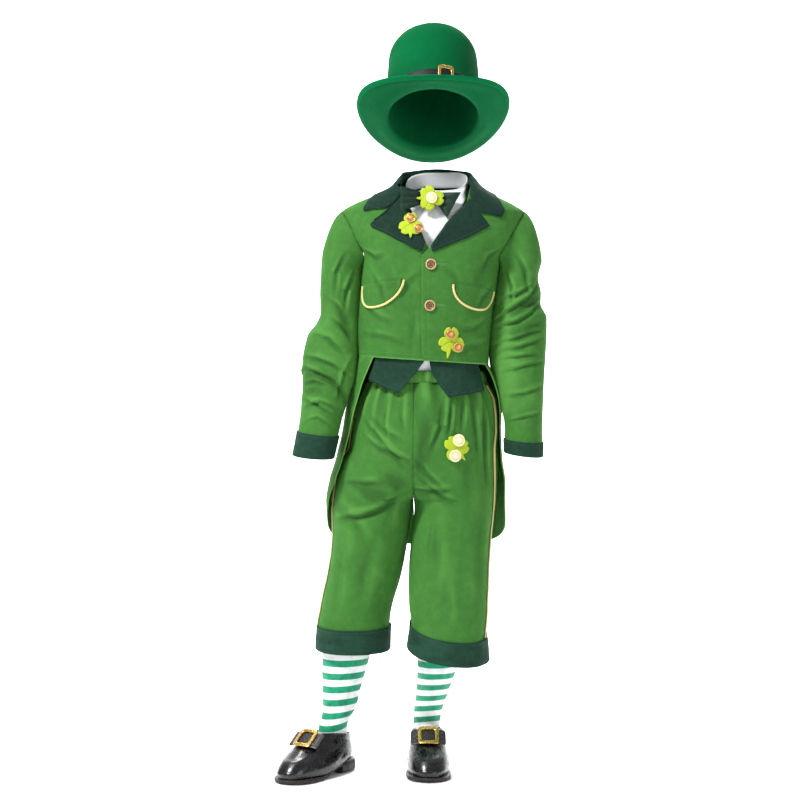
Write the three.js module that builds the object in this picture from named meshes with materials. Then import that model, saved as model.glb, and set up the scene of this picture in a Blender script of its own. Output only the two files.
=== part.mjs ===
// Leprechaun costume for a child of about 1.28 m, kept in its worn, hollow form: felt hat, tailcoat with
// mock waistcoat points, shirt front, bow tie, knee breeches, striped stockings and buckled shoes.
// Millimetres. +Z is up, the front faces -Y, +X is the wearer's left. The origin is the middle of the neck.
import * as THREE from 'three';

// Driving sizes
const COAT_CLOTH = 2.0;
const TRIM_CLOTH = 1.8;
const SHIRT_CLOTH = 1.2;
const FELT = 2.5;
const SEAM_GAP = 0.4;
const LIFT = 0.8; // clearance under a piece that lies on a curved panel
const UNDERLAP = 3; // how far the lower front lies behind the upper one
const POINT_DEPTH = 5.8; // how far the waistcoat points lie behind the coat's outside
const LEAF_DEPTH = 6.4; // how far the shirt collar's leaf lies behind the coat's outside
const SHIRT_DEPTH = 8.3; // how far the shirt front lies behind the coat's outside
const COAT_HEM = -306;
const COAT_TOP = 3;
const WAISTBAND_TOP = -325;
const WAISTBAND_BOTTOM = -345;
const GATHER_DEPTH = 2.4;
const GATHERS_PER_HALF = 10;
const CROTCH = -556;
const SPREAD_START = -462; // where the two halves of the breeches begin to part into legs
const HALF_TURN = Math.PI;
const QUARTER_TURN = Math.PI / 2;
const RIGHT = -1; // the wearer's right, on the left from the front
const LEFT = 1;

const COLOURS = {
  coat: { color: 0x3f8f35, roughness: 0.85, metalness: 0 },
  trim: { color: 0x12402c, roughness: 0.9, metalness: 0 },
  shirt: { color: 0xf2f2f0, roughness: 0.8, metalness: 0 },
  felt: { color: 0x00733a, roughness: 0.95, metalness: 0 },
  ribbon: { color: 0x0b0c10, roughness: 0.6, metalness: 0 },
  gold: { color: 0xd9a441, roughness: 0.3, metalness: 1 },
  braid: { color: 0xdfc46a, roughness: 0.5, metalness: 0.2 },
  button: { color: 0x6b3f22, roughness: 0.45, metalness: 0.1 },
  shamrock: { color: 0xb8dc1e, roughness: 0.9, metalness: 0 },
  cream: { color: 0xf0e2b8, roughness: 0.4, metalness: 0 },
  copper: { color: 0xc98f4a, roughness: 0.35, metalness: 0.5 },
  stocking: { color: 0x0f9f72, roughness: 0.85, metalness: 0 },
  leather: { color: 0x14151a, roughness: 0.3, metalness: 0 },
  sole: { color: 0x1b1512, roughness: 0.6, metalness: 0 },
  strap: { color: 0x2a1714, roughness: 0.5, metalness: 0 },
};

// Rings of the coat's outside. x, y: centre. wide, deep: half width and half depth. roll: rise at the
// wearer's left end, which slants the hem.
const COAT_RINGS = [
  { z: -316, x: -12, y: 2, wide: 118, deep: 90, roll: -7.7 },
  { z: -306, x: -12, y: 2, wide: 118, deep: 90, roll: -7.7 },
  { z: -260, x: -11.5, y: 1, wide: 120, deep: 92, roll: -4 },
  { z: -215, x: -8, y: 0, wide: 121, deep: 93, roll: 0 },
  { z: -170, x: -2, y: 0, wide: 122, deep: 93, roll: 0 },
  { z: -130, x: 2, y: 2, wide: 124, deep: 92, roll: 0 },
  { z: -87, x: 4, y: 4, wide: 152, deep: 88, roll: 0 },
  { z: -60, x: 5, y: 6, wide: 162, deep: 82, roll: 0 },
  { z: -42, x: 5, y: 8, wide: 165, deep: 78, roll: 0 },
  { z: -30, x: 5, y: 9, wide: 150, deep: 73, roll: 0 },
  { z: -20, x: 6, y: 10, wide: 130, deep: 69, roll: 0 },
  { z: -12, x: 8, y: 11, wide: 110, deep: 66, roll: 0 },
  { z: -4, x: 10, y: 12, wide: 90, deep: 63, roll: 0 },
  { z: 4, x: 12, y: 13, wide: 72, deep: 61, roll: 0 },
];
const COAT_SQUARENESS = 2.5;

// The armhole is an oval in the coat's own angle and height.
const ARMHOLE = { z: -87, tall: 49, reach: 0.47, margin: 0.4, turnMargin: 0.002 };
const SIDE_SEAM_TURN = 0.0005; // half the side seam's gap

// Inner edges of the fronts above the top button, as seen from the front.
const ROLL_LINE = {
  [RIGHT]: [
    { z: -111, x: -5 },
    { z: -93, x: -12 },
    { z: -71, x: -21 },
    { z: -48, x: -32 },
    { z: -26, x: -43 },
    { z: -6, x: -51 },
    { z: 4, x: -54 },
  ],
  [LEFT]: [
    { z: -111, x: -3 },
    { z: -90, x: 12 },
    { z: -63, x: 29 },
    { z: -46, x: 47 },
    { z: -30, x: 63 },
    { z: -8, x: 69 },
    { z: 4, x: 72 },
  ],
};
const FRONT_EDGE = { [RIGHT]: 12, [LEFT]: -16 }; // where each front ends below the top button
const BREAK = { low: -124, high: -108 }; // where the front edge turns into the roll line
const UNDERLAP_START = { x: -62, over: 34 }; // where the lower front begins to sink behind the upper one
const UNDERLAP_END = { z: -112, over: 30 };

// Rings of the two tails, which go on from the coat's hem. They part at the vent in the middle of the back.
const VENT_TURN = 0.012;
const TAIL_RINGS = [
  { z: -306, x: -12, y: 2, wide: 118, deep: 90, roll: -7.7 },
  { z: -330, x: -9, y: 5, wide: 127, deep: 97, roll: -6 },
  { z: -361, x: -9, y: 9, wide: 135, deep: 104, roll: -3 },
  { z: -400, x: -11.5, y: 12, wide: 141, deep: 109, roll: 0 },
  { z: -430, x: -14, y: 14, wide: 143, deep: 111, roll: 0 },
  { z: -480, x: -19, y: 15, wide: 150, deep: 114, roll: 0 },
  { z: -522, x: -22, y: 16, wide: 159, deep: 117, roll: 0 },
  { z: -560, x: -25, y: 17, wide: 162, deep: 119, roll: 0 },
  { z: -600, x: -24, y: 18, wide: 162, deep: 120, roll: 0 },
  { z: -652, x: -24, y: 19, wide: 160, deep: 121, roll: 0 },
];
// The angle of each tail's front edge from the middle of the front.
const TAIL_EDGE = [
  { z: -306, right: 0.8, left: 1.16 },
  { z: -330, right: 0.89, left: 1.2 },
  { z: -361, right: 0.98, left: 1.24 },
  { z: -427, right: 1.09, left: 1.34 },
  { z: -499, right: 1.15, left: 1.38 },
  { z: -560, right: 1.32, left: 1.42 },
  { z: -596, right: 1.55, left: 1.52 },
  { z: -622, right: 1.85, left: 1.8 },
  { z: -640, right: 2.25, left: 2.2 },
  { z: -650, right: 2.75, left: 2.7 },
];

// Rings of each sleeve below its head. roll: rise of the outer side. lean: rise of the front.
const SLEEVE_RINGS = {
  [RIGHT]: [
    { z: -142, x: -160, y: 4, wide: 35, deep: 47, roll: 13, lean: 0 },
    { z: -180, x: -162, y: 2, wide: 35, deep: 46, roll: 6, lean: 0 },
    { z: -225, x: -164, y: -2, wide: 33, deep: 45, roll: 2, lean: 0 },
    { z: -240, x: -168, y: -4, wide: 36, deep: 47, roll: 0, lean: 0 },
    { z: -261, x: -177, y: -8, wide: 42, deep: 50, roll: 0, lean: 0 },
    { z: -310, x: -184, y: -16, wide: 46, deep: 50, roll: 0, lean: 0 },
    { z: -345, x: -185, y: -24, wide: 44, deep: 49, roll: 0, lean: 0 },
    { z: -360, x: -187, y: -27, wide: 41, deep: 48, roll: 0, lean: 0 },
    { z: -400, x: -193, y: -33, wide: 38, deep: 44, roll: 2, lean: 0 },
    { z: -437, x: -200, y: -38, wide: 36, deep: 40, roll: 5, lean: -2 },
    { z: -482, x: -209, y: -43, wide: 35, deep: 38, roll: 3, lean: -3 },
  ],
  [LEFT]: [
    { z: -142, x: 164, y: 4, wide: 38, deep: 47, roll: 13, lean: 0 },
    { z: -166, x: 160, y: 3, wide: 35, deep: 46, roll: 6, lean: 0 },
    { z: -188, x: 162, y: 2, wide: 38, deep: 47, roll: 2, lean: 0 },
    { z: -205, x: 162, y: 1, wide: 37, deep: 46, roll: 0, lean: 0 },
    { z: -230, x: 166, y: 0, wide: 44, deep: 50, roll: 0, lean: 0 },
    { z: -266, x: 166, y: -3, wide: 43, deep: 50, roll: 0, lean: 0 },
    { z: -324, x: 166, y: -9, wide: 40, deep: 47, roll: 0, lean: 0 },
    { z: -390, x: 166, y: -17, wide: 36, deep: 43, roll: 0, lean: 0 },
    { z: -430, x: 167, y: -21, wide: 34, deep: 41, roll: -3, lean: -2 },
    { z: -482, x: 167, y: -27, wide: 33, deep: 39, roll: -4, lean: -3 },
  ],
};
const SLEEVE_IN_CUFF = 8;
const CUFFS = {
  [RIGHT]: { top: -437, bottom: -477 },
  [LEFT]: { top: -450, bottom: -474 },
};

// Each half of the breeches. out: x of the outer side. inner: x of the inseam side below the crotch.
const BREECHES_RINGS = {
  [RIGHT]: [
    { z: -325, out: -108, inner: -30, y: 5, deep: 80, dip: 0, roll: 0 },
    { z: -345, out: -113, inner: -30, y: 6, deep: 83, dip: 0, roll: 0 },
    { z: -380, out: -129, inner: -30, y: 8, deep: 93, dip: 0, roll: 0 },
    { z: -430, out: -141, inner: -30, y: 8, deep: 98, dip: 0, roll: 0 },
    { z: -465, out: -147, inner: -30, y: 8, deep: 99, dip: 0, roll: 0 },
    { z: -485, out: -160, inner: -30, y: 8, deep: 96, dip: 0, roll: 0 },
    { z: -520, out: -169, inner: -30, y: 7, deep: 90, dip: 0, roll: 0 },
    { z: -556, out: -173, inner: -30.5, y: 6, deep: 82, dip: 0, roll: 0 },
    { z: -575, out: -175, inner: -34, y: 6, deep: 78, dip: 0, roll: 0 },
    { z: -623, out: -176, inner: -42, y: 8, deep: 72, dip: 0, roll: 0 },
    { z: -698, out: -186, inner: -57, y: 10, deep: 67, dip: 0, roll: 0 },
    { z: -749, out: -196, inner: -70, y: 11, deep: 64, dip: -2, roll: 0 },
    { z: -785, out: -202, inner: -74, y: 12, deep: 63, dip: -4, roll: 0 },
    { z: -830, out: -203, inner: -75, y: 12, deep: 62, dip: -5, roll: 0 },
  ],
  [LEFT]: [
    { z: -325, out: 96, inner: -30, y: 5, deep: 80, dip: 0, roll: 0 },
    { z: -345, out: 103, inner: -30, y: 6, deep: 83, dip: 0, roll: 0 },
    { z: -380, out: 120, inner: -30, y: 8, deep: 93, dip: 0, roll: 0 },
    { z: -430, out: 123, inner: -30, y: 8, deep: 98, dip: 0, roll: 0 },
    { z: -465, out: 120, inner: -30, y: 8, deep: 99, dip: 0, roll: 0 },
    { z: -485, out: 120, inner: -30, y: 8, deep: 96, dip: 0, roll: 0 },
    { z: -520, out: 119, inner: -30, y: 7, deep: 90, dip: 0, roll: 0 },
    { z: -556, out: 117, inner: -29.5, y: 6, deep: 82, dip: 0, roll: 0 },
    { z: -575, out: 115, inner: -27, y: 3, deep: 79, dip: 0, roll: 0 },
    { z: -623, out: 110, inner: -30, y: -5, deep: 75, dip: -2, roll: 0 },
    { z: -698, out: 106, inner: -35, y: -14, deep: 71, dip: -8, roll: -2 },
    { z: -749, out: 104, inner: -36, y: -18, deep: 69, dip: -13, roll: -7 },
    { z: -785, out: 101, inner: -33, y: -20, deep: 68, dip: -16, roll: -10 },
    { z: -832, out: 104, inner: -38, y: -22, deep: 68, dip: -17, roll: -10 },
  ],
};
const BREECHES_SQUARENESS = 2.2;
const SIDE_SEAM = { [RIGHT]: HALF_TURN - 0.16, [LEFT]: HALF_TURN - 0.3 };
const HEMS = {
  [RIGHT]: { top: -785, bottom: -826 },
  [LEFT]: { top: -787, bottom: -828 },
};
const BRAID_TOP = -352;
const BRAID_GAP = 2; // between the braid's end and the hem band
const BRAID_WIDTH = 7;
const BRAID_CLOTH = 1.2;
const BRAID_LIFT = 1.1;

// Largest folds: soft troughs (negative) and ridges, each along a short path.
const SLEEVE_FOLDS = [
  { path: [[-160, -52, -218], [-142, -48, -250], [-128, -30, -290]], width: 10, depth: -7 },
  { path: [[-226, -40, -342], [-198, -76, -328], [-172, -72, -340], [-146, -40, -384]], width: 9, depth: -6 },
  { path: [[-226, -44, -366], [-206, -76, -358], [-182, -80, -366]], width: 8, depth: -4 },
  { path: [[122, -40, -226], [158, -54, -220], [200, -30, -192]], width: 8, depth: -7 },
  { path: [[122, -36, -262], [166, -58, -258], [204, -36, -236]], width: 9, depth: -5 },
  { path: [[-200, 40, -240], [-170, 50, -262], [-140, 40, -270]], width: 10, depth: -6 },
  { path: [[-220, 30, -330], [-185, 30, -338], [-150, 20, -350]], width: 10, depth: -5 },
  { path: [[130, 42, -222], [165, 52, -232], [198, 40, -218]], width: 10, depth: -6 },
];
const BREECHES_FOLDS = [
  { path: [[-128, -82, -478], [-84, -98, -506], [-36, -80, -546]], width: 11, depth: -8 },
  { path: [[-150, -72, -505], [-100, -84, -548], [-58, -76, -566]], width: 12, depth: -6 },
  { path: [[-10, -96, -380], [-6, -98, -440], [-20, -88, -520]], width: 13, depth: -5 },
  { path: [[60, -90, -370], [52, -94, -430], [40, -92, -470]], width: 12, depth: -5 },
  { path: [[-70, 96, -450], [-50, 96, -520], [-36, 74, -548]], width: 14, depth: -6 },
  { path: [[60, 98, -450], [20, 96, -520], [-20, 76, -548]], width: 14, depth: -6 },
];
const COAT_FOLDS = [
  { path: [[-118, -60, -132], [-84, -88, -150], [-60, -92, -190]], width: 15, depth: -3.5 },
  { path: [[118, -60, -128], [96, -84, -160], [88, -88, -230]], width: 15, depth: -4 },
  { path: [[-80, 92, -150], [-30, 94, -190], [0, 93, -240]], width: 18, depth: -3 },
  { path: [[84, 92, -150], [40, 94, -200], [16, 93, -250]], width: 18, depth: -3 },
];
const TAIL_FOLDS = [
  { path: [[-90, 118, -360], [-100, 132, -500], [-104, 136, -640]], width: 16, depth: -7 },
  { path: [[-40, 122, -350], [-44, 134, -480], [-48, 138, -640]], width: 14, depth: -5 },
  { path: [[46, 122, -360], [54, 134, -500], [56, 138, -640]], width: 15, depth: -7 },
  { path: [[96, 104, -380], [102, 116, -500], [106, 120, -640]], width: 14, depth: -5 },
];

const point = (x, y, z) => new THREE.Vector3(x, y, z);
const mix = (a, b, t) => a + (b - a) * t;
const clamp = (v, low, high) => Math.min(high, Math.max(low, v));
const SAME_POINT = 1e-4; // points nearer than this are one
const TURN_STEP = 0.01; // steps over which a surface's slope is taken
const HEIGHT_STEP = 0.5;
const ALMOST_ONE = 0.999;
const FOLD_END = 0.08; // how far a fold's fading ends are cut off
const smooth = (t) => {
  const u = clamp(t, 0, 1);
  return u * u * (3 - 2 * u);
};
const between = (low, high, v) => smooth((v - low) / (high - low));
const steps = (from, to, count) => Array.from({ length: count + 1 }, (_, i) => mix(from, to, i / count));
const power = (v, exponent) => Math.sign(v) * Math.abs(v) ** exponent;

// Weights of a curve's start, leaving slope, end and arriving slope.
const hermite = (t) => [
  2 * t ** 3 - 3 * t ** 2 + 1,
  t ** 3 - 2 * t ** 2 + t,
  3 * t ** 2 - 2 * t ** 3,
  t ** 3 - t ** 2,
];

// A curve through (xs, ys) that never overshoots its points.
function monotoneCurve(xs, ys) {
  const last = xs.length - 1;
  const slopes = xs.slice(1).map((x, i) => (ys[i + 1] - ys[i]) / (x - xs[i]));
  const tangents = xs.map((_, i) => {
    if (i === 0) return slopes[0];
    if (i === last) return slopes[last - 1];
    const [before, after] = [slopes[i - 1], slopes[i]];
    return before * after <= 0 ? 0 : (2 * before * after) / (before + after);
  });
  return (x) => {
    let i = 0;
    while (i < last - 1 && x > xs[i + 1]) i += 1;
    const span = xs[i + 1] - xs[i];
    const t = clamp((x - xs[i]) / span, 0, 1);
    const [start, leave, end, arrive] = hermite(t);
    return start * ys[i] + leave * span * tangents[i] + end * ys[i + 1] + arrive * span * tangents[i + 1];
  };
}

// Reads a table of rows at any value of its key column, and gives every other column there.
function smoothTable(rows, key = 'z') {
  const sorted = [...rows].sort((a, b) => a[key] - b[key]);
  const at = sorted.map((row) => row[key]);
  const columns = Object.keys(rows[0]).filter((name) => name !== key);
  const curves = columns.map((name) => monotoneCurve(at, sorted.map((row) => row[name])));
  return (value) => Object.fromEntries(columns.map((name, i) => [name, curves[i](value)]));
}

// How far a point of cloth moves in or out for the folds near it.
function foldShift(p, folds) {
  let shift = 0;
  for (const fold of folds) {
    const lengths = fold.path.slice(1).map((end, i) => point(...end).distanceTo(point(...fold.path[i])));
    const total = lengths.reduce((sum, length) => sum + length, 0);
    let nearest = Infinity;
    let travelled = 0;
    let share = 0;
    lengths.forEach((length, i) => {
      const line = new THREE.Line3(point(...fold.path[i]), point(...fold.path[i + 1]));
      const t = line.closestPointToPointParameter(p, true);
      const distance = line.at(t, point(0, 0, 0)).distanceTo(p);
      if (distance < nearest) {
        nearest = distance;
        share = (travelled + t * length) / total;
      }
      travelled += length;
    });
    const taper = Math.sin(Math.PI * mix(FOLD_END, 1 - FOLD_END, share));
    shift += fold.depth * taper * Math.exp(-((nearest / fold.width) ** 2));
  }
  return shift;
}

// A surface point moved along its normal. base(a, b) gives the smooth surface, and inside a point within.
function liftedPoint(base, a, b, inside, lift, folds = []) {
  const p = base(a, b);
  const acrossStep = base(a + TURN_STEP, b).sub(base(a - TURN_STEP, b));
  const alongStep = base(a, b + HEIGHT_STEP).sub(base(a, b - HEIGHT_STEP));
  const normal = acrossStep.cross(alongStep).normalize();
  if (normal.dot(p.clone().sub(inside)) < 0) normal.negate();
  return p.addScaledVector(normal, lift + foldShift(p, folds));
}

// A closed solid from two grids of points, at depth 0 and at the cloth's thickness.
function layeredWall({ across, along, at, inside, thickness, closed = false }) {
  const outer = along.map((v) => across.map((u) => at(u, v, 0)));
  const inner = along.map((v) => across.map((u) => at(u, v, thickness)));
  let facing = 0;
  outer.slice(1).forEach((row, j) =>
    row.slice(1).forEach((p, i) => {
      const face = p.clone().sub(row[i]).cross(p.clone().sub(outer[j][i + 1]));
      facing += face.dot(p.clone().sub(inside(p)));
    }),
  );
  return solidFromFaces(outer, inner, closed, facing > 0);
}

// A closed solid from a grid of outer points and a wall thickness. closed: the columns go all the way round.
// capped: the last row shrinks to a point.
function wall({ across, along, at, inside, thickness, closed = false, capped = false }) {
  const cols = across.length;
  const rows = along.length;
  const outer = along.map((v) => across.map((u) => at(u, v)));
  const pick = (j, i) => outer[j][closed ? (i + cols) % cols : clamp(i, 0, cols - 1)];
  const normals = outer.map((row, j) =>
    row.map((p, i) => {
      const alongStep = pick(Math.min(j + 1, rows - 1), i).clone().sub(pick(Math.max(j - 1, 0), i));
      const acrossStep = pick(j, i + 1).clone().sub(pick(j, i - 1));
      return acrossStep.cross(alongStep).normalize();
    }),
  );
  let facing = 0;
  outer.forEach((row, j) =>
    row.forEach((p, i) => {
      facing += normals[j][i].dot(p.clone().sub(inside(p)));
    }),
  );
  const sign = facing < 0 ? -1 : 1;
  const inner = outer.map((row, j) =>
    row.map((p, i) => p.clone().addScaledVector(normals[j][i], -sign * thickness)),
  );
  if (capped) {
    const tip = outer[rows - 1].reduce((sum, p) => sum.add(p), point(0, 0, 0)).divideScalar(cols);
    const before = inner[rows - 2].reduce((sum, p) => sum.add(p), point(0, 0, 0)).divideScalar(cols);
    const innerTip = tip.clone().add(before.sub(tip).setLength(thickness));
    outer[rows - 1] = outer[rows - 1].map(() => tip.clone());
    inner[rows - 1] = inner[rows - 1].map(() => innerTip.clone());
  }
  return solidFromFaces(outer, inner, closed, sign > 0, capped);
}

// Joins two grids of points into one closed solid.
function solidFromFaces(outer, inner, closed, forward, capped = false) {
  const triangles = [];
  const cols = outer[0].length;
  const rows = outer.length;
  const spans = closed ? cols : cols - 1;
  const quad = (a, b, c, d) => triangles.push(a, b, c, a, c, d);
  for (let j = 0; j < rows - 1; j += 1) {
    for (let i = 0; i < spans; i += 1) {
      const k = (i + 1) % cols;
      quad(outer[j][i], outer[j][k], outer[j + 1][k], outer[j + 1][i]);
      quad(inner[j][i], inner[j + 1][i], inner[j + 1][k], inner[j][k]);
    }
  }
  for (let i = 0; i < spans; i += 1) {
    const k = (i + 1) % cols;
    quad(outer[0][i], inner[0][i], inner[0][k], outer[0][k]);
    if (!capped) quad(outer[rows - 1][i], outer[rows - 1][k], inner[rows - 1][k], inner[rows - 1][i]);
  }
  if (!closed) {
    for (let j = 0; j < rows - 1; j += 1) {
      quad(outer[j][0], outer[j + 1][0], inner[j + 1][0], inner[j][0]);
      quad(outer[j][cols - 1], inner[j][cols - 1], inner[j + 1][cols - 1], outer[j + 1][cols - 1]);
    }
  }
  return geometryOf(triangles, forward);
}

function geometryOf(corners, forward) {
  const positions = [];
  for (let i = 0; i < corners.length; i += 3) {
    const a = corners[i];
    const b = corners[forward ? i + 1 : i + 2];
    const c = corners[forward ? i + 2 : i + 1];
    if (Math.min(a.distanceTo(b), b.distanceTo(c), a.distanceTo(c)) < SAME_POINT) continue;
    positions.push(...a.toArray(), ...b.toArray(), ...c.toArray());
  }
  const geometry = new THREE.BufferGeometry();
  geometry.setAttribute('position', new THREE.Float32BufferAttribute(positions, 3));
  geometry.computeVertexNormals();
  return geometry;
}

// A badge with the outline radiusAt(angle) that follows a surface. surface(x, z, lift) gives its points.
function badge({ surface, x, z, radiusAt, spokes, lift, thickness, dome = 0 }) {
  const rim = steps(0, 2 * HALF_TURN, spokes).slice(0, spokes);
  const spot = (turn, share, height) => {
    const reach = radiusAt(turn) * share;
    return surface(x + reach * Math.cos(turn), z + reach * Math.sin(turn), height);
  };
  const corners = [];
  const centreTop = surface(x, z, lift + thickness + dome);
  const centreBottom = surface(x, z, lift);
  rim.forEach((turn, i) => {
    const next = rim[(i + 1) % spokes];
    const middle = [turn, next].map((angle) => spot(angle, 0.5, lift + thickness + 0.7 * dome));
    const top = [turn, next].map((angle) => spot(angle, 1, lift + thickness));
    const middleBottom = [turn, next].map((angle) => spot(angle, 0.5, lift));
    const bottom = [turn, next].map((angle) => spot(angle, 1, lift));
    corners.push(centreTop, middle[0], middle[1]);
    corners.push(middle[0], top[0], top[1], middle[0], top[1], middle[1]);
    corners.push(top[0], bottom[0], bottom[1], top[0], bottom[1], top[1]);
    corners.push(centreBottom, middleBottom[1], middleBottom[0]);
    corners.push(middleBottom[0], bottom[1], bottom[0], middleBottom[0], middleBottom[1], bottom[1]);
  });
  return geometryOf(corners, true);
}

const costume = new THREE.Group();

function addMesh(parent, name, geometry, colour) {
  const mesh = new THREE.Mesh(geometry, new THREE.MeshStandardMaterial(COLOURS[colour]));
  mesh.name = name;
  parent.add(mesh);
  return mesh;
}

// The coat's surface
const coatRing = smoothTable(COAT_RINGS);
const tailRing = smoothTable(TAIL_RINGS);

// turn: the angle from the middle of the front, positive towards the wearer's left.
function ringPoint(ring, turn, z) {
  const across = power(Math.sin(turn), 2 / COAT_SQUARENESS);
  const forward = power(Math.cos(turn), 2 / COAT_SQUARENESS);
  return point(ring.x + ring.wide * across, ring.y - ring.deep * forward, z + ring.roll * across);
}

const coatBase = (turn, z) => ringPoint(coatRing(z), turn, z);
const bodyAxis = (p) => point(0, 8, p.z - 20);
const coatPoint = (turn, z, lift = 0) =>
  liftedPoint(coatBase, turn, z, bodyAxis(point(0, 0, z)), lift, COAT_FOLDS);

function coatTurn(x, z) {
  const ring = coatRing(z);
  const across = clamp((x - ring.x) / ring.wide, -ALMOST_ONE, ALMOST_ONE);
  return Math.asin(power(across, COAT_SQUARENESS / 2));
}

// A point of the coat's front given as it is seen from the front.
const coatFront = (x, z, lift = 0) => coatPoint(coatTurn(x, z), z, lift);

const armholeTurn = (angle) => QUARTER_TURN - ARMHOLE.reach * Math.sin(angle);
const armholeHeight = (angle) => ARMHOLE.z + ARMHOLE.tall * Math.cos(angle);

// Where a body panel ends at the side: the side seam, or the armhole's edge. half: 1 front, -1 back.
function sideTurn(z, half) {
  const rise = (z - ARMHOLE.z) / (ARMHOLE.tall + ARMHOLE.margin);
  const seam = QUARTER_TURN - half * SIDE_SEAM_TURN;
  if (Math.abs(rise) >= 1) return seam;
  return seam - half * (ARMHOLE.reach + ARMHOLE.turnMargin) * Math.sqrt(1 - rise * rise);
}

const ROUND_ARMHOLE = 14;
const armholeLevels = steps(HALF_TURN, 0, ROUND_ARMHOLE / 2).map(
  (angle) => ARMHOLE.z + (ARMHOLE.tall + ARMHOLE.margin) * Math.cos(angle),
);
const bodyLevels = [COAT_HEM, -270, -225, -190, -160, ...armholeLevels, -26, -13, COAT_TOP];

function frontEdgeX(side, z) {
  const edge = smoothTable(ROLL_LINE[side])(z).x;
  return mix(FRONT_EDGE[side], edge, between(BREAK.low, BREAK.high, z));
}

// The wearer's right front runs on behind the left one.
function underlap(side, x, z) {
  if (side === LEFT) return 0;
  const across = smooth((x - UNDERLAP_START.x) / UNDERLAP_START.over);
  return UNDERLAP * across * (1 - smooth((z - UNDERLAP_END.z) / UNDERLAP_END.over));
}

function coatFrontPanel(side) {
  return layeredWall({
    across: steps(0, 1, 8),
    along: bodyLevels,
    thickness: COAT_CLOTH,
    inside: bodyAxis,
    at: (share, z, depth) => {
      const start = coatTurn(frontEdgeX(side, z), z);
      const turn = mix(start, side * sideTurn(z, 1), share);
      const x = coatBase(turn, z).x;
      return coatPoint(turn, z, -underlap(side, x, z) - depth);
    },
  });
}

function coatBackPanel() {
  return layeredWall({
    across: steps(-1, 1, 12),
    along: bodyLevels,
    thickness: COAT_CLOTH,
    inside: bodyAxis,
    at: (share, z, depth) => {
      const reach = HALF_TURN - sideTurn(z, -1);
      return coatPoint(HALF_TURN + share * reach, z, -depth);
    },
  });
}

function coatTail(side) {
  const edge = smoothTable(TAIL_EDGE);
  const base = (turn, z) => ringPoint(tailRing(z), turn, z);
  return layeredWall({
    across: steps(0, 1, 7),
    along: [COAT_HEM - SEAM_GAP, -330, -361, -400, -450, -500, -550, -590, -620, -640, -650],
    thickness: COAT_CLOTH,
    inside: bodyAxis,
    at: (share, z, depth) => {
      const start = edge(z)[side === RIGHT ? 'right' : 'left'];
      const turn = side * mix(start, HALF_TURN - VENT_TURN, share);
      return liftedPoint(base, turn, z, bodyAxis(point(0, 0, z)), -depth, TAIL_FOLDS);
    },
  });
}

addMesh(costume, 'coat_front_right', coatFrontPanel(RIGHT), 'coat');
addMesh(costume, 'coat_front_left', coatFrontPanel(LEFT), 'coat');
addMesh(costume, 'coat_back', coatBackPanel(), 'coat');
addMesh(costume, 'coat_tail_right', coatTail(RIGHT), 'coat');
addMesh(costume, 'coat_tail_left', coatTail(LEFT), 'coat');

// Sleeves. around: 0 at the outer side, a quarter turn at the front. along: 0 to 1 is the head, from the
// armhole to the first ring, and past 1 it counts down in hundreds of millimetres.
const HEAD_OUTWARD = { x: 0.6, z: -0.35 };
const HEAD_ARRIVAL = 0.05;
const HEAD_LEVELS = [0, 0.33, 0.67, 1];
const LOWEST_AXIS = { read: -120, stay: -100 }; // above this the sleeve's axis stays in place

function sleeveTube(side, around, z) {
  const ring = smoothTable(SLEEVE_RINGS[side])(z);
  return point(
    ring.x + side * ring.wide * Math.cos(around),
    ring.y - ring.deep * Math.sin(around),
    z + ring.roll * Math.cos(around) + ring.lean * Math.sin(around),
  );
}

function sleeveBase(side, around, along) {
  const top = SLEEVE_RINGS[side][0].z;
  if (along >= 1) return sleeveTube(side, around, top - (along - 1) * 100);
  const start = coatPoint(side * armholeTurn(around), armholeHeight(around), SEAM_GAP);
  const end = sleeveTube(side, around, top);
  const reach = end.distanceTo(start);
  const leave = point(side * HEAD_OUTWARD.x, 0, HEAD_OUTWARD.z).multiplyScalar(reach);
  const arrive = point(side * HEAD_ARRIVAL, 0, -1).multiplyScalar(reach);
  const weights = hermite(along);
  return start
    .multiplyScalar(weights[0])
    .addScaledVector(leave, weights[1])
    .addScaledVector(end, weights[2])
    .addScaledVector(arrive, weights[3]);
}

function sleeveAxis(side) {
  const ring = smoothTable(SLEEVE_RINGS[side]);
  return (p) => {
    const { x, y } = ring(Math.min(p.z, LOWEST_AXIS.read));
    return point(x, y, Math.min(p.z, LOWEST_AXIS.stay));
  };
}

function sleevePoint(side, around, along, lift = 0) {
  const p = sleeveBase(side, around, along);
  const outward = p.clone().sub(sleeveAxis(side)(p)).normalize();
  return p.addScaledVector(outward, lift + foldShift(p, SLEEVE_FOLDS));
}

const alongSleeve = (side, z) => 1 + (SLEEVE_RINGS[side][0].z - z) / 100;
const roundSleeve = steps(0, 2 * HALF_TURN, ROUND_ARMHOLE).slice(0, ROUND_ARMHOLE);
const SLEEVE_LEVELS = [-168, -198, -218, -232, -248, -272, -308, -334, -356, -400];

function sleeve(side) {
  const levels = [...SLEEVE_LEVELS, CUFFS[side].top - SLEEVE_IN_CUFF];
  return wall({
    across: roundSleeve,
    along: [...HEAD_LEVELS, ...levels.map((z) => alongSleeve(side, z))],
    closed: true,
    thickness: COAT_CLOTH,
    inside: sleeveAxis(side),
    at: (around, along) => sleevePoint(side, around, along),
  });
}

function cuff(side) {
  const { top, bottom } = CUFFS[side];
  return wall({
    across: roundSleeve,
    along: [top, mix(top, bottom, 0.5), bottom].map((z) => alongSleeve(side, z)),
    closed: true,
    thickness: TRIM_CLOTH,
    inside: sleeveAxis(side),
    at: (around, along) => sleevePoint(side, around, along, TRIM_CLOTH + LIFT),
  });
}

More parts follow.
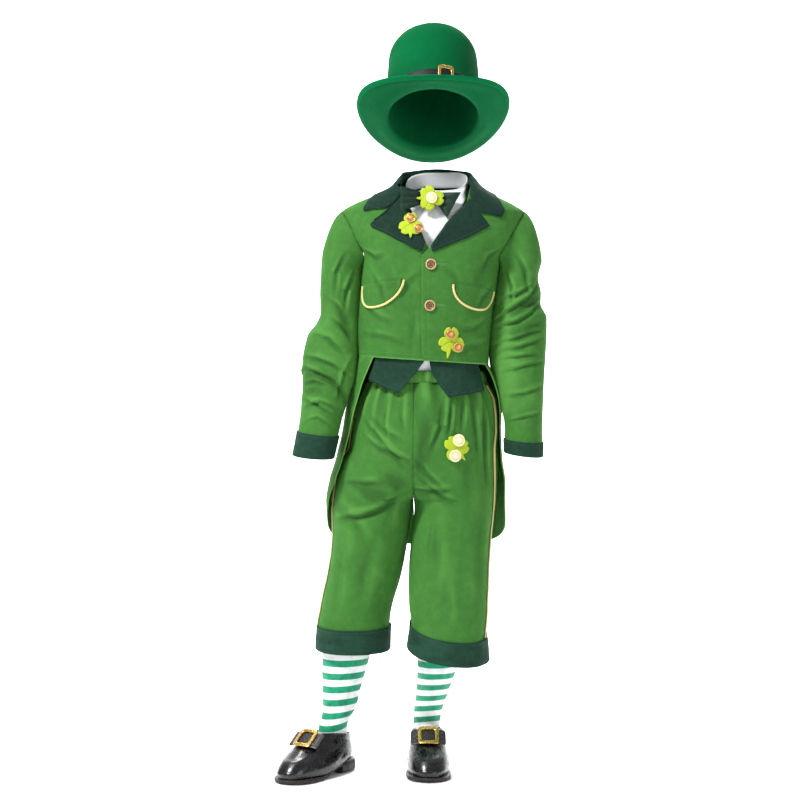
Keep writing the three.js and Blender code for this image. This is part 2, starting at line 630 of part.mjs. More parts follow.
addMesh(costume, 'sleeve_right', sleeve(RIGHT), 'coat');
addMesh(costume, 'sleeve_left', sleeve(LEFT), 'coat');
addMesh(costume, 'cuff_right', cuff(RIGHT), 'trim');
addMesh(costume, 'cuff_left', cuff(LEFT), 'trim');

// Lapels: rows from the gorge seam to the break, each from the roll line to the outer edge.
const LAPEL_ROWS = {
  [RIGHT]: [
    { innerX: -50, innerZ: -13, outerX: -76, outerZ: -44, along: 0 },
    { innerX: -45, innerZ: -24, outerX: -105, outerZ: -67, along: 0.2 },
    { innerX: -33, innerZ: -48, outerX: -79, outerZ: -82, along: 0.45 },
    { innerX: -21, innerZ: -73, outerX: -54, outerZ: -96, along: 0.7 },
    { innerX: -10, innerZ: -99, outerX: -16, outerZ: -114, along: 1 },
  ],
  [LEFT]: [
    { innerX: 68, innerZ: -21, outerX: 103, outerZ: -69, along: 0 },
    { innerX: 57, innerZ: -36, outerX: 91, outerZ: -76, along: 0.2 },
    { innerX: 38, innerZ: -53, outerX: 75, outerZ: -85, along: 0.45 },
    { innerX: 16, innerZ: -82, outerX: 38, outerZ: -101, along: 0.7 },
    { innerX: 0, innerZ: -105, outerX: 3, outerZ: -115, along: 1 },
  ],
};
const LAPEL_LIFT = { edge: LIFT + TRIM_CLOTH + 0.3, roll: 4.6 };
const LAPEL_FLATTENS = 1.6; // how soon the lapel falls flat, as a share of its width
const LAPEL_LEVELS = [0, 0.05, 0.1, 0.15, 0.2, 0.3, 0.45, 0.6, 0.75, 0.88, 1];

function lapel(side) {
  const row = smoothTable(LAPEL_ROWS[side], 'along');
  return layeredWall({
    across: steps(0, 1, 4),
    along: LAPEL_LEVELS,
    thickness: TRIM_CLOTH,
    inside: bodyAxis,
    at: (share, along, depth) => {
      const { innerX, innerZ, outerX, outerZ } = row(along);
      const lift = mix(LAPEL_LIFT.roll, LAPEL_LIFT.edge, smooth(share * LAPEL_FLATTENS));
      return coatFront(mix(innerX, outerX, share), mix(innerZ, outerZ, share), lift - depth);
    },
  });
}

addMesh(costume, 'lapel_right', lapel(RIGHT), 'trim');
addMesh(costume, 'lapel_left', lapel(LEFT), 'trim');

// The coat collar is one folded strip: it stands up from the neck edge, rolls over and falls on the coat.
// turn, out and top: where its fold runs. near, knee and edge are the turns of three lines on the coat that
// its fall follows, from the neck to its outer edge, each with its height.
const NECK = { x: 12, y: 12, wide: 59, deep: 60 };
const COLLAR_STATIONS = [
  { turn: 0.93, out: 8, top: 10, near: 0.46, nearZ: -15, knee: 0.43, kneeZ: -45, edge: 0.741, edgeZ: -53 },
  { turn: 1.1, out: 3, top: 18, near: 0.8, nearZ: -5, knee: 0.72, kneeZ: -18, edge: 0.82, edgeZ: -34 },
  { turn: 1.35, out: 1, top: 25, near: 1.2, nearZ: -1, knee: 1.15, kneeZ: -8, edge: 1.12, edgeZ: -16 },
  { turn: 1.7, out: 0, top: 31, near: 1.62, nearZ: 1, knee: 1.6, kneeZ: -4, edge: 1.6, edgeZ: -10 },
  { turn: 2.2, out: 0, top: 37, near: 2.25, nearZ: 1, knee: 2.25, kneeZ: -4, edge: 2.25, edgeZ: -12 },
  { turn: 3.14, out: 0, top: 44, near: 3.14, nearZ: 1, knee: 3.14, kneeZ: -5, edge: 3.14, edgeZ: -16 },
  { turn: 4.08, out: 0, top: 37, near: 4.03, nearZ: 1, knee: 4.03, kneeZ: -4, edge: 4.03, edgeZ: -12 },
  { turn: 4.58, out: 0, top: 31, near: 4.66, nearZ: 1, knee: 4.68, kneeZ: -4, edge: 4.68, edgeZ: -10 },
  { turn: 4.86, out: 2, top: 24, near: 5.05, nearZ: -1, knee: 5.12, kneeZ: -8, edge: 5.15, edgeZ: -15 },
  { turn: 5.05, out: 6, top: 17, near: 5.45, nearZ: -5, knee: 5.52, kneeZ: -17, edge: 5.42, edgeZ: -28 },
  { turn: 5.17, out: 13, top: 11, near: 5.76, nearZ: -9, knee: 5.846, kneeZ: -37, edge: 5.528, edgeZ: -42 },
];
const COLLAR_COLUMNS = [
  0.93, 0.96, 1, 1.05, 1.1, 1.2, 1.35, 1.55, 1.8, 2.05, 2.3, 2.58, 2.86,
  3.14, 3.42, 3.7, 3.98, 4.23, 4.48, 4.7, 4.86, 4.96, 5.05, 5.1, 5.14, 5.17,
];
const COLLAR_CORE = -20; // height of the ring that the collar folds over
const COLLAR_FOOT = { inset: 1.6, rise: 1 };
// How far the collar's outside lies over the coat, and the three points its fold runs through.
const COLLAR_LIFT = { near: 5.9, knee: 3.9, low: 3.4, edge: 2.9 };
const COLLAR_ROLL = {
  inside: { out: 0.4, drop: 3 },
  fold: { out: 3.4, drop: 0 },
  outside: { out: 6.6, drop: 3 },
};

const neckPoint = (neck, turn, out, z) =>
  point(neck.x + (neck.wide + out) * Math.sin(turn), neck.y - (neck.deep + out) * Math.cos(turn), z);

// The points of the folded collar at one turn, from the foot of the stand to the outer edge.
function collarRow(turn) {
  const station = smoothTable(COLLAR_STATIONS, 'turn')(turn);
  const ring = coatRing(COAT_TOP);
  const footRing = { ...ring, wide: ring.wide - COLLAR_FOOT.inset, deep: ring.deep - COLLAR_FOOT.inset };
  const roll = ({ out, drop }) => neckPoint(NECK, turn, out + station.out, station.top - drop);
  const near = coatPoint(station.near, station.nearZ, COLLAR_LIFT.near);
  const fallTop = roll(COLLAR_ROLL.outside);
  const lowTurn = mix(station.knee, station.edge, 0.5);
  const lowZ = mix(station.kneeZ, station.edgeZ, 0.5);
  return [
    ringPoint(footRing, turn, COAT_TOP + COLLAR_FOOT.rise),
    roll(COLLAR_ROLL.inside),
    roll(COLLAR_ROLL.fold),
    fallTop,
    fallTop.clone().lerp(near, 0.5),
    near,
    coatPoint(station.knee, station.kneeZ, COLLAR_LIFT.knee),
    coatPoint(lowTurn, lowZ, COLLAR_LIFT.low),
    coatPoint(station.edge, station.edgeZ, COLLAR_LIFT.edge),
  ];
}

// A wall through rows of points that are already worked out.
function wallThrough(rows, thickness, inside) {
  return wall({
    across: rows[0].map((_, i) => i),
    along: rows.map((_, j) => j),
    thickness,
    inside,
    at: (i, j) => rows[j][i].clone(),
  });
}

const ringCore = (neck, out, z) => (p) => {
  const turn = Math.atan2(p.x - neck.x, neck.y - p.y);
  return neckPoint(neck, turn, out, z);
};

addMesh(
  costume,
  'coat_collar',
  wallThrough(COLLAR_COLUMNS.map(collarRow), TRIM_CLOTH, ringCore(NECK, COLLAR_ROLL.fold.out, COLLAR_CORE)),
  'trim',
);

// Pockets: a flap with a rounded lower edge, and gold piping round it. slope: rise of its straight top.
const POCKETS = {
  [RIGHT]: { x: -84, z: -167, half: 33, drop: 43, slope: 0.15 },
  [LEFT]: { x: 77, z: -176, half: 34, drop: 38, slope: -0.17 },
};
const POCKET_CLOTH = 1.4;
const POCKET_ROUNDNESS = 0.9;
const POCKET_END = 0.25; // the flap's and the piping's ends, as turns from the straight top
const PIPING = { gap: 0.6, width: 3.8, thick: 2, end: 0.06 };

// around: half a turn along the lower edge. down: 0 at the straight top, 1 at the edge. grow: added size.
function pocketPoint(side, around, down, grow, lift) {
  const pocket = POCKETS[side];
  const share = -power(Math.cos(around), POCKET_ROUNDNESS);
  const reach = 1 + grow / pocket.half;
  const from = coatTurn(pocket.x - pocket.half, pocket.z);
  const to = coatTurn(pocket.x + pocket.half, pocket.z);
  const turn = mix(from, to, (share * reach + 1) / 2);
  const drop = (pocket.drop + grow) * power(Math.sin(around), POCKET_ROUNDNESS);
  return coatPoint(turn, pocket.z + pocket.slope * pocket.half * share - down * drop, lift);
}

function pocketFlap(side) {
  return layeredWall({
    across: steps(POCKET_END, HALF_TURN - POCKET_END, 10),
    along: [0, 0.5, 1],
    thickness: POCKET_CLOTH,
    inside: bodyAxis,
    at: (around, down, depth) => pocketPoint(side, around, down, 0, LIFT + POCKET_CLOTH - depth),
  });
}

function pocketPiping(side) {
  return layeredWall({
    across: steps(PIPING.end, HALF_TURN - PIPING.end, 14),
    along: [0, 1],
    thickness: PIPING.thick,
    inside: bodyAxis,
    at: (around, share, depth) =>
      pocketPoint(side, around, 1, PIPING.gap + PIPING.width * share, LIFT + PIPING.thick - depth),
  });
}

addMesh(costume, 'pocket_right', pocketFlap(RIGHT), 'coat');
addMesh(costume, 'pocket_left', pocketFlap(LEFT), 'coat');
addMesh(costume, 'pocket_piping_right', pocketPiping(RIGHT), 'braid');
addMesh(costume, 'pocket_piping_left', pocketPiping(LEFT), 'braid');

// Two buttons on the left front
const BUTTONS = [
  { x: 0.3, z: -138 },
  { x: -1.5, z: -210 },
];
const BUTTON = { radius: 10, thick: 2.6, dome: 0.8, spokes: 12 };
BUTTONS.forEach(({ x, z }, i) => {
  const geometry = badge({
    surface: coatFront,
    x,
    z,
    radiusAt: () => BUTTON.radius,
    spokes: BUTTON.spokes,
    lift: SEAM_GAP,
    thickness: BUTTON.thick,
    dome: BUTTON.dome,
  });
  addMesh(costume, `button_${i + 1}`, geometry, 'button');
});

// The waistcoat points, sewn inside the hem of the fronts and hanging below it
const WAISTCOAT_POINTS = {
  [RIGHT]: {
    topFrom: -9,
    topTo: -98,
    low: [[-12, -309], [-34, -338], [-56.5, -366], [-84, -357], [-110, -346]],
  },
  [LEFT]: {
    topFrom: -4,
    topTo: 88,
    low: [[2, -329], [17, -349], [32, -368], [64, -361], [95, -353]],
  },
};
const POINT_TOP = -291;
const POINT_CLOTH = 1.6;
const POINT_FLARE = { by: 8, top: -304, bottom: -366 }; // how the points lift away below the hem

function waistcoatPoint(side) {
  const { topFrom, topTo, low } = WAISTCOAT_POINTS[side];
  return layeredWall({
    across: steps(0, low.length - 1, 2 * (low.length - 1)),
    along: steps(0, 1, 3),
    thickness: POINT_CLOTH,
    inside: bodyAxis,
    at: (column, down, depth) => {
      const left = low[Math.floor(column)];
      const right = low[Math.ceil(column)];
      const share = column - Math.floor(column);
      const x = mix(mix(topFrom, topTo, column / (low.length - 1)), mix(left[0], right[0], share), down);
      const z = mix(POINT_TOP, mix(left[1], right[1], share), down);
      const flare = POINT_FLARE.by * between(POINT_FLARE.top, POINT_FLARE.bottom, z);
      return coatFront(x, z, flare - POINT_DEPTH - depth);
    },
  });
}

addMesh(costume, 'waistcoat_point_right', waistcoatPoint(RIGHT), 'trim');
addMesh(costume, 'waistcoat_point_left', waistcoatPoint(LEFT), 'trim');

// The breeches. psi runs from the middle of the front over the outer side to the middle of the back. Below
// the crotch it runs all round the leg, from the inseam.
const breechesRing = {
  [RIGHT]: smoothTable(BREECHES_RINGS[RIGHT]),
  [LEFT]: smoothTable(BREECHES_RINGS[LEFT]),
};
const BREECHES_SEAM = 0.2; // half the gap at the middle seams and the inseams
const SIDE_SEAM_GAP = 0.003;
const INSEAM_TURN = 0.0022;
const GATHER_FADE = 110; // how far below the waistband the gathers fade out

const partedShare = (z) => clamp((SPREAD_START - z) / (SPREAD_START - CROTCH), 0, 1);
const firstPsi = (z) =>
  Math.acos(Math.min(partedShare(z) ** BREECHES_SQUARENESS, Math.cos(INSEAM_TURN)));

function breechesBase(side, psi, z) {
  const ring = breechesRing[side](z);
  const inner = ring.inner + side * BREECHES_SEAM * (1 - partedShare(z));
  const half = (side * (ring.out - inner)) / (1 + partedShare(z) ** 2);
  const across = -power(Math.cos(psi), 2 / BREECHES_SQUARENESS);
  const forward = power(Math.sin(psi), 2 / BREECHES_SQUARENESS);
  return point(
    ring.out - side * half + side * half * across,
    ring.y - ring.deep * forward,
    z + ring.dip * forward + side * ring.roll * across,
  );
}

function legAxis(side, z) {
  const ring = breechesRing[side](z);
  return point(mix(ring.inner, ring.out, 0.5), ring.y, z);
}

function gatherShift(side, psi, z) {
  const fade = 1 - smooth((WAISTBAND_BOTTOM - z) / GATHER_FADE);
  const seam = SIDE_SEAM[side];
  const [from, to] = psi < seam ? [firstPsi(z), seam] : [seam, 2 * HALF_TURN - firstPsi(z)];
  const share = (psi - from) / (to - from);
  return -GATHER_DEPTH * fade * Math.cos(share * GATHERS_PER_HALF * HALF_TURN);
}

function breechesPoint(side, psi, z, lift = 0) {
  const base = (a, b) => breechesBase(side, a, b);
  return liftedPoint(base, psi, z, legAxis(side, z), lift + gatherShift(side, psi, z), BREECHES_FOLDS);
}

function breechesFront(side) {
  return (x, z, lift) => {
    const ring = breechesRing[side](z);
    const half = (side * (ring.out - ring.inner)) / (1 + partedShare(z) ** 2);
    const across = clamp((side * (x - ring.out)) / half + 1, -ALMOST_ONE, ALMOST_ONE);
    const psi = Math.acos(-power(across, BREECHES_SQUARENESS / 2));
    return breechesPoint(side, psi, z, lift);
  };
}

// The breeches' smooth front at the waist
function waistSurface(x, z, lift) {
  const side = x < breechesRing[LEFT](z).inner ? RIGHT : LEFT;
  const ring = breechesRing[side](z);
  const across = clamp((x - ring.inner) / (ring.out - ring.inner), 1 - ALMOST_ONE, ALMOST_ONE);
  const psi = Math.acos(-power(across, BREECHES_SQUARENESS / 2));
  return liftedPoint((a, b) => breechesBase(side, a, b), psi, z, legAxis(side, z), lift);
}

// The shirt front: its edges are sewn inside the coat fronts, and its end is tucked into the waistband.
const SHIRT_ROWS = [
  { z: -20, x: 8, half: 42 },
  { z: -40, x: 6, half: 59 },
  { z: -60, x: 4, half: 66 },
  { z: -120, x: 1, half: 70 },
  { z: -230, x: -9, half: 70 },
  { z: -300, x: -12, half: 66 },
  { z: -336, x: -12, half: 58 },
];
const SHIRT_EDGE = { depth: 3.5, from: 0.7, top: { low: -70, high: -40 }, bottom: { low: -290, high: -266 } };
const SHIRT_TUCK = { depth: 3.2, low: -322, high: -298 }; // depth: behind the waistband's outside
const SHIRT_LEVELS = [-20, -30, -44, -64, -95, -140, -200, -262, -294, -308, -322, -336];

function shirtFront() {
  const row = smoothTable(SHIRT_ROWS);
  return layeredWall({
    across: steps(-1, 1, 8),
    along: SHIRT_LEVELS,
    thickness: SHIRT_CLOTH,
    inside: bodyAxis,
    at: (share, z, depth) => {
      const { x, half } = row(z);
      const { top, bottom } = SHIRT_EDGE;
      const sewn = between(top.high, top.low, z) * between(bottom.low, bottom.high, z);
      const edge = between(SHIRT_EDGE.from, 1, Math.abs(share)) * sewn;
      const lift = -mix(SHIRT_DEPTH, SHIRT_EDGE.depth, edge) - depth;
      const across = x + half * share;
      const tucked = waistSurface(across, z, -SHIRT_TUCK.depth - depth);
      return coatFront(across, z, lift).lerp(tucked, between(SHIRT_TUCK.high, SHIRT_TUCK.low, z));
    },
  });
}

// The shirt collar is folded like the coat's. Its leaf ends in two points beside the bow.
const SHIRT_NECK = { x: 12, y: 12, wide: 53, deep: 53.5 };
const SHIRT_OPENING = -0.2;
const SHIRT_STATIONS = [
  { turn: 0.05, reach: 35, drop: 43 },
  { turn: 0.45, reach: 49, drop: 36 },
  { turn: 0.95, reach: 58, drop: 24 },
  { turn: 1.45 },
  { turn: 2 },
  { turn: 2.57 },
  { turn: 3.14 },
  { turn: 3.71 },
  { turn: 4.28 },
  { turn: 4.83 },
  { turn: 5.33, reach: -50, drop: 24 },
  { turn: 5.83, reach: -43, drop: 36 },
  { turn: 6.23, reach: -34, drop: 43 },
];
const LEAF_LENGTH = 27;
const SHIRT_COLLAR_TOP = { front: -5, back: 36 };
const SHIRT_COLLAR_FOOT = { front: -15, back: 8 };
// The three points its fold runs through, as distances out and down from its top.
const SHIRT_ROLL = {
  inside: { out: 0, drop: 4 },
  shoulder: { out: 0.4, drop: 1.6 },
  fold: { out: 1.8, drop: 0 },
  outside: { out: 3.6, drop: 2.4 },
};
const SHIRT_CORE = -16; // height of the ring that the collar folds over
const LEAF_REACH = 1;
const LEAF_OUT = 4;

function shirtCollarRow(station) {
  const turn = SHIRT_OPENING + station.turn;
  const rise = smooth((1 - Math.cos(station.turn)) / 2);
  const top = mix(SHIRT_COLLAR_TOP.front, SHIRT_COLLAR_TOP.back, rise);
  const roll = ({ out, drop }) => neckPoint(SHIRT_NECK, turn, out, top - drop);
  const edge = station.reach
    ? coatFront(station.reach + LEAF_REACH, -station.drop, -LEAF_DEPTH)
    : roll({ out: LEAF_OUT, drop: LEAF_LENGTH });
  const outside = roll(SHIRT_ROLL.outside);
  const leaf = (share) => {
    const straight = outside.clone().lerp(edge, share);
    return station.reach ? coatFront(straight.x, straight.z, -LEAF_DEPTH) : straight;
  };
  return [
    neckPoint(SHIRT_NECK, turn, 0, mix(SHIRT_COLLAR_FOOT.front, SHIRT_COLLAR_FOOT.back, rise)),
    roll(SHIRT_ROLL.inside),
    roll(SHIRT_ROLL.shoulder),
    roll(SHIRT_ROLL.fold),
    outside,
    leaf(0.2),
    leaf(0.55),
    edge,
  ];
}

addMesh(costume, 'shirt_front', shirtFront(), 'shirt');
addMesh(
  costume,
  'shirt_collar',
  wallThrough(
    SHIRT_STATIONS.map(shirtCollarRow),
    SHIRT_CLOTH,
    ringCore(SHIRT_NECK, SHIRT_ROLL.fold.out, SHIRT_CORE),
  ),
  'shirt',
);

// The bow tie: each wing is a loop of cloth that folds over at its end, and the knot is a band round both.
const BOW = { y: -63.2, z: -20, knotHalf: 10.8, knotTall: 13, knotDeep: 10.5 };
const BOW_CLOTH = 1.6;
const WING = { start: 0.5, puff: 3, flare: 3, pleat: 1.2, pleats: 3, narrow: 9, core: 2, reach: 50 };
const BOW_WINGS = {
  [RIGHT]: { x: -53, z: -22, y: -81.6, slantX: 0, tall: 22, slantY: 3 },
  [LEFT]: { x: 41, z: -33, y: -71.6, slantX: 12, tall: 22, slantY: 0 },
};

function bowWing(side) {
  const wing = BOW_WINGS[side];
  return wall({
    across: steps(-1, 1, 5),
    along: steps(0, HALF_TURN, 8),
    thickness: BOW_CLOTH,
    inside: (p) =>
      point(p.x - side * WING.core, mix(BOW.y, wing.y, Math.min(1, Math.abs(p.x) / WING.reach)), p.z),
    at: (height, around) => {
      const out = Math.sin(around);
      const pleat = WING.pleat * Math.cos(height * HALF_TURN * WING.pleats) * out * (1 - out);
      const y = mix(BOW.y, wing.y + wing.slantY * height, out);
      return point(
        mix(side * (BOW.knotHalf + WING.start), wing.x + wing.slantX * height, out),
        y - Math.cos(around) * (WING.puff + WING.flare * out + pleat),
        mix(BOW.z + WING.narrow * height, wing.z + wing.tall * height, out),
      );
    },
  });
}

const bowKnot = wall({
  across: steps(0, 2 * HALF_TURN, 14).slice(0, 14),
  along: [-1, 0, 1],
  closed: true,
  thickness: BOW_CLOTH,
  inside: (p) => point(p.x, BOW.y, BOW.z),
  at: (around, share) =>
    point(
      BOW.knotHalf * share,
      BOW.y - BOW.knotDeep * Math.cos(around),
      BOW.z + (BOW.knotTall - share * share) * Math.sin(around),
    ),
});

addMesh(costume, 'bow_wing_right', bowWing(RIGHT), 'trim');
addMesh(costume, 'bow_wing_left', bowWing(LEFT), 'trim');
addMesh(costume, 'bow_knot', bowKnot, 'trim');

// The pieces of the breeches
const LEG_LEVELS = [-368, -396, -430, -458, -478, -500, -522, -541, CROTCH, -576, -606, -650, -710];
const PANEL_IN_HEM = 4; // how far the panel ends above the hem band's lower edge
const legLevels = (side) => [
  WAISTBAND_BOTTOM - SEAM_GAP,
  ...LEG_LEVELS,
  HEMS[side].top,
  HEMS[side].bottom + PANEL_IN_HEM,
];

function breechesPanel(side, front) {
  return layeredWall({
    across: steps(0, 1, GATHERS_PER_HALF),
    along: legLevels(side),
    thickness: COAT_CLOTH,
    inside: (p) => legAxis(side, p.z),
    at: (share, z, depth) => {
      const seam = SIDE_SEAM[side];
      const psi = front
        ? mix(firstPsi(z), seam - SIDE_SEAM_GAP, share)
        : mix(seam + SIDE_SEAM_GAP, 2 * HALF_TURN - firstPsi(z), share);
      return breechesPoint(side, psi, z, -depth);
    },
  });
}

function hemBand(side) {
  const { top, bottom } = HEMS[side];
  const seam = SIDE_SEAM[side];
  const front = steps(0, seam, GATHERS_PER_HALF).slice(0, GATHERS_PER_HALF);
  const back = steps(seam, 2 * HALF_TURN, GATHERS_PER_HALF).slice(0, GATHERS_PER_HALF);
  return layeredWall({
    across: [...front, ...back],
    along: [top, mix(top, bottom, 0.5), bottom],
    closed: true,
    thickness: TRIM_CLOTH,
    inside: (p) => legAxis(side, p.z),
    at: (psi, z, depth) => breechesPoint(side, psi, z, LIFT + TRIM_CLOTH - depth),
  });
}

function sideBraid(side) {
  return layeredWall({
    across: [-1, 1],
    along: [BRAID_TOP, ...LEG_LEVELS, HEMS[side].top + BRAID_GAP],
    thickness: BRAID_CLOTH,
    inside: (p) => legAxis(side, p.z),
    at: (share, z, depth) => {
      const { deep } = breechesRing[side](z);
      const psi = SIDE_SEAM[side] + (share * BRAID_WIDTH) / (2 * deep);
      return breechesPoint(side, psi, z, BRAID_LIFT + BRAID_CLOTH - depth);
    },
  });
}

const WAISTBAND_COLUMNS = 36;
const WAISTBAND_RIPPLE = 0.7;
const WAIST_MIDDLE = 5;

function waistband() {
  return layeredWall({
    across: steps(0, 2 * HALF_TURN, WAISTBAND_COLUMNS).slice(0, WAISTBAND_COLUMNS),
    along: [WAISTBAND_TOP, WAISTBAND_BOTTOM],
    closed: true,
    thickness: COAT_CLOTH,
    inside: (p) => point(0, WAIST_MIDDLE, p.z),
    at: (turn, z, depth) => {
      const side = turn < HALF_TURN ? LEFT : RIGHT;
      const psi = side === LEFT ? turn + QUARTER_TURN : 5 * QUARTER_TURN - turn;
      const ripple = WAISTBAND_RIPPLE * Math.cos((turn * WAISTBAND_COLUMNS) / 2);
      return liftedPoint((a, b) => breechesBase(side, a, b), psi, z, legAxis(side, z), ripple - depth);
    },
  });
}

['right', 'left'].forEach((word, i) => {
  const side = i === 0 ? RIGHT : LEFT;
  addMesh(costume, `breeches_front_${word}`, breechesPanel(side, true), 'coat');
  addMesh(costume, `breeches_back_${word}`, breechesPanel(side, false), 'coat');
  addMesh(costume, `hem_band_${word}`, hemBand(side), 'trim');
  addMesh(costume, `side_braid_${word}`, sideBraid(side), 'braid');
});
addMesh(costume, 'waistband', waistband(), 'coat');

// Shamrock brooches with round studs. upright: the direction of one leaf. stem: the direction of the stem.
const SHAMROCK = { thick: 2.4, spokes: 28, gap: 0.5 };
const STUD = { thick: 2.6, dome: 1.6, spokes: 12 };

const LEAVES = { count: 3, between: 0.5, roundness: 0.6, stem: 0.5, stemWidth: 0.17 };

// The outline of three leaves and a stem
function shamrockRadius(size, upright, stem) {
  return (turn) => {
    const lobe = Math.abs(Math.cos((LEAVES.count / 2) * (turn - upright))) ** LEAVES.roundness;
    const away = Math.atan2(Math.sin(turn - stem), Math.cos(turn - stem));
    const stalk = LEAVES.stem * Math.exp(-((away / LEAVES.stemWidth) ** 2));
    return size * (mix(LEAVES.between, 1, lobe) + stalk);
  };
}

const BOW_BEND = 0.002; // how fast the brooch on the bow bends back from its middle
const bowFront = (x, z, lift) =>
  point(x, BOW.y - BOW.knotDeep - lift + BOW_BEND * (x * x + (z - BOW.z) ** 2), z);

const legFront = breechesFront(LEFT);
const BROOCHES = [
  { name: 'bow', surface: bowFront, lift: 0.9, x: 0.5, z: -21, size: 24, upright: 0, stem: 3.14 },
  { name: 'lapel', surface: coatFront, lift: 5.2, x: -35, z: -69, size: 22, upright: 1.57, stem: -1.57 },
  { name: 'coat', surface: coatFront, lift: 0.8, x: 36, z: -270, size: 24, upright: 1.57, stem: -1.8 },
  { name: 'breeches', surface: legFront, lift: 1.2, x: 44, z: -461, size: 24, upright: 2.3, stem: -0.9 },
];
const STUDS = [
  { on: 'bow', x: 1.5, z: -20, radius: 10, colour: 'cream' },
  { on: 'lapel', x: -34, z: -59, radius: 8.5, colour: 'copper' },
  { on: 'lapel', x: -21, z: -77, radius: 8.5, colour: 'copper' },
  { on: 'coat', x: 34, z: -259, radius: 9, colour: 'copper' },
  { on: 'coat', x: 47, z: -280, radius: 9, colour: 'copper' },
  { on: 'breeches', x: 48.6, z: -447, radius: 11, colour: 'cream' },
  { on: 'breeches', x: 42, z: -474, radius: 11, colour: 'cream' },
];

BROOCHES.forEach(({ name, surface, lift, x, z, size, upright, stem }) => {
  const leaf = badge({
    surface,
    x,
    z,
    radiusAt: shamrockRadius(size, upright, stem),
    spokes: SHAMROCK.spokes,
    lift,
    thickness: SHAMROCK.thick,
  });
  addMesh(costume, `shamrock_${name}`, leaf, 'shamrock');
  STUDS.filter((stud) => stud.on === name).forEach((stud, i) => {
    const disc = badge({
      surface,
      x: stud.x,
      z: stud.z,
      radiusAt: () => stud.radius,
      spokes: STUD.spokes,
      lift: lift + SHAMROCK.thick + SHAMROCK.gap,
      thickness: STUD.thick,
      dome: STUD.dome,
    });
    addMesh(costume, `stud_${name}_${i + 1}`, disc, stud.colour);
  });
});

// The hat, in its own frame, tipped back. curl: rise of the brim's sides. dip: fall of its front.
const HAT = { x: 6, y: 25, z: 128, tilt: -0.454 };
const BRIM_ROWS = [
  { wide: 137, deep: 154, z: 6, curl: 26, dip: 13 },
  { wide: 133, deep: 150, z: 3, curl: 24, dip: 12 },
  { wide: 112, deep: 127, z: 0, curl: 13, dip: 6 },
  { wide: 90, deep: 104, z: 1, curl: 2, dip: 1 },
  { wide: 84, deep: 97.5, z: 5, curl: 0, dip: 0 },
];
const CROWN_ROWS = [
  { wide: 83.9, deep: 97.4, z: 5.4 },
  { wide: 83, deep: 96, z: 14 },
  { wide: 81, deep: 94, z: 44 },
  { wide: 77, deep: 90, z: 110 },
  { wide: 74, deep: 86, z: 140 },
  { wide: 64, deep: 75, z: 160 },
  { wide: 44, deep: 52, z: 171 },
  { wide: 0, deep: 0, z: 176 },
];
const HAT_COLUMNS = 24;
const HAT_CORE = 40;
const HAT_BAND = { bottom: 14, top: 44, cloth: 1.2 };
const HAT_BUCKLE = { turn: 0.25, z: 33, halfWide: 15.5, halfTall: 19, opening: 0.62, thick: 2.4, bend: 94 };

const hat = new THREE.Group();
hat.position.set(HAT.x, HAT.y, HAT.z);
hat.rotation.x = HAT.tilt;
costume.add(hat);

const roundHat = steps(0, 2 * HALF_TURN, HAT_COLUMNS).slice(0, HAT_COLUMNS);
const hatInside = (p) => point(p.x / 2, p.y / 2, p.z - HAT_CORE);
const hatBrim = wall({
  across: roundHat,
  along: BRIM_ROWS.map((_, row) => row),
  closed: true,
  thickness: FELT,
  inside: hatInside,
  at: (turn, row) => {
    const { wide, deep, z, curl, dip } = BRIM_ROWS[row];
    const rise = curl * Math.sin(turn) ** 2 - dip * Math.max(0, Math.cos(turn)) ** 2;
    return point(wide * Math.sin(turn), -deep * Math.cos(turn), z + rise);
  },
});
const hatCrown = wall({
  across: roundHat,
  along: CROWN_ROWS.map((_, row) => row),
  closed: true,
  capped: true,
  thickness: FELT,
  inside: hatInside,
  at: (turn, row) => {
    const { wide, deep, z } = CROWN_ROWS[row];
    return point(wide * Math.sin(turn), -deep * Math.cos(turn), z);
  },
});

function crownPoint(turn, z, lift) {
  const low = CROWN_ROWS.find((entry) => entry.z === HAT_BAND.bottom);
  const high = CROWN_ROWS.find((entry) => entry.z === HAT_BAND.top);
  const share = (z - low.z) / (high.z - low.z);
  const wide = mix(low.wide, high.wide, share) + lift;
  const deep = mix(low.deep, high.deep, share) + lift;
  return point(wide * Math.sin(turn), -deep * Math.cos(turn), z);
}

const crownAxis = (p) => point(0, 0, p.z);
const hatBand = wall({
  across: roundHat,
  along: [HAT_BAND.bottom, HAT_BAND.top],
  closed: true,
  thickness: HAT_BAND.cloth,
  inside: crownAxis,
  at: (turn, z) => crownPoint(turn, z, SEAM_GAP + HAT_BAND.cloth),
});

// The rim of a rectangular frame with soft corners. share: 0 at the outside, 1 at the opening.
const FRAME_POINTS = 16;
const FRAME_CORNER = 0.3;
const roundFrame = steps(0, 2 * HALF_TURN, FRAME_POINTS).slice(0, FRAME_POINTS);
function framePoint(around, share, frame) {
  const scale = mix(1, frame.opening, share);
  return {
    across: frame.halfWide * scale * power(Math.cos(around), FRAME_CORNER),
    up: frame.halfTall * scale * power(Math.sin(around), FRAME_CORNER),
  };
}

const hatBuckle = wall({
  across: roundFrame,
  along: [0, 1],
  closed: true,
  thickness: HAT_BUCKLE.thick,
  inside: crownAxis,
  at: (around, share) => {
    const { across, up } = framePoint(around, share, HAT_BUCKLE);
    const turn = HAT_BUCKLE.turn + across / HAT_BUCKLE.bend;
    return crownPoint(turn, HAT_BUCKLE.z + up, SEAM_GAP + HAT_BAND.cloth + LIFT + HAT_BUCKLE.thick);
  },
});

addMesh(hat, 'hat_crown', hatCrown, 'felt');
addMesh(hat, 'hat_brim', hatBrim, 'felt');
addMesh(hat, 'hat_band', hatBand, 'ribbon');
addMesh(hat, 'hat_buckle', hatBuckle, 'gold');

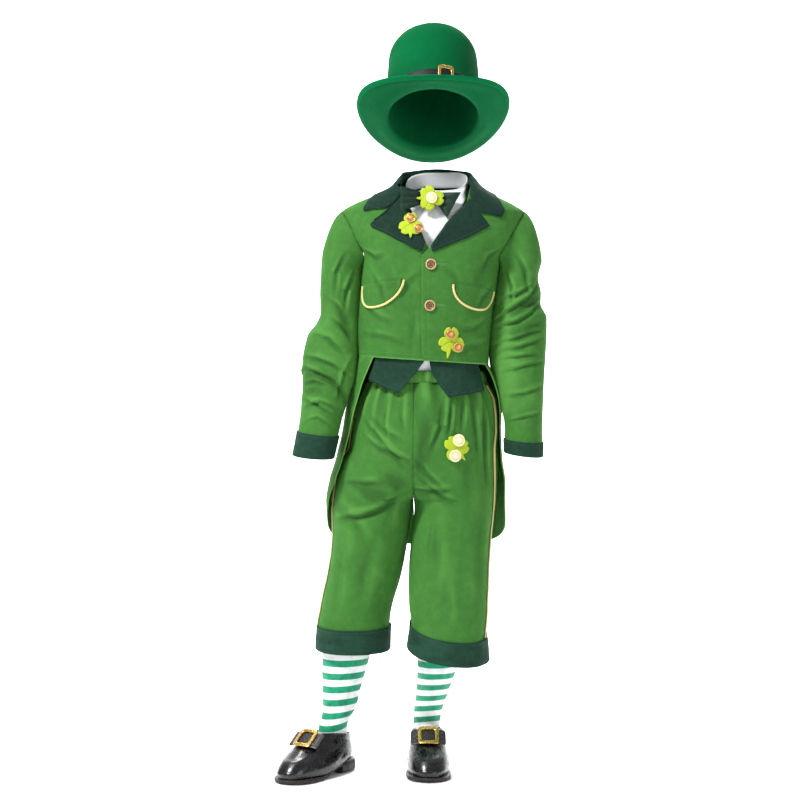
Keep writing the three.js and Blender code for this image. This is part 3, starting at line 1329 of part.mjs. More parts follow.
// Shoes. long: from the heel towards the toe. turnOut: how far the toe points outwards.
const FLOOR = -1045;
const SHOES = {
  [RIGHT]: { x: -152, y: 19, turnOut: -0.61 },
  [LEFT]: { x: -6, y: 65, turnOut: 0.02 },
};
// Rings of the upper, from the sole to the opening. heelZ and toeZ: height at its two ends.
const UPPER_RINGS = [
  { row: 0, from: 0, to: 184, half: 37, heelZ: 0, toeZ: 0 },
  { row: 1, from: -2, to: 184, half: 38.5, heelZ: 34, toeZ: 20 },
  { row: 2, from: -1, to: 175, half: 37, heelZ: 46, toeZ: 31 },
  { row: 3, from: 1, to: 158, half: 35, heelZ: 54, toeZ: 42 },
  { row: 4, from: 2, to: 138, half: 32.5, heelZ: 60, toeZ: 54 },
  { row: 5, from: 3, to: 118, half: 31, heelZ: 64, toeZ: 68 },
  { row: 6, from: 4, to: 104, half: 30, heelZ: 66, toeZ: 78 },
];
// bottom: height of its underside over the floor, at the heel, the waist and the tread.
const SOLE_STATIONS = [
  { long: -3, half: 9, bottom: 1 },
  { long: 3, half: 22, bottom: 0 },
  { long: 16, half: 31, bottom: 0 },
  { long: 36, half: 33, bottom: 0 },
  { long: 53, half: 32, bottom: 0 },
  { long: 54.5, half: 32, bottom: 13 },
  { long: 76, half: 32, bottom: 7.5 },
  { long: 100, half: 36, bottom: 2.7 },
  { long: 125, half: 40, bottom: 0 },
  { long: 150, half: 39, bottom: 0 },
  { long: 170, half: 31, bottom: 0.5 },
  { long: 182, half: 18, bottom: 1.5 },
  { long: 187, half: 6, bottom: 2.5 },
];
const SHOE_ROUNDNESS = 2.4;
const SHOE_WAIST = { by: 0.06, from: 100, to: 40 };
const SHOE_CORE = { long: 80, z: 40, low: 30 };
const UPPER_GAP = 0.9; // between the sole and the upper
const LEATHER = 1.8;
const STRAP = { long: 118, z: 68, slope: 0.66, halfWide: 31, half: 16, thick: 2.2, bend: 5, lift: 1.6 };
const SHOE_BUCKLE = { halfWide: 18.5, halfTall: 20, opening: 0.66, thick: 2.8 };

// The sole's upper side falls from the heel to the tread.
const SOLE_RISE = { heel: 22, tread: 8, from: 22, to: 117 };
const soleTop = (long) => mix(SOLE_RISE.heel, SOLE_RISE.tread, between(SOLE_RISE.from, SOLE_RISE.to, long));

function shoeFrame(side) {
  const { x, y, turnOut } = SHOES[side];
  const ahead = point(Math.sin(turnOut), -Math.cos(turnOut), 0);
  const sideways = point(Math.cos(turnOut), Math.sin(turnOut), 0);
  const place = (long, wide, z) =>
    point(x, y, FLOOR + z).addScaledVector(ahead, long).addScaledVector(sideways, wide);
  return { ahead, sideways, place };
}

function shoeUpper(side) {
  const { place } = shoeFrame(side);
  return wall({
    across: steps(0, 2 * HALF_TURN, 16).slice(0, 16),
    along: UPPER_RINGS.map(({ row }) => row),
    closed: true,
    thickness: LEATHER,
    inside: (p) => {
      const middle = place(SHOE_CORE.long, 0, SHOE_CORE.z);
      return point(mix(middle.x, p.x, 0.5), mix(middle.y, p.y, 0.5), FLOOR + SHOE_CORE.low);
    },
    at: (around, row) => {
      const { from, to, half, heelZ, toeZ } = UPPER_RINGS[row];
      const forward = power(Math.cos(around), 2 / SHOE_ROUNDNESS);
      const long = mix(from, to, (1 + forward) / 2);
      const waist = 1 - SHOE_WAIST.by * between(SHOE_WAIST.from, SHOE_WAIST.to, long);
      const z = row === 0 ? soleTop(long) + UPPER_GAP : mix(heelZ, toeZ, smooth((1 + forward) / 2));
      return place(long, half * waist * power(Math.sin(around), 2 / SHOE_ROUNDNESS), z);
    },
  });
}

// The sole and its heel block, as a row of flat cross sections.
function shoeSole(side) {
  const { place } = shoeFrame(side);
  const section = ({ long, half, bottom }) => {
    const top = soleTop(long);
    return [
      place(long, -half, bottom),
      place(long, half, bottom),
      place(long, half, top),
      place(long, -half, top),
    ];
  };
  const sections = SOLE_STATIONS.map(section);
  const corners = [];
  sections.slice(1).forEach((next, i) => {
    const last = sections[i];
    for (let k = 0; k < 4; k += 1) {
      const m = (k + 1) % 4;
      corners.push(last[k], last[m], next[m], last[k], next[m], next[k]);
    }
  });
  const [first, end] = [sections[0], sections[sections.length - 1]];
  corners.push(first[0], first[2], first[1], first[0], first[3], first[2]);
  corners.push(end[0], end[1], end[2], end[0], end[2], end[3]);
  return geometryOf(corners, true);
}

// A point of the slightly bent plate that stands on the instep.
function platePoint(side, wide, up, lift) {
  const { place } = shoeFrame(side);
  const back = lift - STRAP.bend * (wide / STRAP.halfWide) ** 2;
  const long = STRAP.long - Math.cos(STRAP.slope) * up + Math.sin(STRAP.slope) * back;
  return place(long, wide, STRAP.z + Math.sin(STRAP.slope) * up + Math.cos(STRAP.slope) * back);
}

const UNDER_PLATE = -60;
const underPlate = (side) => () => platePoint(side, 0, 0, UNDER_PLATE);

function shoeStrap(side) {
  return wall({
    across: steps(-1, 1, 8),
    along: [-1, 0, 1],
    thickness: STRAP.thick,
    inside: underPlate(side),
    at: (share, up) => platePoint(side, STRAP.halfWide * share, STRAP.half * up, STRAP.lift + STRAP.thick),
  });
}

function shoeBuckle(side) {
  const lift = STRAP.lift + STRAP.thick + SEAM_GAP + SHOE_BUCKLE.thick;
  return wall({
    across: roundFrame,
    along: [0, 1],
    closed: true,
    thickness: SHOE_BUCKLE.thick,
    inside: underPlate(side),
    at: (around, share) => {
      const { across, up } = framePoint(around, share, SHOE_BUCKLE);
      return platePoint(side, across, up, lift);
    },
  });
}

// Stockings. The leg is given by height, and the foot by rings in the shoe's frame that turn with the instep.
const STOCKING_LEGS = {
  [RIGHT]: [
    { x: -148, y: 12, z: -800, wide: 46, deep: 48 },
    { x: -153, y: 10, z: -850, wide: 41, deep: 44 },
    { x: -160, y: 7, z: -900, wide: 33, deep: 38 },
    { x: -164, y: 2, z: -935, wide: 28, deep: 33 },
  ],
  [LEFT]: [
    { x: 20, y: -22, z: -800, wide: 42, deep: 48 },
    { x: 13, y: -12, z: -856, wide: 36, deep: 44 },
    { x: 3, y: 8, z: -912, wide: 29, deep: 36 },
    { x: -3, y: 20, z: -940, wide: 26, deep: 32 },
  ],
};
const STOCKING_FOOT = [
  { long: 38, z: 84, wide: 24.5, half: 28, tip: 0 },
  { long: 40, z: 66, wide: 24.5, half: 29, tip: 0.3 },
  { long: 46, z: 52, wide: 25, half: 30, tip: 0.78 },
  { long: 68, z: 44, wide: 27, half: 22, tip: 1.25 },
  { long: 100, z: 34, wide: 29, half: 18, tip: 1.53 },
  { long: 133, z: 27, wide: 31, half: 13, tip: 1.57 },
  { long: 158, z: 23, wide: 26, half: 9, tip: 1.57 },
  { long: 170, z: 21, wide: 16, half: 6, tip: 1.57 },
  { long: 175, z: 20, wide: 0, half: 0, tip: 1.57 },
];
const KNIT = 1.2;

function stocking(side) {
  const { ahead, sideways, place } = shoeFrame(side);
  const leg = STOCKING_LEGS[side].map(({ x, y, z, wide, deep }) => ({
    centre: point(x, y, z),
    wide,
    half: deep,
    tip: 0,
  }));
  const foot = STOCKING_FOOT.map(({ long, z, wide, half, tip }) => ({
    centre: place(long, 0, z),
    wide,
    half,
    tip,
  }));
  const rings = [...leg, ...foot];
  const nearer = (p) => (a, b) => (b.distanceTo(p) < a.distanceTo(p) ? b : a);
  return wall({
    across: steps(0, 2 * HALF_TURN, 12).slice(0, 12),
    along: rings.map((_, i) => i),
    closed: true,
    capped: true,
    thickness: KNIT,
    inside: (p) => rings.map(({ centre }) => centre).reduce(nearer(p)),
    at: (around, i) => {
      const { centre, wide, half, tip } = rings[i];
      const fore = ahead.clone().multiplyScalar(Math.cos(tip)).add(point(0, 0, Math.sin(tip)));
      return centre
        .clone()
        .addScaledVector(sideways, wide * Math.sin(around))
        .addScaledVector(fore, half * Math.cos(around));
    },
  });
}

['right', 'left'].forEach((word, i) => {
  const side = i === 0 ? RIGHT : LEFT;
  addMesh(costume, `stocking_${word}`, stocking(side), 'stocking');
  addMesh(costume, `shoe_upper_${word}`, shoeUpper(side), 'leather');
  addMesh(costume, `shoe_sole_${word}`, shoeSole(side), 'sole');
  addMesh(costume, `shoe_strap_${word}`, shoeStrap(side), 'strap');
  addMesh(costume, `shoe_buckle_${word}`, shoeBuckle(side), 'gold');
});

export default costume;
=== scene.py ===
import math

import bpy
import numpy as np
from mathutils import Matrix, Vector


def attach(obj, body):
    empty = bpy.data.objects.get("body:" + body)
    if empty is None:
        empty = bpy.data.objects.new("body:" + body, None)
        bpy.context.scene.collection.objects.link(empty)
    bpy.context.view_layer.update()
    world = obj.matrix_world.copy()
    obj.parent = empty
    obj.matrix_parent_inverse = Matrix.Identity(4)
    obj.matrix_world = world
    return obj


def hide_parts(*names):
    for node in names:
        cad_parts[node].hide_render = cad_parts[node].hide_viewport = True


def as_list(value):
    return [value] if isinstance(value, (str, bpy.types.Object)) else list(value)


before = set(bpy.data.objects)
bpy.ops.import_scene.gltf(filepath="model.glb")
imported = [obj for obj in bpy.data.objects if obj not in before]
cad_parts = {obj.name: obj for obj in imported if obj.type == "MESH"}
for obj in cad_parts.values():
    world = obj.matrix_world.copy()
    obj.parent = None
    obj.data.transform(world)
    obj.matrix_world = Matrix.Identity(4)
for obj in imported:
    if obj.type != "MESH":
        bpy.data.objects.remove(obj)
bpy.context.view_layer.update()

MM = 0.001
RIGHT = -1  # the wearer's right, on the left from the front
LEFT = 1
WORDS = {RIGHT: "right", LEFT: "left"}
HALF_TURN = math.pi
QUARTER_TURN = math.pi / 2
SEED = 1871


class Curves:
    """Reads a table of rows at any value of its first column, and gives every other column there."""

    def __init__(self, names, rows):
        data = np.array(sorted(rows), float)
        self.names = names.split()[1:]
        self.at = data[:, 0]
        self.values = data[:, 1:]
        slopes = np.diff(self.values, axis=0) / np.diff(self.at)[:, None]
        before, after = slopes[:-1], slopes[1:]
        total = np.where(before * after > 0, before + after, 1)
        middle = np.where(before * after > 0, 2 * before * after / total, 0)
        self.tangents = np.vstack([slopes[:1], middle, slopes[-1:]])

    def __call__(self, key):
        key = np.asarray(key, float)
        i = np.clip(np.searchsorted(self.at, key) - 1, 0, len(self.at) - 2)
        span = (self.at[i + 1] - self.at[i])[..., None]
        t = np.clip((key - self.at[i])[..., None] / span, 0, 1)
        start, leave, end, arrive = hermite(t)
        found = start * self.values[i] + leave * span * self.tangents[i]
        found = found + end * self.values[i + 1] + arrive * span * self.tangents[i + 1]
        return dict(zip(self.names, np.moveaxis(found, -1, 0)))


def hermite(t):
    """Weights of a curve's start, leaving slope, end and arriving slope."""
    return 2 * t**3 - 3 * t**2 + 1, t**3 - 2 * t**2 + t, 3 * t**2 - 2 * t**3, t**3 - t**2


def unit(v):
    return v / np.maximum(np.linalg.norm(v, axis=-1, keepdims=True), 1e-9)


def mix(a, b, t):
    return a + (b - a) * t


def smooth(t):
    u = np.clip(t, 0, 1)
    return u * u * (3 - 2 * u)


def between(low, high, v):
    return smooth((v - low) / (high - low))


def power(v, exponent):
    return np.sign(v) * np.abs(v) ** exponent


def xyz(x, y, z):
    return np.stack(np.broadcast_arrays(x, y, z), axis=-1).astype(float)


def steps(start, end, count, closed=False):
    return np.linspace(start, end, count + 1)[: count if closed else None]


LATTICE = np.random.default_rng(SEED).random((32, 32, 32))


def noise(p, size):
    """Soft noise from -1 to 1 over the points p, with bumps about size wide. size is one length or three."""
    q = p / np.asarray(size, float)
    cell = np.floor(q).astype(int)
    t = smooth(q - cell)
    total = 0
    for corner in np.ndindex(2, 2, 2):
        weight = np.prod(np.where(corner, t, 1 - t), axis=-1)
        i, j, k = np.moveaxis((cell + corner) % len(LATTICE), -1, 0)
        total = total + weight * LATTICE[i, j, k]
    return 2 * total - 1


# The cloth's own sizes and the surfaces of the solids
COAT_CLOTH = 2.0
TRIM_CLOTH = 1.8
SHIRT_CLOTH = 1.2
FELT = 2.5
SEAM_GAP = 0.4
LIFT = 0.8
UNDERLAP = {"by": 3, "x": (-62, -28), "z": (-112, -82)}  # the right front passes under the left one
POINT_DEPTH = 5.8
LEAF_DEPTH = 6.4
SHIRT_DEPTH = 8.3
COAT_HEM = -306
COAT_TOP = 3
WAISTBAND_TOP = -325
WAISTBAND_BOTTOM = -345
GATHER = {"depth": 2.4, "half_waves": 10, "fade": 110, "sharp": 0.7}
GATHER_UNEVEN = [(0.35, 7.3, 2), (0.3, 17.9, 0)]  # height, waves to a turn and shift of each change
CROTCH = -556
SPREAD_START = -462
TURN_STEP = 0.01
HEIGHT_STEP = 0.5
FOLD_END = 0.08
ALMOST_ONE = 0.999

COAT_RINGS = Curves(
    "z x y wide deep roll",
    [
        (-316, -12, 2, 118, 90, -7.7),
        (-306, -12, 2, 118, 90, -7.7),
        (-260, -11.5, 1, 120, 92, -4),
        (-215, -8, 0, 121, 93, 0),
        (-170, -2, 0, 122, 93, 0),
        (-130, 2, 2, 124, 92, 0),
        (-87, 4, 4, 152, 88, 0),
        (-60, 5, 6, 162, 82, 0),
        (-42, 5, 8, 165, 78, 0),
        (-30, 5, 9, 150, 73, 0),
        (-20, 6, 10, 130, 69, 0),
        (-12, 8, 11, 110, 66, 0),
        (-4, 10, 12, 90, 63, 0),
        (4, 12, 13, 72, 61, 0),
    ],
)
COAT_SQUARENESS = 2.5
BODY_CORE = {"y": 8, "below": 20}
ARMHOLE = {"z": -87, "tall": 49, "reach": 0.47, "margin": 0.4, "turn_margin": 0.002}
SIDE_SEAM_TURN = 0.0005
ROLL_LINE = {
    RIGHT: Curves("z x", [(-111, -5), (-93, -12), (-71, -21), (-48, -32), (-26, -43), (-6, -51), (4, -54)]),
    LEFT: Curves("z x", [(-111, -3), (-90, 12), (-63, 29), (-46, 47), (-30, 63), (-8, 69), (4, 72)]),
}
FRONT_EDGE = {RIGHT: 12, LEFT: -16}
BREAK = (-124, -108)
HEM_CORNER = {"x": 10, "z": 12}  # the left front's rounded lower corner

TAIL_RINGS = Curves(
    "z x y wide deep roll",
    [
        (-306, -12, 2, 118, 90, -7.7),
        (-330, -9, 5, 127, 97, -6),
        (-361, -9, 9, 135, 104, -3),
        (-400, -11.5, 12, 141, 109, 0),
        (-430, -14, 14, 143, 111, 0),
        (-480, -19, 15, 150, 114, 0),
        (-522, -22, 16, 159, 117, 0),
        (-560, -25, 17, 162, 119, 0),
        (-600, -24, 18, 162, 120, 0),
        (-652, -24, 19, 160, 121, 0),
    ],
)
TAIL_EDGE = Curves(
    "z right left",
    [
        (-306, 0.8, 1.16),
        (-330, 0.89, 1.2),
        (-361, 0.98, 1.24),
        (-427, 1.09, 1.34),
        (-499, 1.15, 1.38),
        (-560, 1.32, 1.42),
        (-596, 1.55, 1.52),
        (-622, 1.85, 1.8),
        (-640, 2.25, 2.2),
        (-650, 2.75, 2.7),
    ],
)
VENT_TURN = 0.012
TAIL_END = -650

SLEEVE_RINGS = {
    RIGHT: Curves(
        "z x y wide deep roll lean",
        [
            (-142, -160, 4, 35, 47, 13, 0),
            (-180, -162, 2, 35, 46, 6, 0),
            (-225, -164, -2, 33, 45, 2, 0),
            (-240, -168, -4, 36, 47, 0, 0),
            (-261, -177, -8, 42, 50, 0, 0),
            (-310, -184, -16, 46, 50, 0, 0),
            (-345, -185, -24, 44, 49, 0, 0),
            (-360, -187, -27, 41, 48, 0, 0),
            (-400, -193, -33, 38, 44, 2, 0),
            (-437, -200, -38, 36, 40, 5, -2),
            (-482, -209, -43, 35, 38, 3, -3),
        ],
    ),
    LEFT: Curves(
        "z x y wide deep roll lean",
        [
            (-142, 164, 4, 38, 47, 13, 0),
            (-166, 160, 3, 35, 46, 6, 0),
            (-188, 162, 2, 38, 47, 2, 0),
            (-205, 162, 1, 37, 46, 0, 0),
            (-230, 166, 0, 44, 50, 0, 0),
            (-266, 166, -3, 43, 50, 0, 0),
            (-324, 166, -9, 40, 47, 0, 0),
            (-390, 166, -17, 36, 43, 0, 0),
            (-430, 167, -21, 34, 41, -3, -2),
            (-482, 167, -27, 33, 39, -4, -3),
        ],
    ),
}
SLEEVE_TOP = -142
SLEEVE_STEP = 100  # how far down the sleeve one step of its length goes
SLEEVE_AXIS_TOP = -100
SLEEVE_IN_CUFF = 8
CUFFS = {RIGHT: (-437, -477), LEFT: (-450, -474)}
HEAD_OUTWARD = (0.6, -0.35)
HEAD_ARRIVAL = 0.05

BREECHES_RINGS = {
    RIGHT: Curves(
        "z out inner y deep dip roll",
        [
            (-325, -108, -30, 5, 80, 0, 0),
            (-345, -113, -30, 6, 83, 0, 0),
            (-380, -129, -30, 8, 93, 0, 0),
            (-430, -141, -30, 8, 98, 0, 0),
            (-465, -147, -30, 8, 99, 0, 0),
            (-485, -160, -30, 8, 96, 0, 0),
            (-520, -169, -30, 7, 90, 0, 0),
            (-556, -173, -30.5, 6, 82, 0, 0),
            (-575, -175, -34, 6, 78, 0, 0),
            (-623, -176, -42, 8, 72, 0, 0),
            (-698, -186, -57, 10, 67, 0, 0),
            (-749, -196, -70, 11, 64, -2, 0),
            (-785, -202, -74, 12, 63, -4, 0),
            (-830, -203, -75, 12, 62, -5, 0),
        ],
    ),
    LEFT: Curves(
        "z out inner y deep dip roll",
        [
            (-325, 96, -30, 5, 80, 0, 0),
            (-345, 103, -30, 6, 83, 0, 0),
            (-380, 120, -30, 8, 93, 0, 0),
            (-430, 123, -30, 8, 98, 0, 0),
            (-465, 120, -30, 8, 99, 0, 0),
            (-485, 120, -30, 8, 96, 0, 0),
            (-520, 119, -30, 7, 90, 0, 0),
            (-556, 117, -29.5, 6, 82, 0, 0),
            (-575, 115, -27, 3, 79, 0, 0),
            (-623, 110, -30, -5, 75, -2, 0),
            (-698, 106, -35, -14, 71, -8, -2),
            (-749, 104, -36, -18, 69, -13, -7),
            (-785, 101, -33, -20, 68, -16, -10),
            (-832, 104, -38, -22, 68, -17, -10),
        ],
    ),
}
BREECHES_SQUARENESS = 2.2
SIDE_SEAM = {RIGHT: HALF_TURN - 0.16, LEFT: HALF_TURN - 0.3}
SIDE_SEAM_GAP = 0.003
INSEAM_TURN = 0.0022
BREECHES_SEAM = 0.2
HEMS = {RIGHT: (-785, -826), LEFT: (-787, -828)}
PANEL_IN_HEM = 4
BRAID_WIDTH = 7
BRAID_TOP = -352
BRAID_LIFT = 1.1
BRAID_CLOTH = 1.2

# Main folds: a path along each, how wide it is, and its depth: negative for a trough.
SLEEVE_FOLDS = [
    ([(-160, -52, -218), (-142, -48, -250), (-128, -30, -290)], 10, -7),
    ([(-226, -40, -342), (-198, -76, -328), (-172, -72, -340), (-146, -40, -384)], 9, -6),
    ([(-226, -44, -366), (-206, -76, -358), (-182, -80, -366)], 8, -4),
    ([(122, -40, -226), (158, -54, -220), (200, -30, -192)], 8, -7),
    ([(122, -36, -262), (166, -58, -258), (204, -36, -236)], 9, -5),
    ([(-200, 40, -240), (-170, 50, -262), (-140, 40, -270)], 10, -6),
    ([(-220, 30, -330), (-185, 30, -338), (-150, 20, -350)], 10, -5),
    ([(130, 42, -222), (165, 52, -232), (198, 40, -218)], 10, -6),
]
BREECHES_FOLDS = [
    ([(-128, -82, -478), (-84, -98, -506), (-36, -80, -546)], 11, -8),
    ([(-150, -72, -505), (-100, -84, -548), (-58, -76, -566)], 12, -6),
    ([(-10, -96, -380), (-6, -98, -440), (-20, -88, -520)], 13, -5),
    ([(60, -90, -370), (52, -94, -430), (40, -92, -470)], 12, -5),
    ([(-70, 96, -450), (-50, 96, -520), (-36, 74, -548)], 14, -6),
    ([(60, 98, -450), (20, 96, -520), (-20, 76, -548)], 14, -6),
]
COAT_FOLDS = [
    ([(-118, -60, -132), (-84, -88, -150), (-60, -92, -190)], 15, -3.5),
    ([(118, -60, -128), (96, -84, -160), (88, -88, -230)], 15, -4),
    ([(-80, 92, -150), (-30, 94, -190), (0, 93, -240)], 18, -3),
    ([(84, 92, -150), (40, 94, -200), (16, 93, -250)], 18, -3),
]
TAIL_FOLDS = [
    ([(-90, 118, -360), (-100, 132, -500), (-104, 136, -640)], 16, -7),
    ([(-40, 122, -350), (-44, 134, -480), (-48, 138, -640)], 14, -5),
    ([(46, 122, -360), (54, 134, -500), (56, 138, -640)], 15, -7),
    ([(96, 104, -380), (102, 116, -500), (106, 120, -640)], 14, -5),
]

# Smaller creases, which have a soft ridge on each side
SLEEVE_CREASES = [
    ([(118, -40, -228), (148, -54, -212), (176, -50, -196), (200, -34, -172)], 6, -3),
    ([(118, -36, -246), (150, -56, -238), (182, -52, -222), (204, -30, -206)], 6, -2.6),
    ([(120, -38, -276), (156, -58, -268), (198, -40, -254)], 6, -2.4),
    ([(128, -42, -306), (160, -60, -300), (190, -50, -296)], 5, -1.8),
    ([(-234, -40, -316), (-204, -70, -330), (-170, -76, -346), (-148, -60, -366)], 7, -2.8),
    ([(-236, -50, -350), (-212, -76, -344), (-184, -80, -350)], 6, -2.6),
    ([(-230, -60, -376), (-204, -80, -384), (-176, -76, -402)], 6, -2.2),
    ([(-140, -36, -300), (-150, -60, -330), (-160, -72, -372)], 6, -2.4),
    ([(-176, -50, -232), (-158, -50, -246), (-140, -40, -268)], 6, -2),
    ([(-150, -46, -120), (-168, -50, -150), (-172, -50, -190)], 7, -1.8),
    ([(-136, -30, -150), (-146, -44, -180), (-150, -48, -214)], 6, -2),
    ([(-188, -40, -196), (-168, -52, -208), (-146, -46, -232)], 6, -1.6),
    ([(-206, -48, -262), (-180, -62, -270), (-150, -50, -300)], 8, -2),
    ([(-224, -40, -300), (-200, -68, -306), (-170, -70, -316), (-144, -46, -336)], 7, -2.2),
    ([(-222, -60, -390), (-196, -80, -380), (-168, -70, -392)], 6, -1.8),
    ([(-220, -70, -414), (-200, -80, -408), (-176, -72, -424)], 5, -1.4),
    ([(-214, 0, -350), (-226, -20, -332), (-222, -44, -322)], 6, -2),
    ([(150, -46, -118), (170, -50, -150), (176, -48, -184)], 7, -2),
    ([(132, -34, -150), (142, -44, -176), (140, -46, -206)], 6, -1.8),
    ([(128, -38, -196), (150, -50, -192), (182, -44, -176)], 6, -2.2),
    ([(126, -40, -246), (156, -56, -240), (190, -46, -220)], 5, -1.8),
    ([(126, -44, -292), (160, -60, -284), (200, -40, -268)], 7, -2),
    ([(130, -46, -330), (166, -62, -318), (202, -36, -308)], 6, -1.7),
    ([(136, -44, -372), (170, -62, -366), (198, -40, -352)], 6, -1.6),
    ([(138, -50, -416), (168, -64, -408), (194, -46, -400)], 5, -1.5),
    ([(-190, 46, -180), (-160, 50, -200), (-136, 40, -220)], 8, -2),
    ([(-206, 36, -290), (-180, 36, -300), (-150, 26, -312)], 8, -2),
    ([(-214, 10, -388), (-190, 10, -396), (-164, 4, -404)], 7, -1.8),
    ([(136, 44, -180), (166, 50, -190), (194, 40, -184)], 8, -2),
    ([(132, 42, -270), (166, 46, -280), (200, 34, -276)], 8, -2.2),
    ([(136, 30, -340), (166, 34, -350), (198, 22, -346)], 7, -1.8),
]
COAT_CREASES = [
    ([(-130, -50, -118), (-104, -74, -128), (-84, -86, -122)], 7, -1.6),
    ([(-116, -62, -150), (-92, -84, -178), (-80, -90, -214)], 8, -1.6),
    ([(-122, -50, -210), (-96, -80, -232), (-66, -90, -244)], 9, -1.3),
    ([(-118, -52, -262), (-80, -88, -268), (-40, -92, -282)], 9, -1.2),
    ([(-12, -92, -150), (-40, -94, -172), (-52, -94, -200)], 9, -0.9),
    ([(132, -50, -112), (112, -72, -126), (100, -82, -146)], 7, -1.7),
    ([(122, -52, -176), (104, -76, -196), (92, -84, -216)], 8, -1.6),
    ([(112, -56, -236), (84, -84, -252), (56, -91, -258)], 9, -1.4),
    ([(110, -50, -276), (80, -84, -284), (54, -90, -292)], 8, -1.1),
    ([(20, -92, -140), (44, -92, -160), (50, -92, -184)], 9, -0.9),
    ([(-24, -93, -210), (-30, -93, -250), (-36, -91, -296)], 9, -0.8),
    ([(-60, 90, -120), (0, 93, -128), (64, 90, -122)], 12, -1.6),
    ([(-100, 66, -200), (-60, 90, -212), (-20, 94, -216)], 10, -1.5),
    ([(92, 70, -220), (50, 92, -226), (20, 94, -236)], 10, -1.5),
    ([(-90, 78, -270), (-40, 94, -262), (10, 94, -272)], 11, -1.4),
    ([(40, 92, -292), (70, 84, -276), (96, 66, -270)], 9, -1.3),
    ([(-64, 84, -60), (-40, 86, -96), (-34, 90, -140)], 11, -1.5),
    ([(70, 84, -60), (52, 86, -96), (46, 90, -140)], 11, -1.5),
]
TAIL_CREASES = [
    ([(-118, 60, -340), (-130, 70, -440), (-134, 76, -560)], 12, -3),
    ([(-128, 20, -360), (-146, 30, -440), (-160, 50, -540)], 11, -2.4),
    ([(100, 70, -340), (118, 80, -440), (124, 80, -560)], 12, -3),
    ([(112, 30, -360), (126, 40, -440), (132, 50, -520)], 11, -2.4),
    ([(-64, 128, -340), (-72, 136, -420), (-76, 138, -560)], 9, -2),
    ([(-22, 122, -420), (-26, 132, -520), (-24, 138, -630)], 9, -2.2),
    ([(24, 122, -400), (30, 132, -500), (28, 138, -620)], 9, -2.2),
    ([(76, 120, -420), (80, 128, -520), (84, 132, -640)], 9, -2.4),
]
BREECHES_CREASES = [
    ([(-168, -46, -590), (-120, -70, -582), (-72, -80, -566), (-38, -80, -552)], 9, -3.2),
    ([(-30, -86, -550), (0, -86, -542), (34, -88, -538)], 8, -2.4),
    ([(-150, -66, -400), (-110, -88, -432), (-70, -96, -470), (-40, -90, -506)], 8, -2.2),
    ([(-24, -88, -560), (-16, -88, -600), (-20, -84, -660)], 8, -2),
    ([(42, -94, -366), (40, -98, -400), (34, -98, -440)], 6, -2.6),
    ([(64, -90, -364), (66, -94, -396), (62, -94, -430)], 6, -2.8),
    ([(-134, -74, -440), (-96, -94, -462), (-52, -94, -480), (-30, -92, -494)], 8, -2.4),
    ([(-120, -84, -404), (-84, -98, -432), (-48, -98, -452)], 8, -1.6),
    ([(-160, -60, -520), (-124, -80, -526), (-84, -88, -524)], 9, -2),
    ([(-44, -90, -516), (-60, -84, -566), (-70, -76, -624)], 14, -1.1),
    ([(-168, -40, -560), (-140, -70, -590), (-110, -70, -640)], 15, -1.3),
    ([(-100, -68, -620), (-120, -64, -690), (-128, -58, -760)], 20, -1),
    ([(-160, -50, -640), (-170, -48, -700), (-176, -46, -770)], 17, -0.9),
    ([(-28, -92, -480), (-6, -90, -510), (24, -90, -540)], 8, -2),
    ([(-26, -90, -512), (10, -86, -546), (50, -80, -566)], 9, -1.8),
    ([(26, -92, -372), (20, -96, -420), (0, -96, -470)], 7, -2.2),
    ([(84, -84, -366), (92, -84, -420), (96, -76, -480)], 8, -3),
    ([(102, -60, -372), (108, -62, -440), (110, -56, -520)], 8, -3),
    ([(70, -90, -470), (74, -84, -540), (66, -84, -610)], 17, -0.9),
    ([(-4, -86, -570), (4, -86, -640), (0, -88, -720)], 19, -1),
    ([(60, -82, -630), (56, -86, -700), (60, -88, -770)], 20, -0.9),
    ([(96, -60, -560), (94, -70, -640), (90, -76, -720)], 17, -1),
    ([(24, -92, -690), (30, -92, -740), (22, -92, -780)], 14, -0.7),
    ([(-86, -96, -372), (-90, -98, -410), (-84, -100, -440)], 7, -2),
    ([(-50, -92, -368), (-54, -98, -400), (-50, -100, -430)], 7, -1.6),
    ([(-120, 80, -380), (-124, 90, -440), (-112, 90, -510)], 9, -2.2),
    ([(-96, 94, -480), (-80, 90, -540), (-78, 80, -600)], 12, -2.4),
    ([(-130, 76, -540), (-140, 72, -620), (-150, 70, -700)], 12, -2.2),
    ([(-90, 84, -600), (-106, 80, -680), (-110, 76, -760)], 13, -2),
    ([(90, 84, -380), (94, 92, -440), (84, 96, -510)], 9, -2.2),
    ([(30, 100, -380), (26, 104, -440), (8, 98, -500)], 9, -2),
    ([(70, 88, -540), (64, 74, -620), (60, 60, -700)], 13, -2.4),
    ([(20, 78, -600), (30, 64, -680), (28, 52, -760)], 12, -2.2),
    ([(112, 20, -420), (116, 10, -520), (108, 0, -640)], 11, -2.4),
    ([(-160, 10, -480), (-168, 10, -560), (-176, 14, -660)], 11, -2.4),
]
# A crease: shares of the sizes above, the lip that rolls over it, how far up that lies and how wide it is
CREASE = {"width": 0.62, "depth": 2.1, "lip": 0.62, "lip_at": 1.5, "lip_width": 1.15}
UPWARD = np.array([0.35, 0, 1])
CREASE_REACH = 26  # how far under or over the cloth a path may lie


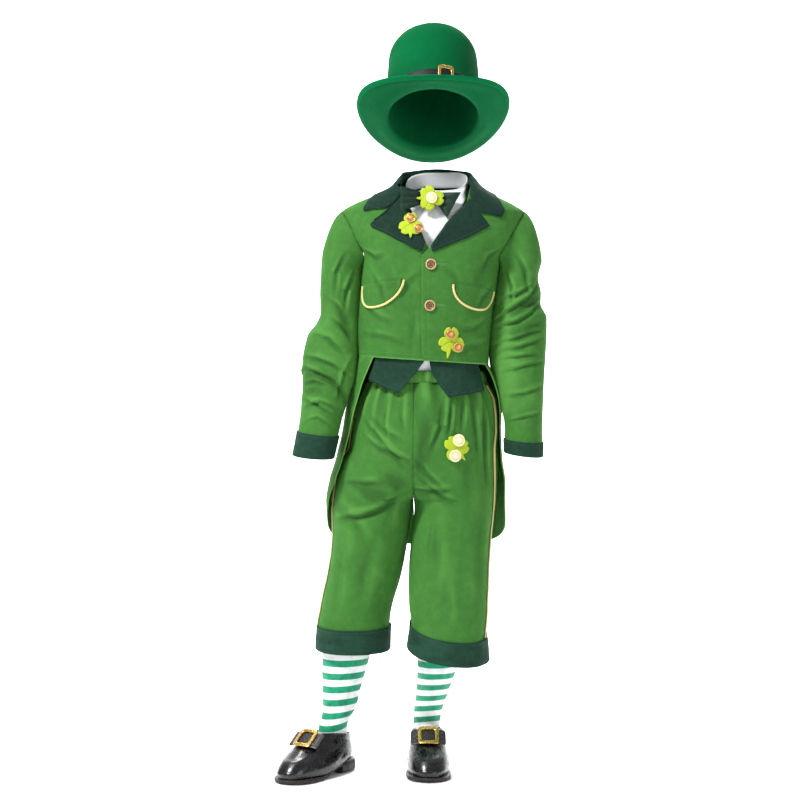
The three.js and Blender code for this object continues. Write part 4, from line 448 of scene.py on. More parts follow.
def along_path(p, path):
    """For each point: its offset from the nearest place on a path, the path's direction and depth there."""
    path = np.array(path, float)
    lengths = np.linalg.norm(np.diff(path, axis=0), axis=1)
    nearest = np.full(p.shape[:-1], np.inf)
    share = np.zeros(nearest.shape)
    away = np.zeros(p.shape)
    way = np.zeros(p.shape)
    travelled = 0.0
    for start, end, length in zip(path[:-1], path[1:], lengths):
        t = np.clip((p - start) @ (end - start) / length**2, 0, 1)
        offset = p - start - t[..., None] * (end - start)
        distance = np.linalg.norm(offset, axis=-1)
        closer = distance < nearest
        nearest = np.where(closer, distance, nearest)
        share = np.where(closer, (travelled + t * length) / lengths.sum(), share)
        away = np.where(closer[..., None], offset, away)
        way = np.where(closer[..., None], (end - start) / length, way)
        travelled += length
    return away, way, np.sin(HALF_TURN * mix(FOLD_END, 1 - FOLD_END, share))


def fold_shift(p, folds):
    """How far points of cloth move in or out for the folds near them."""
    shift = np.zeros(p.shape[:-1])
    for path, width, depth in folds:
        away, _, taper = along_path(p, path)
        shift += depth * taper * np.exp(-np.sum(away**2, axis=-1) / width**2)
    return shift


def crease_shift(p, normals, creases):
    """Narrow troughs along paths near the cloth, each with a lip of cloth rolling over it from above."""
    shift = np.zeros(p.shape[:-1])
    for path, width, depth in creases:
        wide = CREASE["width"] * width
        away, way, taper = along_path(p, path)
        off = np.sum(away * normals, axis=-1)
        aside = unit(np.cross(way, normals))
        aside = np.where((aside @ UPWARD)[..., None] < 0, -aside, aside)
        across = np.sum(away * aside, axis=-1) / wide
        beyond = np.sum(away * way, axis=-1) / wide
        near = np.exp(-(beyond**2) - (off / CREASE_REACH) ** 4)
        lip = CREASE["lip"] * np.exp(-(((across - CREASE["lip_at"]) / CREASE["lip_width"]) ** 2))
        shift += CREASE["depth"] * depth * taper * near * (np.exp(-(across**2)) - lip)
    return shift


# The cloth's own unevenness: height, how far its pattern is moved and the size of its bumps
UNEVEN = [(0.9, 0, (46, 46, 62)), (0.45, 90, (17, 17, 24)), (0.12, 40, (6, 6, 6))]


def cloth_shift(p, normals, folds, creases, amount=1.0):
    """Main folds, smaller creases and the cloth's own unevenness."""
    shift = fold_shift(p, folds) + crease_shift(p, normals, creases)
    for height, moved, size in UNEVEN:
        shift += amount * height * noise(p + moved, size)
    return shift


def still(p, normals):
    """Cloth that has no folds of its own."""
    return np.zeros(p.shape[:-1])


def lifted(base, a, b, inside, lift, shift):
    """A surface's points moved along its normal, with the normals and the folds' part of the move."""
    p = base(a, b)
    across = base(a + TURN_STEP, b) - base(a - TURN_STEP, b)
    along = base(a, b + HEIGHT_STEP) - base(a, b - HEIGHT_STEP)
    normal = unit(np.cross(across, along))
    outward = np.sum(normal * (p - inside), axis=-1, keepdims=True)
    normal = np.where(outward < 0, -normal, normal)
    moved = shift(p, normal)
    return p + normal * (lift + moved)[..., None], normal, moved


def body_core(z):
    """A line inside the body, a little lower than the cloth that it is seen from."""
    return xyz(0 * z, BODY_CORE["y"], z - BODY_CORE["below"])


def ring_point(ring, turn, z):
    across = power(np.sin(turn), 2 / COAT_SQUARENESS)
    forward = power(np.cos(turn), 2 / COAT_SQUARENESS)
    return xyz(
        ring["x"] + ring["wide"] * across,
        ring["y"] - ring["deep"] * forward,
        z + ring["roll"] * across,
    )


def coat_surface(turn, z, lift=0.0):
    turn, z = np.broadcast_arrays(np.asarray(turn, float), np.asarray(z, float))
    return lifted(
        lambda a, b: ring_point(COAT_RINGS(b), a, b),
        turn,
        z,
        body_core(z),
        lift,
        lambda p, n: cloth_shift(p, n, COAT_FOLDS, COAT_CREASES, 0.8),
    )


def coat_point(turn, z, lift=0.0):
    return coat_surface(turn, z, lift)[0]


def coat_turn(x, z):
    ring = COAT_RINGS(z)
    across = np.clip((x - ring["x"]) / ring["wide"], -ALMOST_ONE, ALMOST_ONE)
    return np.arcsin(power(across, COAT_SQUARENESS / 2))


def coat_front(x, z, lift=0.0):
    """A point of the coat's front, given as it is seen from the front."""
    return coat_point(coat_turn(x, z), z, lift)


def side_turn(z, half):
    rise = (z - ARMHOLE["z"]) / (ARMHOLE["tall"] + ARMHOLE["margin"])
    seam = QUARTER_TURN - half * SIDE_SEAM_TURN
    oval = np.sqrt(np.clip(1 - rise * rise, 0, 1))
    return seam - half * (ARMHOLE["reach"] + ARMHOLE["turn_margin"]) * oval


def front_edge_x(side, z):
    return mix(FRONT_EDGE[side], ROLL_LINE[side](z)["x"], between(*BREAK, z))


def underlap(side, x, z):
    if side == LEFT:
        return np.zeros(np.broadcast(x, z).shape)
    return UNDERLAP["by"] * between(*UNDERLAP["x"], x) * (1 - between(*UNDERLAP["z"], z))


def leg_axis(side, z):
    ring = BREECHES_RINGS[side](z)
    return xyz(mix(ring["inner"], ring["out"], 0.5), ring["y"], z)


def parted_share(z):
    return np.clip((SPREAD_START - z) / (SPREAD_START - CROTCH), 0, 1)


def first_psi(z):
    share = parted_share(z) ** BREECHES_SQUARENESS
    return np.arccos(np.minimum(share, math.cos(INSEAM_TURN)))


def breeches_base(side, psi, z):
    ring = BREECHES_RINGS[side](z)
    inner = ring["inner"] + side * BREECHES_SEAM * (1 - parted_share(z))
    half = side * (ring["out"] - inner) / (1 + parted_share(z) ** 2)
    across = -power(np.cos(psi), 2 / BREECHES_SQUARENESS)
    forward = power(np.sin(psi), 2 / BREECHES_SQUARENESS)
    return xyz(
        ring["out"] - side * half + side * half * across,
        ring["y"] - ring["deep"] * forward,
        z + ring["dip"] * forward + side * ring["roll"] * across,
    )


def gather_shift(side, psi, z):
    fade = 1 - smooth((WAISTBAND_BOTTOM - z) / GATHER["fade"])
    seam = SIDE_SEAM[side]
    start = np.where(psi < seam, first_psi(z), seam)
    end = np.where(psi < seam, seam, 2 * HALF_TURN - first_psi(z))
    share = (psi - start) / (end - start)
    wave = -np.cos(share * GATHER["half_waves"] * HALF_TURN)
    uneven = 1 + sum(by * np.sin(often * psi + shift * side) for by, often, shift in GATHER_UNEVEN)
    return GATHER["depth"] * fade * mix(wave, power(wave, GATHER["sharp"]), 0.5) * uneven


INNER_FULLNESS = Curves("z by", [(-830, 0), (-770, 1.5), (-700, 4), (-620, 4.5), (-585, 2), (-560, 0)])
INNER_TURN = 0.8


def breeches_surface(side, psi, z, lift=0.0):
    psi, z = np.broadcast_arrays(np.asarray(psi, float), np.asarray(z, float))
    inner = np.minimum(psi, 2 * HALF_TURN - psi) / INNER_TURN
    lift = lift + INNER_FULLNESS(z)["by"] * np.exp(-(inner**2))
    return lifted(
        lambda a, b: breeches_base(side, a, b),
        psi,
        z,
        leg_axis(side, z),
        lift + gather_shift(side, psi, z),
        lambda p, n: cloth_shift(p, n, BREECHES_FOLDS, BREECHES_CREASES, 1.1),
    )


def breeches_front(x, z, lift=0.0):
    """A point of the left half's front, given as it is seen from the front."""
    ring = BREECHES_RINGS[LEFT](z)
    half = (ring["out"] - ring["inner"]) / (1 + parted_share(z) ** 2)
    across = np.clip((x - ring["out"]) / half + 1, -ALMOST_ONE, ALMOST_ONE)
    return breeches_surface(LEFT, np.arccos(-power(across, BREECHES_SQUARENESS / 2)), z, lift)[0]


def smooth_breeches(side, psi, z, lift):
    """The breeches' form without folds or gathers."""
    return lifted(lambda a, b: breeches_base(side, a, b), psi, z, leg_axis(side, z), lift, still)[0]


def waist_surface(x, z, lift):
    """The breeches' smooth front at the waist."""
    points = []
    for side in (RIGHT, LEFT):
        ring = BREECHES_RINGS[side](z)
        across = (x - ring["inner"]) / (ring["out"] - ring["inner"])
        psi = np.arccos(-power(np.clip(across, 1 - ALMOST_ONE, ALMOST_ONE), BREECHES_SQUARENESS / 2))
        points.append(smooth_breeches(side, psi, z, lift))
    return np.where((x < BREECHES_RINGS[LEFT](z)["inner"])[..., None], points[0], points[1])


# Materials
def socket(shader, **values):
    for name, value in values.items():
        shader.inputs[name.replace("_", " ")].default_value = value


def colour(red, green, blue):
    """A colour given as it looks, from 0 to 255."""
    seen = np.array([red, green, blue]) / 255
    linear = np.where(seen <= 10 / 255, seen / 12.92, ((seen + 0.055) / 1.055) ** 2.4)
    return (*linear.tolist(), 1.0)


class Nodes:
    """A material and short ways to add its nodes."""

    def __init__(self, name):
        self.material = bpy.data.materials.new(name)
        self.material.use_nodes = True
        self.tree = self.material.node_tree
        self.shader = self.tree.nodes["Principled BSDF"]
        self.material.use_backface_culling = False

    def link(self, source, target):
        self.tree.links.new(source, target)

    def add(self, kind, **inputs):
        node = self.tree.nodes.new(kind)
        for name, value in inputs.items():
            self.put(node.inputs[name.replace("_", " ")], value)
        return node

    def put(self, target, value):
        if isinstance(value, bpy.types.NodeSocket):
            self.link(value, target)
        else:
            target.default_value = value

    def math(self, operation, first, second=0.0, third=0.0):
        node = self.tree.nodes.new("ShaderNodeMath")
        node.operation = operation
        for target, value in zip(node.inputs, (first, second, third)):
            self.put(target, value)
        return node.outputs[0]

    def spread(self, value, low, high, to_low=0.0, to_high=1.0):
        node = self.tree.nodes.new("ShaderNodeMapRange")
        node.interpolation_type = "SMOOTHSTEP"
        for target, number in zip(list(node.inputs)[:5], (value, low, high, to_low, to_high)):
            self.put(target, number)
        return node.outputs[0]

    def noise(self, scale, detail=3.0, roughness=0.55, vector=None):
        node = self.add("ShaderNodeTexNoise", Scale=scale, Detail=detail, Roughness=roughness)
        self.link(vector or self.place(), node.inputs["Vector"])
        return node.outputs["Fac"]

    def place(self):
        return self.add("ShaderNodeTexCoord").outputs["Object"]

    def cloth_place(self):
        """Across and along the cloth, in metres."""
        node = self.tree.nodes.new("ShaderNodeUVMap")
        node.uv_map = "cloth"
        return node.outputs["UV"]

    def measured(self, name):
        node = self.tree.nodes.new("ShaderNodeAttribute")
        node.attribute_name = name
        return node.outputs["Fac"]

    def blend(self, share, first, second, how="MIX"):
        node = self.tree.nodes.new("ShaderNodeMix")
        node.data_type = "RGBA"
        node.blend_type = how
        self.put(node.inputs[0], share)
        self.put(node.inputs[6], first)
        self.put(node.inputs[7], second)
        return node.outputs[2]

    def bump(self, height, strength, distance, after=None):
        node = self.add("ShaderNodeBump", Strength=strength, Distance=distance)
        self.link(height, node.inputs["Height"])
        if after is not None:
            self.link(after, node.inputs["Normal"])
        return node.outputs["Normal"]

    def roughen(self, scale, detail, low, high, coarse=0.55, reach=(0.3, 0.7)):
        """Uneven roughness between low and high."""
        value = self.spread(self.noise(scale, detail, coarse), *reach, low, high)
        self.link(value, self.shader.inputs["Roughness"])

    def weave(self, pitch, diagonal=True):
        """Fine ribs of cloth, pitch metres apart."""
        parts = self.add("ShaderNodeSeparateXYZ", Vector=self.cloth_place())
        across, along = parts.outputs[0], parts.outputs[1]
        if diagonal:
            return self.wave(self.math("ADD", across, along), pitch)
        return self.math("MAXIMUM", self.wave(across, pitch), self.wave(along, pitch))

    def wave(self, place, pitch):
        turned = self.math("MULTIPLY", place, 2 * HALF_TURN / pitch)
        return self.math("MULTIPLY_ADD", self.math("SINE", turned), 0.5, 0.5)


def cloth_material(name, deep, base, light, pitch, sheen, nap, roughness, diagonal):
    """Woven cloth with a brushed face: it pales where it is rubbed, with painted highlight on ridges, painted
    shade in creases and seams, and painted highlight along its hems.
    """
    m = Nodes(name)
    patches = m.spread(m.noise(16, 4), 0.36, 0.66)
    rubbed = m.spread(m.noise(75, 5, 0.65), 0.42, 0.72)
    fibres = m.noise(1500, 2)
    # the crease height, for painted highlight on ridges and painted shade in troughs
    painted_relief_light = m.spread(m.measured("crease"), -4.5, 3.5)
    shade = m.blend(m.math("MULTIPLY", patches, 0.16 * nap), base, deep)
    shade = m.blend(m.math("MULTIPLY", rubbed, 0.14 * nap), shade, light)
    # painted highlight on ridges, then painted shade in troughs
    shade = m.blend(m.spread(painted_relief_light, 0.55, 1.0, 0.0, 0.4), shade, light)
    shade = m.blend(m.spread(painted_relief_light, 0.0, 0.5, 0.5, 0.0), shade, deep)
    ribs = m.weave(pitch, diagonal)
    shade = m.blend(m.math("MULTIPLY", ribs, 0.12), shade, deep)
    shade = m.blend(m.math("MULTIPLY", fibres, 0.16), shade, light)
    # painted highlight along the hems' rounded edges
    shade = m.blend(m.spread(m.measured("edge"), 0.4, 2.4, 0.85, 0.0), shade, light)
    m.link(shade, m.shader.inputs["Base Color"])
    m.roughen(120, 4, roughness - 0.08, min(1.0, roughness + 0.08))
    soft = m.bump(m.noise(260, 4, 0.6), 0.22 * nap, 0.0012)
    m.link(m.bump(ribs, 0.22, 0.0004, soft), m.shader.inputs["Normal"])
    socket(m.shader, Sheen_Weight=sheen, Sheen_Roughness=0.5, Sheen_Tint=light, Specular_IOR_Level=0.25)
    return m.material


def felt_material():
    m = Nodes("hat_felt")
    deep, base, light = colour(0, 66, 34), colour(0, 92, 50), colour(2, 124, 72)
    patches = m.spread(m.noise(11, 3), 0.35, 0.65)
    shade = m.blend(m.math("MULTIPLY", patches, 0.35), base, deep)
    shade = m.blend(m.spread(m.noise(900, 3, 0.7), 0.45, 0.8, 0.0, 0.35), shade, light)
    # painted highlight on the rolled rim, within about 8 mm of the brim's edge
    rim = m.spread(m.measured("edge"), 9.5, 8.3)
    shade = m.blend(m.math("MULTIPLY", rim, 0.4), shade, light)
    # painted shade in the stitched groove about 9 mm in from the brim's edge, which is also bumped in
    groove_rise, groove_fall = m.spread(m.measured("edge"), 8.2, 9.2), m.spread(m.measured("edge"), 10.4, 9.4)
    groove = m.math("MULTIPLY", groove_rise, groove_fall)
    shade = m.blend(m.math("MULTIPLY", groove, 0.6), shade, deep)
    m.link(shade, m.shader.inputs["Base Color"])
    m.roughen(200, 3, 0.86, 1.0)
    fuzz = m.bump(m.noise(1300, 4, 0.7), 0.35, 0.0008)
    dents = m.bump(m.noise(30, 3), 0.2, 0.003, fuzz)
    m.link(m.bump(groove, 0.5, -0.0012, dents), m.shader.inputs["Normal"])
    socket(m.shader, Sheen_Weight=0.08, Sheen_Roughness=0.5, Sheen_Tint=light, Specular_IOR_Level=0.08)
    return m.material


def metal_material(name, base, worn, roughness):
    m = Nodes(name)
    patches = m.spread(m.noise(140, 4, 0.6), 0.35, 0.7)
    m.link(m.blend(m.math("MULTIPLY", patches, 0.45), base, worn), m.shader.inputs["Base Color"])
    m.roughen(400, 5, roughness * 0.6, roughness * 1.6, 0.7, (0.3, 0.75))
    fine = m.bump(m.noise(900, 4), 0.12, 0.0006)
    m.link(m.bump(m.noise(90, 3), 0.15, 0.001, fine), m.shader.inputs["Normal"])
    socket(m.shader, Metallic=1.0)
    return m.material


def leather_material(name, base, worn, roughness, grain=420, coat=0.35):
    m = Nodes(name)
    cells = m.add("ShaderNodeTexVoronoi", Scale=grain, Randomness=1.0)
    m.link(m.place(), cells.inputs["Vector"])
    scuffs = m.spread(m.noise(60, 5, 0.7), 0.58, 0.8)
    # painted highlight on raised relief, given in the worn colour that the scuffs also use
    painted_relief_light = m.spread(m.measured("crease"), 0.1, 1.2, 0.0, 0.5)
    shade = m.blend(m.math("MULTIPLY", scuffs, 0.22), base, worn)
    m.link(m.blend(painted_relief_light, shade, worn), m.shader.inputs["Base Color"])
    m.roughen(150, 4, roughness * 0.8, roughness * 1.5)
    pores = m.bump(cells.outputs["Distance"], 0.12, 0.0006)
    m.link(m.bump(m.noise(70, 4), 0.14, 0.002, pores), m.shader.inputs["Normal"])
    socket(m.shader, Coat_Weight=coat, Coat_Roughness=0.18, Specular_IOR_Level=0.5)
    return m.material


def braid_material():
    m = Nodes("gold_braid")
    ribs = m.weave(0.0016)
    shade = m.blend(m.math("MULTIPLY", ribs, 0.5), colour(236, 220, 142), colour(190, 160, 78))
    shade = m.blend(m.spread(m.noise(600, 3), 0.4, 0.7, 0.0, 0.5), shade, colour(246, 232, 176))
    # painted shade in the hollows of the cord's twist and between the braid's picots
    painted_hollow_shade = m.spread(m.measured("crease"), 0.05, 0.6, 0.6, 0.0)
    m.link(m.blend(painted_hollow_shade, shade, colour(196, 166, 84)), m.shader.inputs["Base Color"])
    m.roughen(500, 3, 0.4, 0.7)
    m.link(m.bump(ribs, 0.5, 0.0005), m.shader.inputs["Normal"])
    socket(m.shader, Metallic=0.0, Sheen_Weight=0.2, Sheen_Roughness=0.4)
    return m.material


STRIPE_PERIOD = 0.024
STRIPE_START = 0.004
STITCH_WIDE = 0.0016
STITCH_TALL = 0.0013
LOOP_RISE = 0.0003


def knit_material():
    """Stripes of even width round the leg, with the ribs of a fine knit."""
    m = Nodes("striped_knit")
    parts = m.add("ShaderNodeSeparateXYZ", Vector=m.cloth_place())
    turned = m.math("MULTIPLY", parts.outputs[0], 2 * HALF_TURN / STITCH_WIDE)
    loops = m.math("MULTIPLY", m.math("SINE", turned), LOOP_RISE)
    along = m.math("ADD", parts.outputs[1], loops)
    place = m.math("FRACT", m.math("DIVIDE", m.math("ADD", along, STRIPE_START), STRIPE_PERIOD))
    rise = m.spread(place, 0.0, 0.03)
    fall = m.spread(place, 0.53, 0.50)
    stripe = m.math("MULTIPLY", rise, fall)
    white = m.blend(m.spread(m.noise(70, 4), 0.4, 0.7), colour(246, 248, 248), colour(222, 230, 232))
    teal = m.blend(m.spread(m.noise(70, 4), 0.4, 0.7), colour(18, 156, 112), colour(10, 126, 92))
    shade = m.blend(stripe, white, teal)
    ribs = m.math("MULTIPLY", m.wave(parts.outputs[0], STITCH_WIDE), m.wave(parts.outputs[1], STITCH_TALL))
    shade = m.blend(m.math("MULTIPLY", ribs, 0.14), shade, colour(60, 90, 84))
    m.link(shade, m.shader.inputs["Base Color"])
    m.roughen(300, 3, 0.75, 0.92)
    m.link(m.bump(ribs, 0.4, -0.0005), m.shader.inputs["Normal"])
    socket(m.shader, Sheen_Weight=0.25, Sheen_Roughness=0.5, Specular_IOR_Level=0.25)
    return m.material


def enamel_material(name, deep, base, light, metallic, roughness):
    """Moulded and painted buttons and studs, with painted highlight on raised parts and painted shade in
    hollows.
    """
    m = Nodes(name)
    height = m.measured("crease")
    # painted shade in hollows and painted highlight on raised parts
    shade = m.blend(m.spread(height, 0.15, 0.75), deep, base)
    shade = m.blend(m.spread(height, 0.75, 1.0), shade, light)
    shade = m.blend(m.spread(m.noise(350, 4), 0.45, 0.7, 0.0, 0.35), shade, deep)
    m.link(shade, m.shader.inputs["Base Color"])
    m.roughen(500, 4, roughness * 0.7, roughness * 1.4)
    m.link(m.bump(m.noise(900, 3), 0.15, 0.0005), m.shader.inputs["Normal"])
    socket(m.shader, Metallic=metallic, Coat_Weight=0.3, Coat_Roughness=0.15)
    return m.material


def thread_material(name, base, light):
    m = Nodes(name)
    m.link(m.blend(m.spread(m.noise(1200, 2), 0.35, 0.65), base, light), m.shader.inputs["Base Color"])
    m.roughen(700, 2, 0.6, 0.85)
    m.link(m.bump(m.noise(2500, 2), 0.3, 0.0003), m.shader.inputs["Normal"])
    socket(m.shader, Sheen_Weight=0.2)
    return m.material


# Woven cloths: deep, usual and pale colour, the deep one also for painted shade and the pale one for painted
# highlight, pitch of the weave in metres, sheen, nap, roughness, and whether the weave runs aslant
CLOVER = [(112, 138, 16), (166, 190, 34), (206, 222, 84)]
WOVEN = {
    "coat": ("coat_twill", (18, 56, 18), (51, 108, 38), (98, 160, 72), 0.0011, 0.22, 1.0, 0.85, True),
    "trim": ("trim_suede", (5, 24, 20), (14, 50, 36), (40, 82, 62), 0.0009, 0.35, 1.2, 0.85, True),
    "velvet": ("collar_velvet", (3, 20, 16), (9, 40, 30), (30, 70, 54), 0.0009, 0.35, 1.2, 0.85, True),
    "bow": ("bow_satin", (3, 16, 13), (10, 36, 27), (44, 84, 64), 0.0008, 0.3, 0.6, 0.5, False),
    "shirt": ("shirt_cotton", (176, 182, 192), (226, 228, 231), (250,) * 3, 0.0007, 0.1, 0.5, 0.75, False),
    "shamrock": ("shamrock_felt", *CLOVER, 0.0016, 0.4, 1.2, 0.85, False),
    "ribbon": ("hat_ribbon", (4, 5, 8), (14, 16, 20), (46, 52, 60), 0.0012, 0.3, 0.6, 0.55, False),
}
# Enamels: deep, usual and pale colour (deep also for painted shade in hollows, pale for painted highlight on
# raised parts), how metallic and how rough
ENAMELS = {
    "button": ("coat_button", (58, 34, 18), (152, 112, 68), (222, 192, 140), 0.1, 0.35),
    "cream": ("cream_stud", (206, 186, 130), (240, 228, 186), (255, 250, 226), 0.0, 0.35),
    "copper": ("copper_stud", (122, 70, 28), (202, 146, 74), (246, 214, 140), 0.45, 0.3),
}
MATERIALS = {
    "felt": felt_material(),
    "gold": metal_material("buckle_gold", colour(236, 202, 116), colour(196, 150, 66), 0.28),
    "braid": braid_material(),
    "stocking": knit_material(),
    "leather": leather_material("shoe_leather", colour(9, 9, 12), colour(46, 47, 54), 0.22),
    "sole": leather_material("shoe_sole", colour(20, 15, 13), colour(58, 44, 36), 0.5, 260, 0.05),
    "strap": leather_material("shoe_strap", colour(22, 13, 13), colour(96, 78, 70), 0.35, 160, 0.25),
    "thread": thread_material("green_thread", colour(46, 112, 40), colour(98, 168, 76)),
    "dark_thread": thread_material("dark_thread", colour(10, 40, 30), colour(44, 86, 64)),
}
for key, (name, deep, base, light, *rest) in WOVEN.items():
    MATERIALS[key] = cloth_material(name, colour(*deep), colour(*base), colour(*light), *rest)
for key, (name, deep, base, light, *rest) in ENAMELS.items():
    MATERIALS[key] = enamel_material(name, colour(*deep), colour(*base), colour(*light), *rest)

# How finely each piece's grid is divided: along it, then across or around it
GRID = {
    "body": {"below": 66, "armhole": 36, "above": 14},
    "front": 64,
    "back": 90,
    "tail": (100, 48),
    "sleeve": (18, 130, 112),
    "cuff": 12,
    "lapel": (52, 30),
    "collar": (4, 150),
    "pocket": (20, 44),
    "piping": (150, 12),
    "disc": (26, 64),
    "point": (28, 48),
    "shirt": (84, 44),
    "shirt_collar": (4, 7),
    "wing": (56, 32),
    "knot": (18, 56),
    "breeches": (186, 72),
    "braid": (380, 8),
    "hem_band": (16, 120),
    "waistband": (9, 360),
    "shamrock": (14, 144),
    "hat": (7, 120),
    "hat_band": 9,
    "frame": (20, 96),
    "upper": (7, 120),
    "sole": 44,
    "strap": (30, 56),
    "stocking": (7, 60),
}

# Meshes
ROUND_EDGE = 0.45  # how far a cloth edge rounds out, as a share of the thickness
NO_EDGE = 99.0  # the distance that stands for no hem


def grid_normals(points, closed):
    if closed:
        across = np.roll(points, -1, axis=1) - np.roll(points, 1, axis=1)
    else:
        across = np.gradient(points, axis=1)
    return unit(np.cross(across, np.gradient(points, axis=0)))


def facing_normals(outer, inside, closed, solid_end=False):
    """Outward normals of a grid, and whether its faces run the other way."""
    normals = grid_normals(outer, closed)
    if solid_end:
        normals[-1] = unit(normals[-2].mean(axis=0))
    turned = np.sum(normals * (outer - np.asarray(inside, float))) < 0
    return (-normals if turned else normals), turned


def edge_loops(rows, cols, closed):
    """Rows and columns of the points along each open edge, in order."""
    if closed:
        around = np.arange(cols)
        return [(np.zeros(cols, int), around), (np.full(cols, rows - 1), around)]
    top = [(0, i) for i in range(cols)]
    right = [(j, cols - 1) for j in range(1, rows)]
    bottom = [(rows - 1, i) for i in range(cols - 2, -1, -1)]
    left = [(j, 0) for j in range(rows - 2, 0, -1)]
    loop = np.array(top + right + bottom + left)
    return [(loop[:, 0], loop[:, 1])]


def arc_lengths(points, axis):
    parts = np.linalg.norm(np.diff(points, axis=axis), axis=-1)
    shape = list(parts.shape)
    shape[axis] = 1
    return np.concatenate([np.zeros(shape), np.cumsum(parts, axis=axis)], axis=axis)


def corners(rows, cols):
    """Rows and columns of the corners of each of rows by cols faces."""
    j, i = (part.ravel() for part in np.meshgrid(np.arange(rows), np.arange(cols), indexing="ij"))
    return np.stack([j, j, j + 1, j + 1], axis=1), np.stack([i, i + 1, i + 1, i], axis=1)


def solid_mesh(grid, crease, spans, flipped=False):
    """A mesh from a grid that closes round its columns, with spans rows of faces."""
    rows, cols = grid.shape[:2]
    j, i = corners(spans, cols)
    faces = (j % rows) * cols + i % cols
    if flipped:
        faces = faces[:, [0, 3, 2, 1]]
    return grid.reshape(-1, 3), faces, np.zeros((faces.size, 2)), {"crease": crease.ravel()}


def build_mesh(name, verts, faces, uvs, values, material):
    mesh = bpy.data.meshes.new(name)
    mesh.from_pydata((verts * MM).tolist(), [], faces.tolist())
    layer = mesh.uv_layers.new(name="cloth")
    layer.data.foreach_set("uv", (uvs * MM).astype(np.float32).ravel())
    for key, numbers in values.items():
        attribute = mesh.attributes.new(key, "FLOAT", "POINT")
        attribute.data.foreach_set("value", np.asarray(numbers, np.float32))
    mesh.shade_smooth()
    mesh.materials.append(MATERIALS[material])
    piece = bpy.data.objects.new(name, mesh)
    bpy.context.collection.objects.link(piece)
    return piece


def shell(outer, thickness, inside, closed=False, values=None, solid_end=False):
    """A thin closed shell of cloth. solid_end: its last row is one point."""
    rows, cols = outer.shape[:2]
    normals, turned = facing_normals(outer, inside, closed, solid_end)
    inner = outer - normals * thickness
    count = rows * cols
    verts = [outer.reshape(-1, 3), inner.reshape(-1, 3)]
    wrapped = np.concatenate([outer, outer[:, :1]], axis=1) if closed else outer
    uv = np.stack([arc_lengths(wrapped, 1), arc_lengths(wrapped, 0)], axis=-1)
    corner_rows, corner_cols = corners(rows - 1, cols if closed else cols - 1)
    ids = corner_rows * cols + corner_cols % cols
    faces = [ids, ids[:, ::-1] + count]
    uvs = [uv[corner_rows, corner_cols], uv[corner_rows, corner_cols][:, ::-1]]
    flat_uv = uv[:, :cols].reshape(-1, 2)
    extra = [np.arange(count), np.arange(count)]
    total = 2 * count
    for number, (rows_at, cols_at) in enumerate(edge_loops(rows, cols, closed)):
        if solid_end and number == 1:
            continue
        near = (np.clip(rows_at, 1, rows - 2), cols_at if closed else np.clip(cols_at, 1, cols - 2))
        push = unit(outer[rows_at, cols_at] - outer[near]) * thickness * ROUND_EDGE
        rim = (outer[rows_at, cols_at] + inner[rows_at, cols_at]) / 2 + push
        verts.append(rim)
        own = rows_at * cols + cols_at
        extra.append(own)
        around = np.arange(len(own))
        after = np.roll(around, -1)
        rim_ids = total + around
        outside = np.stack([own, rim_ids, rim_ids[after], own[after]], axis=1)
        within = np.stack([rim_ids, own + count, own[after] + count, rim_ids[after]], axis=1)
        if closed and number == 1:
            outside, within = outside[:, ::-1], within[:, ::-1]
        faces += [outside, within]
        places = flat_uv[own]
        band = np.stack([places, places, places[after], places[after]], axis=1)
        uvs += [band, band]
        total += len(own)
    verts = np.concatenate(verts)
    faces = np.concatenate(faces)
    uvs = np.concatenate(uvs)
    if turned:
        faces, uvs = faces[:, ::-1], uvs[:, ::-1]
    picked = np.concatenate(extra)
    numbers = {key: np.asarray(value, float).ravel()[picked] for key, value in (values or {}).items()}
    return verts, faces, uvs.reshape(-1, 2), numbers


def edge_distance(outer, closed, edges):
    """Each point's distance from the nearest of the named edges, along the cloth."""
    across, along = arc_lengths(outer, 1), arc_lengths(outer, 0)
    distances = {
        "start": across,
        "end": across[:, -1:] - across,
        "top": along,
        "bottom": along[-1:] - along,
    }
    chosen = [distances[edge] for edge in edges]
    return np.minimum.reduce(chosen) if chosen else np.full(outer.shape[:2], NO_EDGE)


SEAM = {"dip": 0.65, "width": 3.2, "pucker": 0.5, "shade": 0.9}


def sewn(outer, normals, crease, edges, closed=False):
    """Cloth sinks and puckers a little along its sewn edges, and the dip is also painted shade in its colour.
    """
    distance = edge_distance(outer, closed, edges)
    pucker = 1 + SEAM["pucker"] * noise(outer, (9, 9, 7))
    dip = -SEAM["dip"] * pucker * np.exp(-((distance / SEAM["width"]) ** 2))
    return outer + normals * dip[..., None], crease + SEAM["shade"] * dip


def piece(name, mesh, material, nodes=(), cut=None, trims=()):
    """Makes a mesh a named piece of the part. cut: its row of CUTS, which is not used. trims: pieces sewn on
    it, which are not used.
    """
    made = build_mesh(name, *mesh, material)
    if nodes:
        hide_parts(*nodes)
    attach(made, "root")
    if cut:
        width, length, held, rests_on, area = cut
        list(trims)
        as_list(rests_on)
    return made


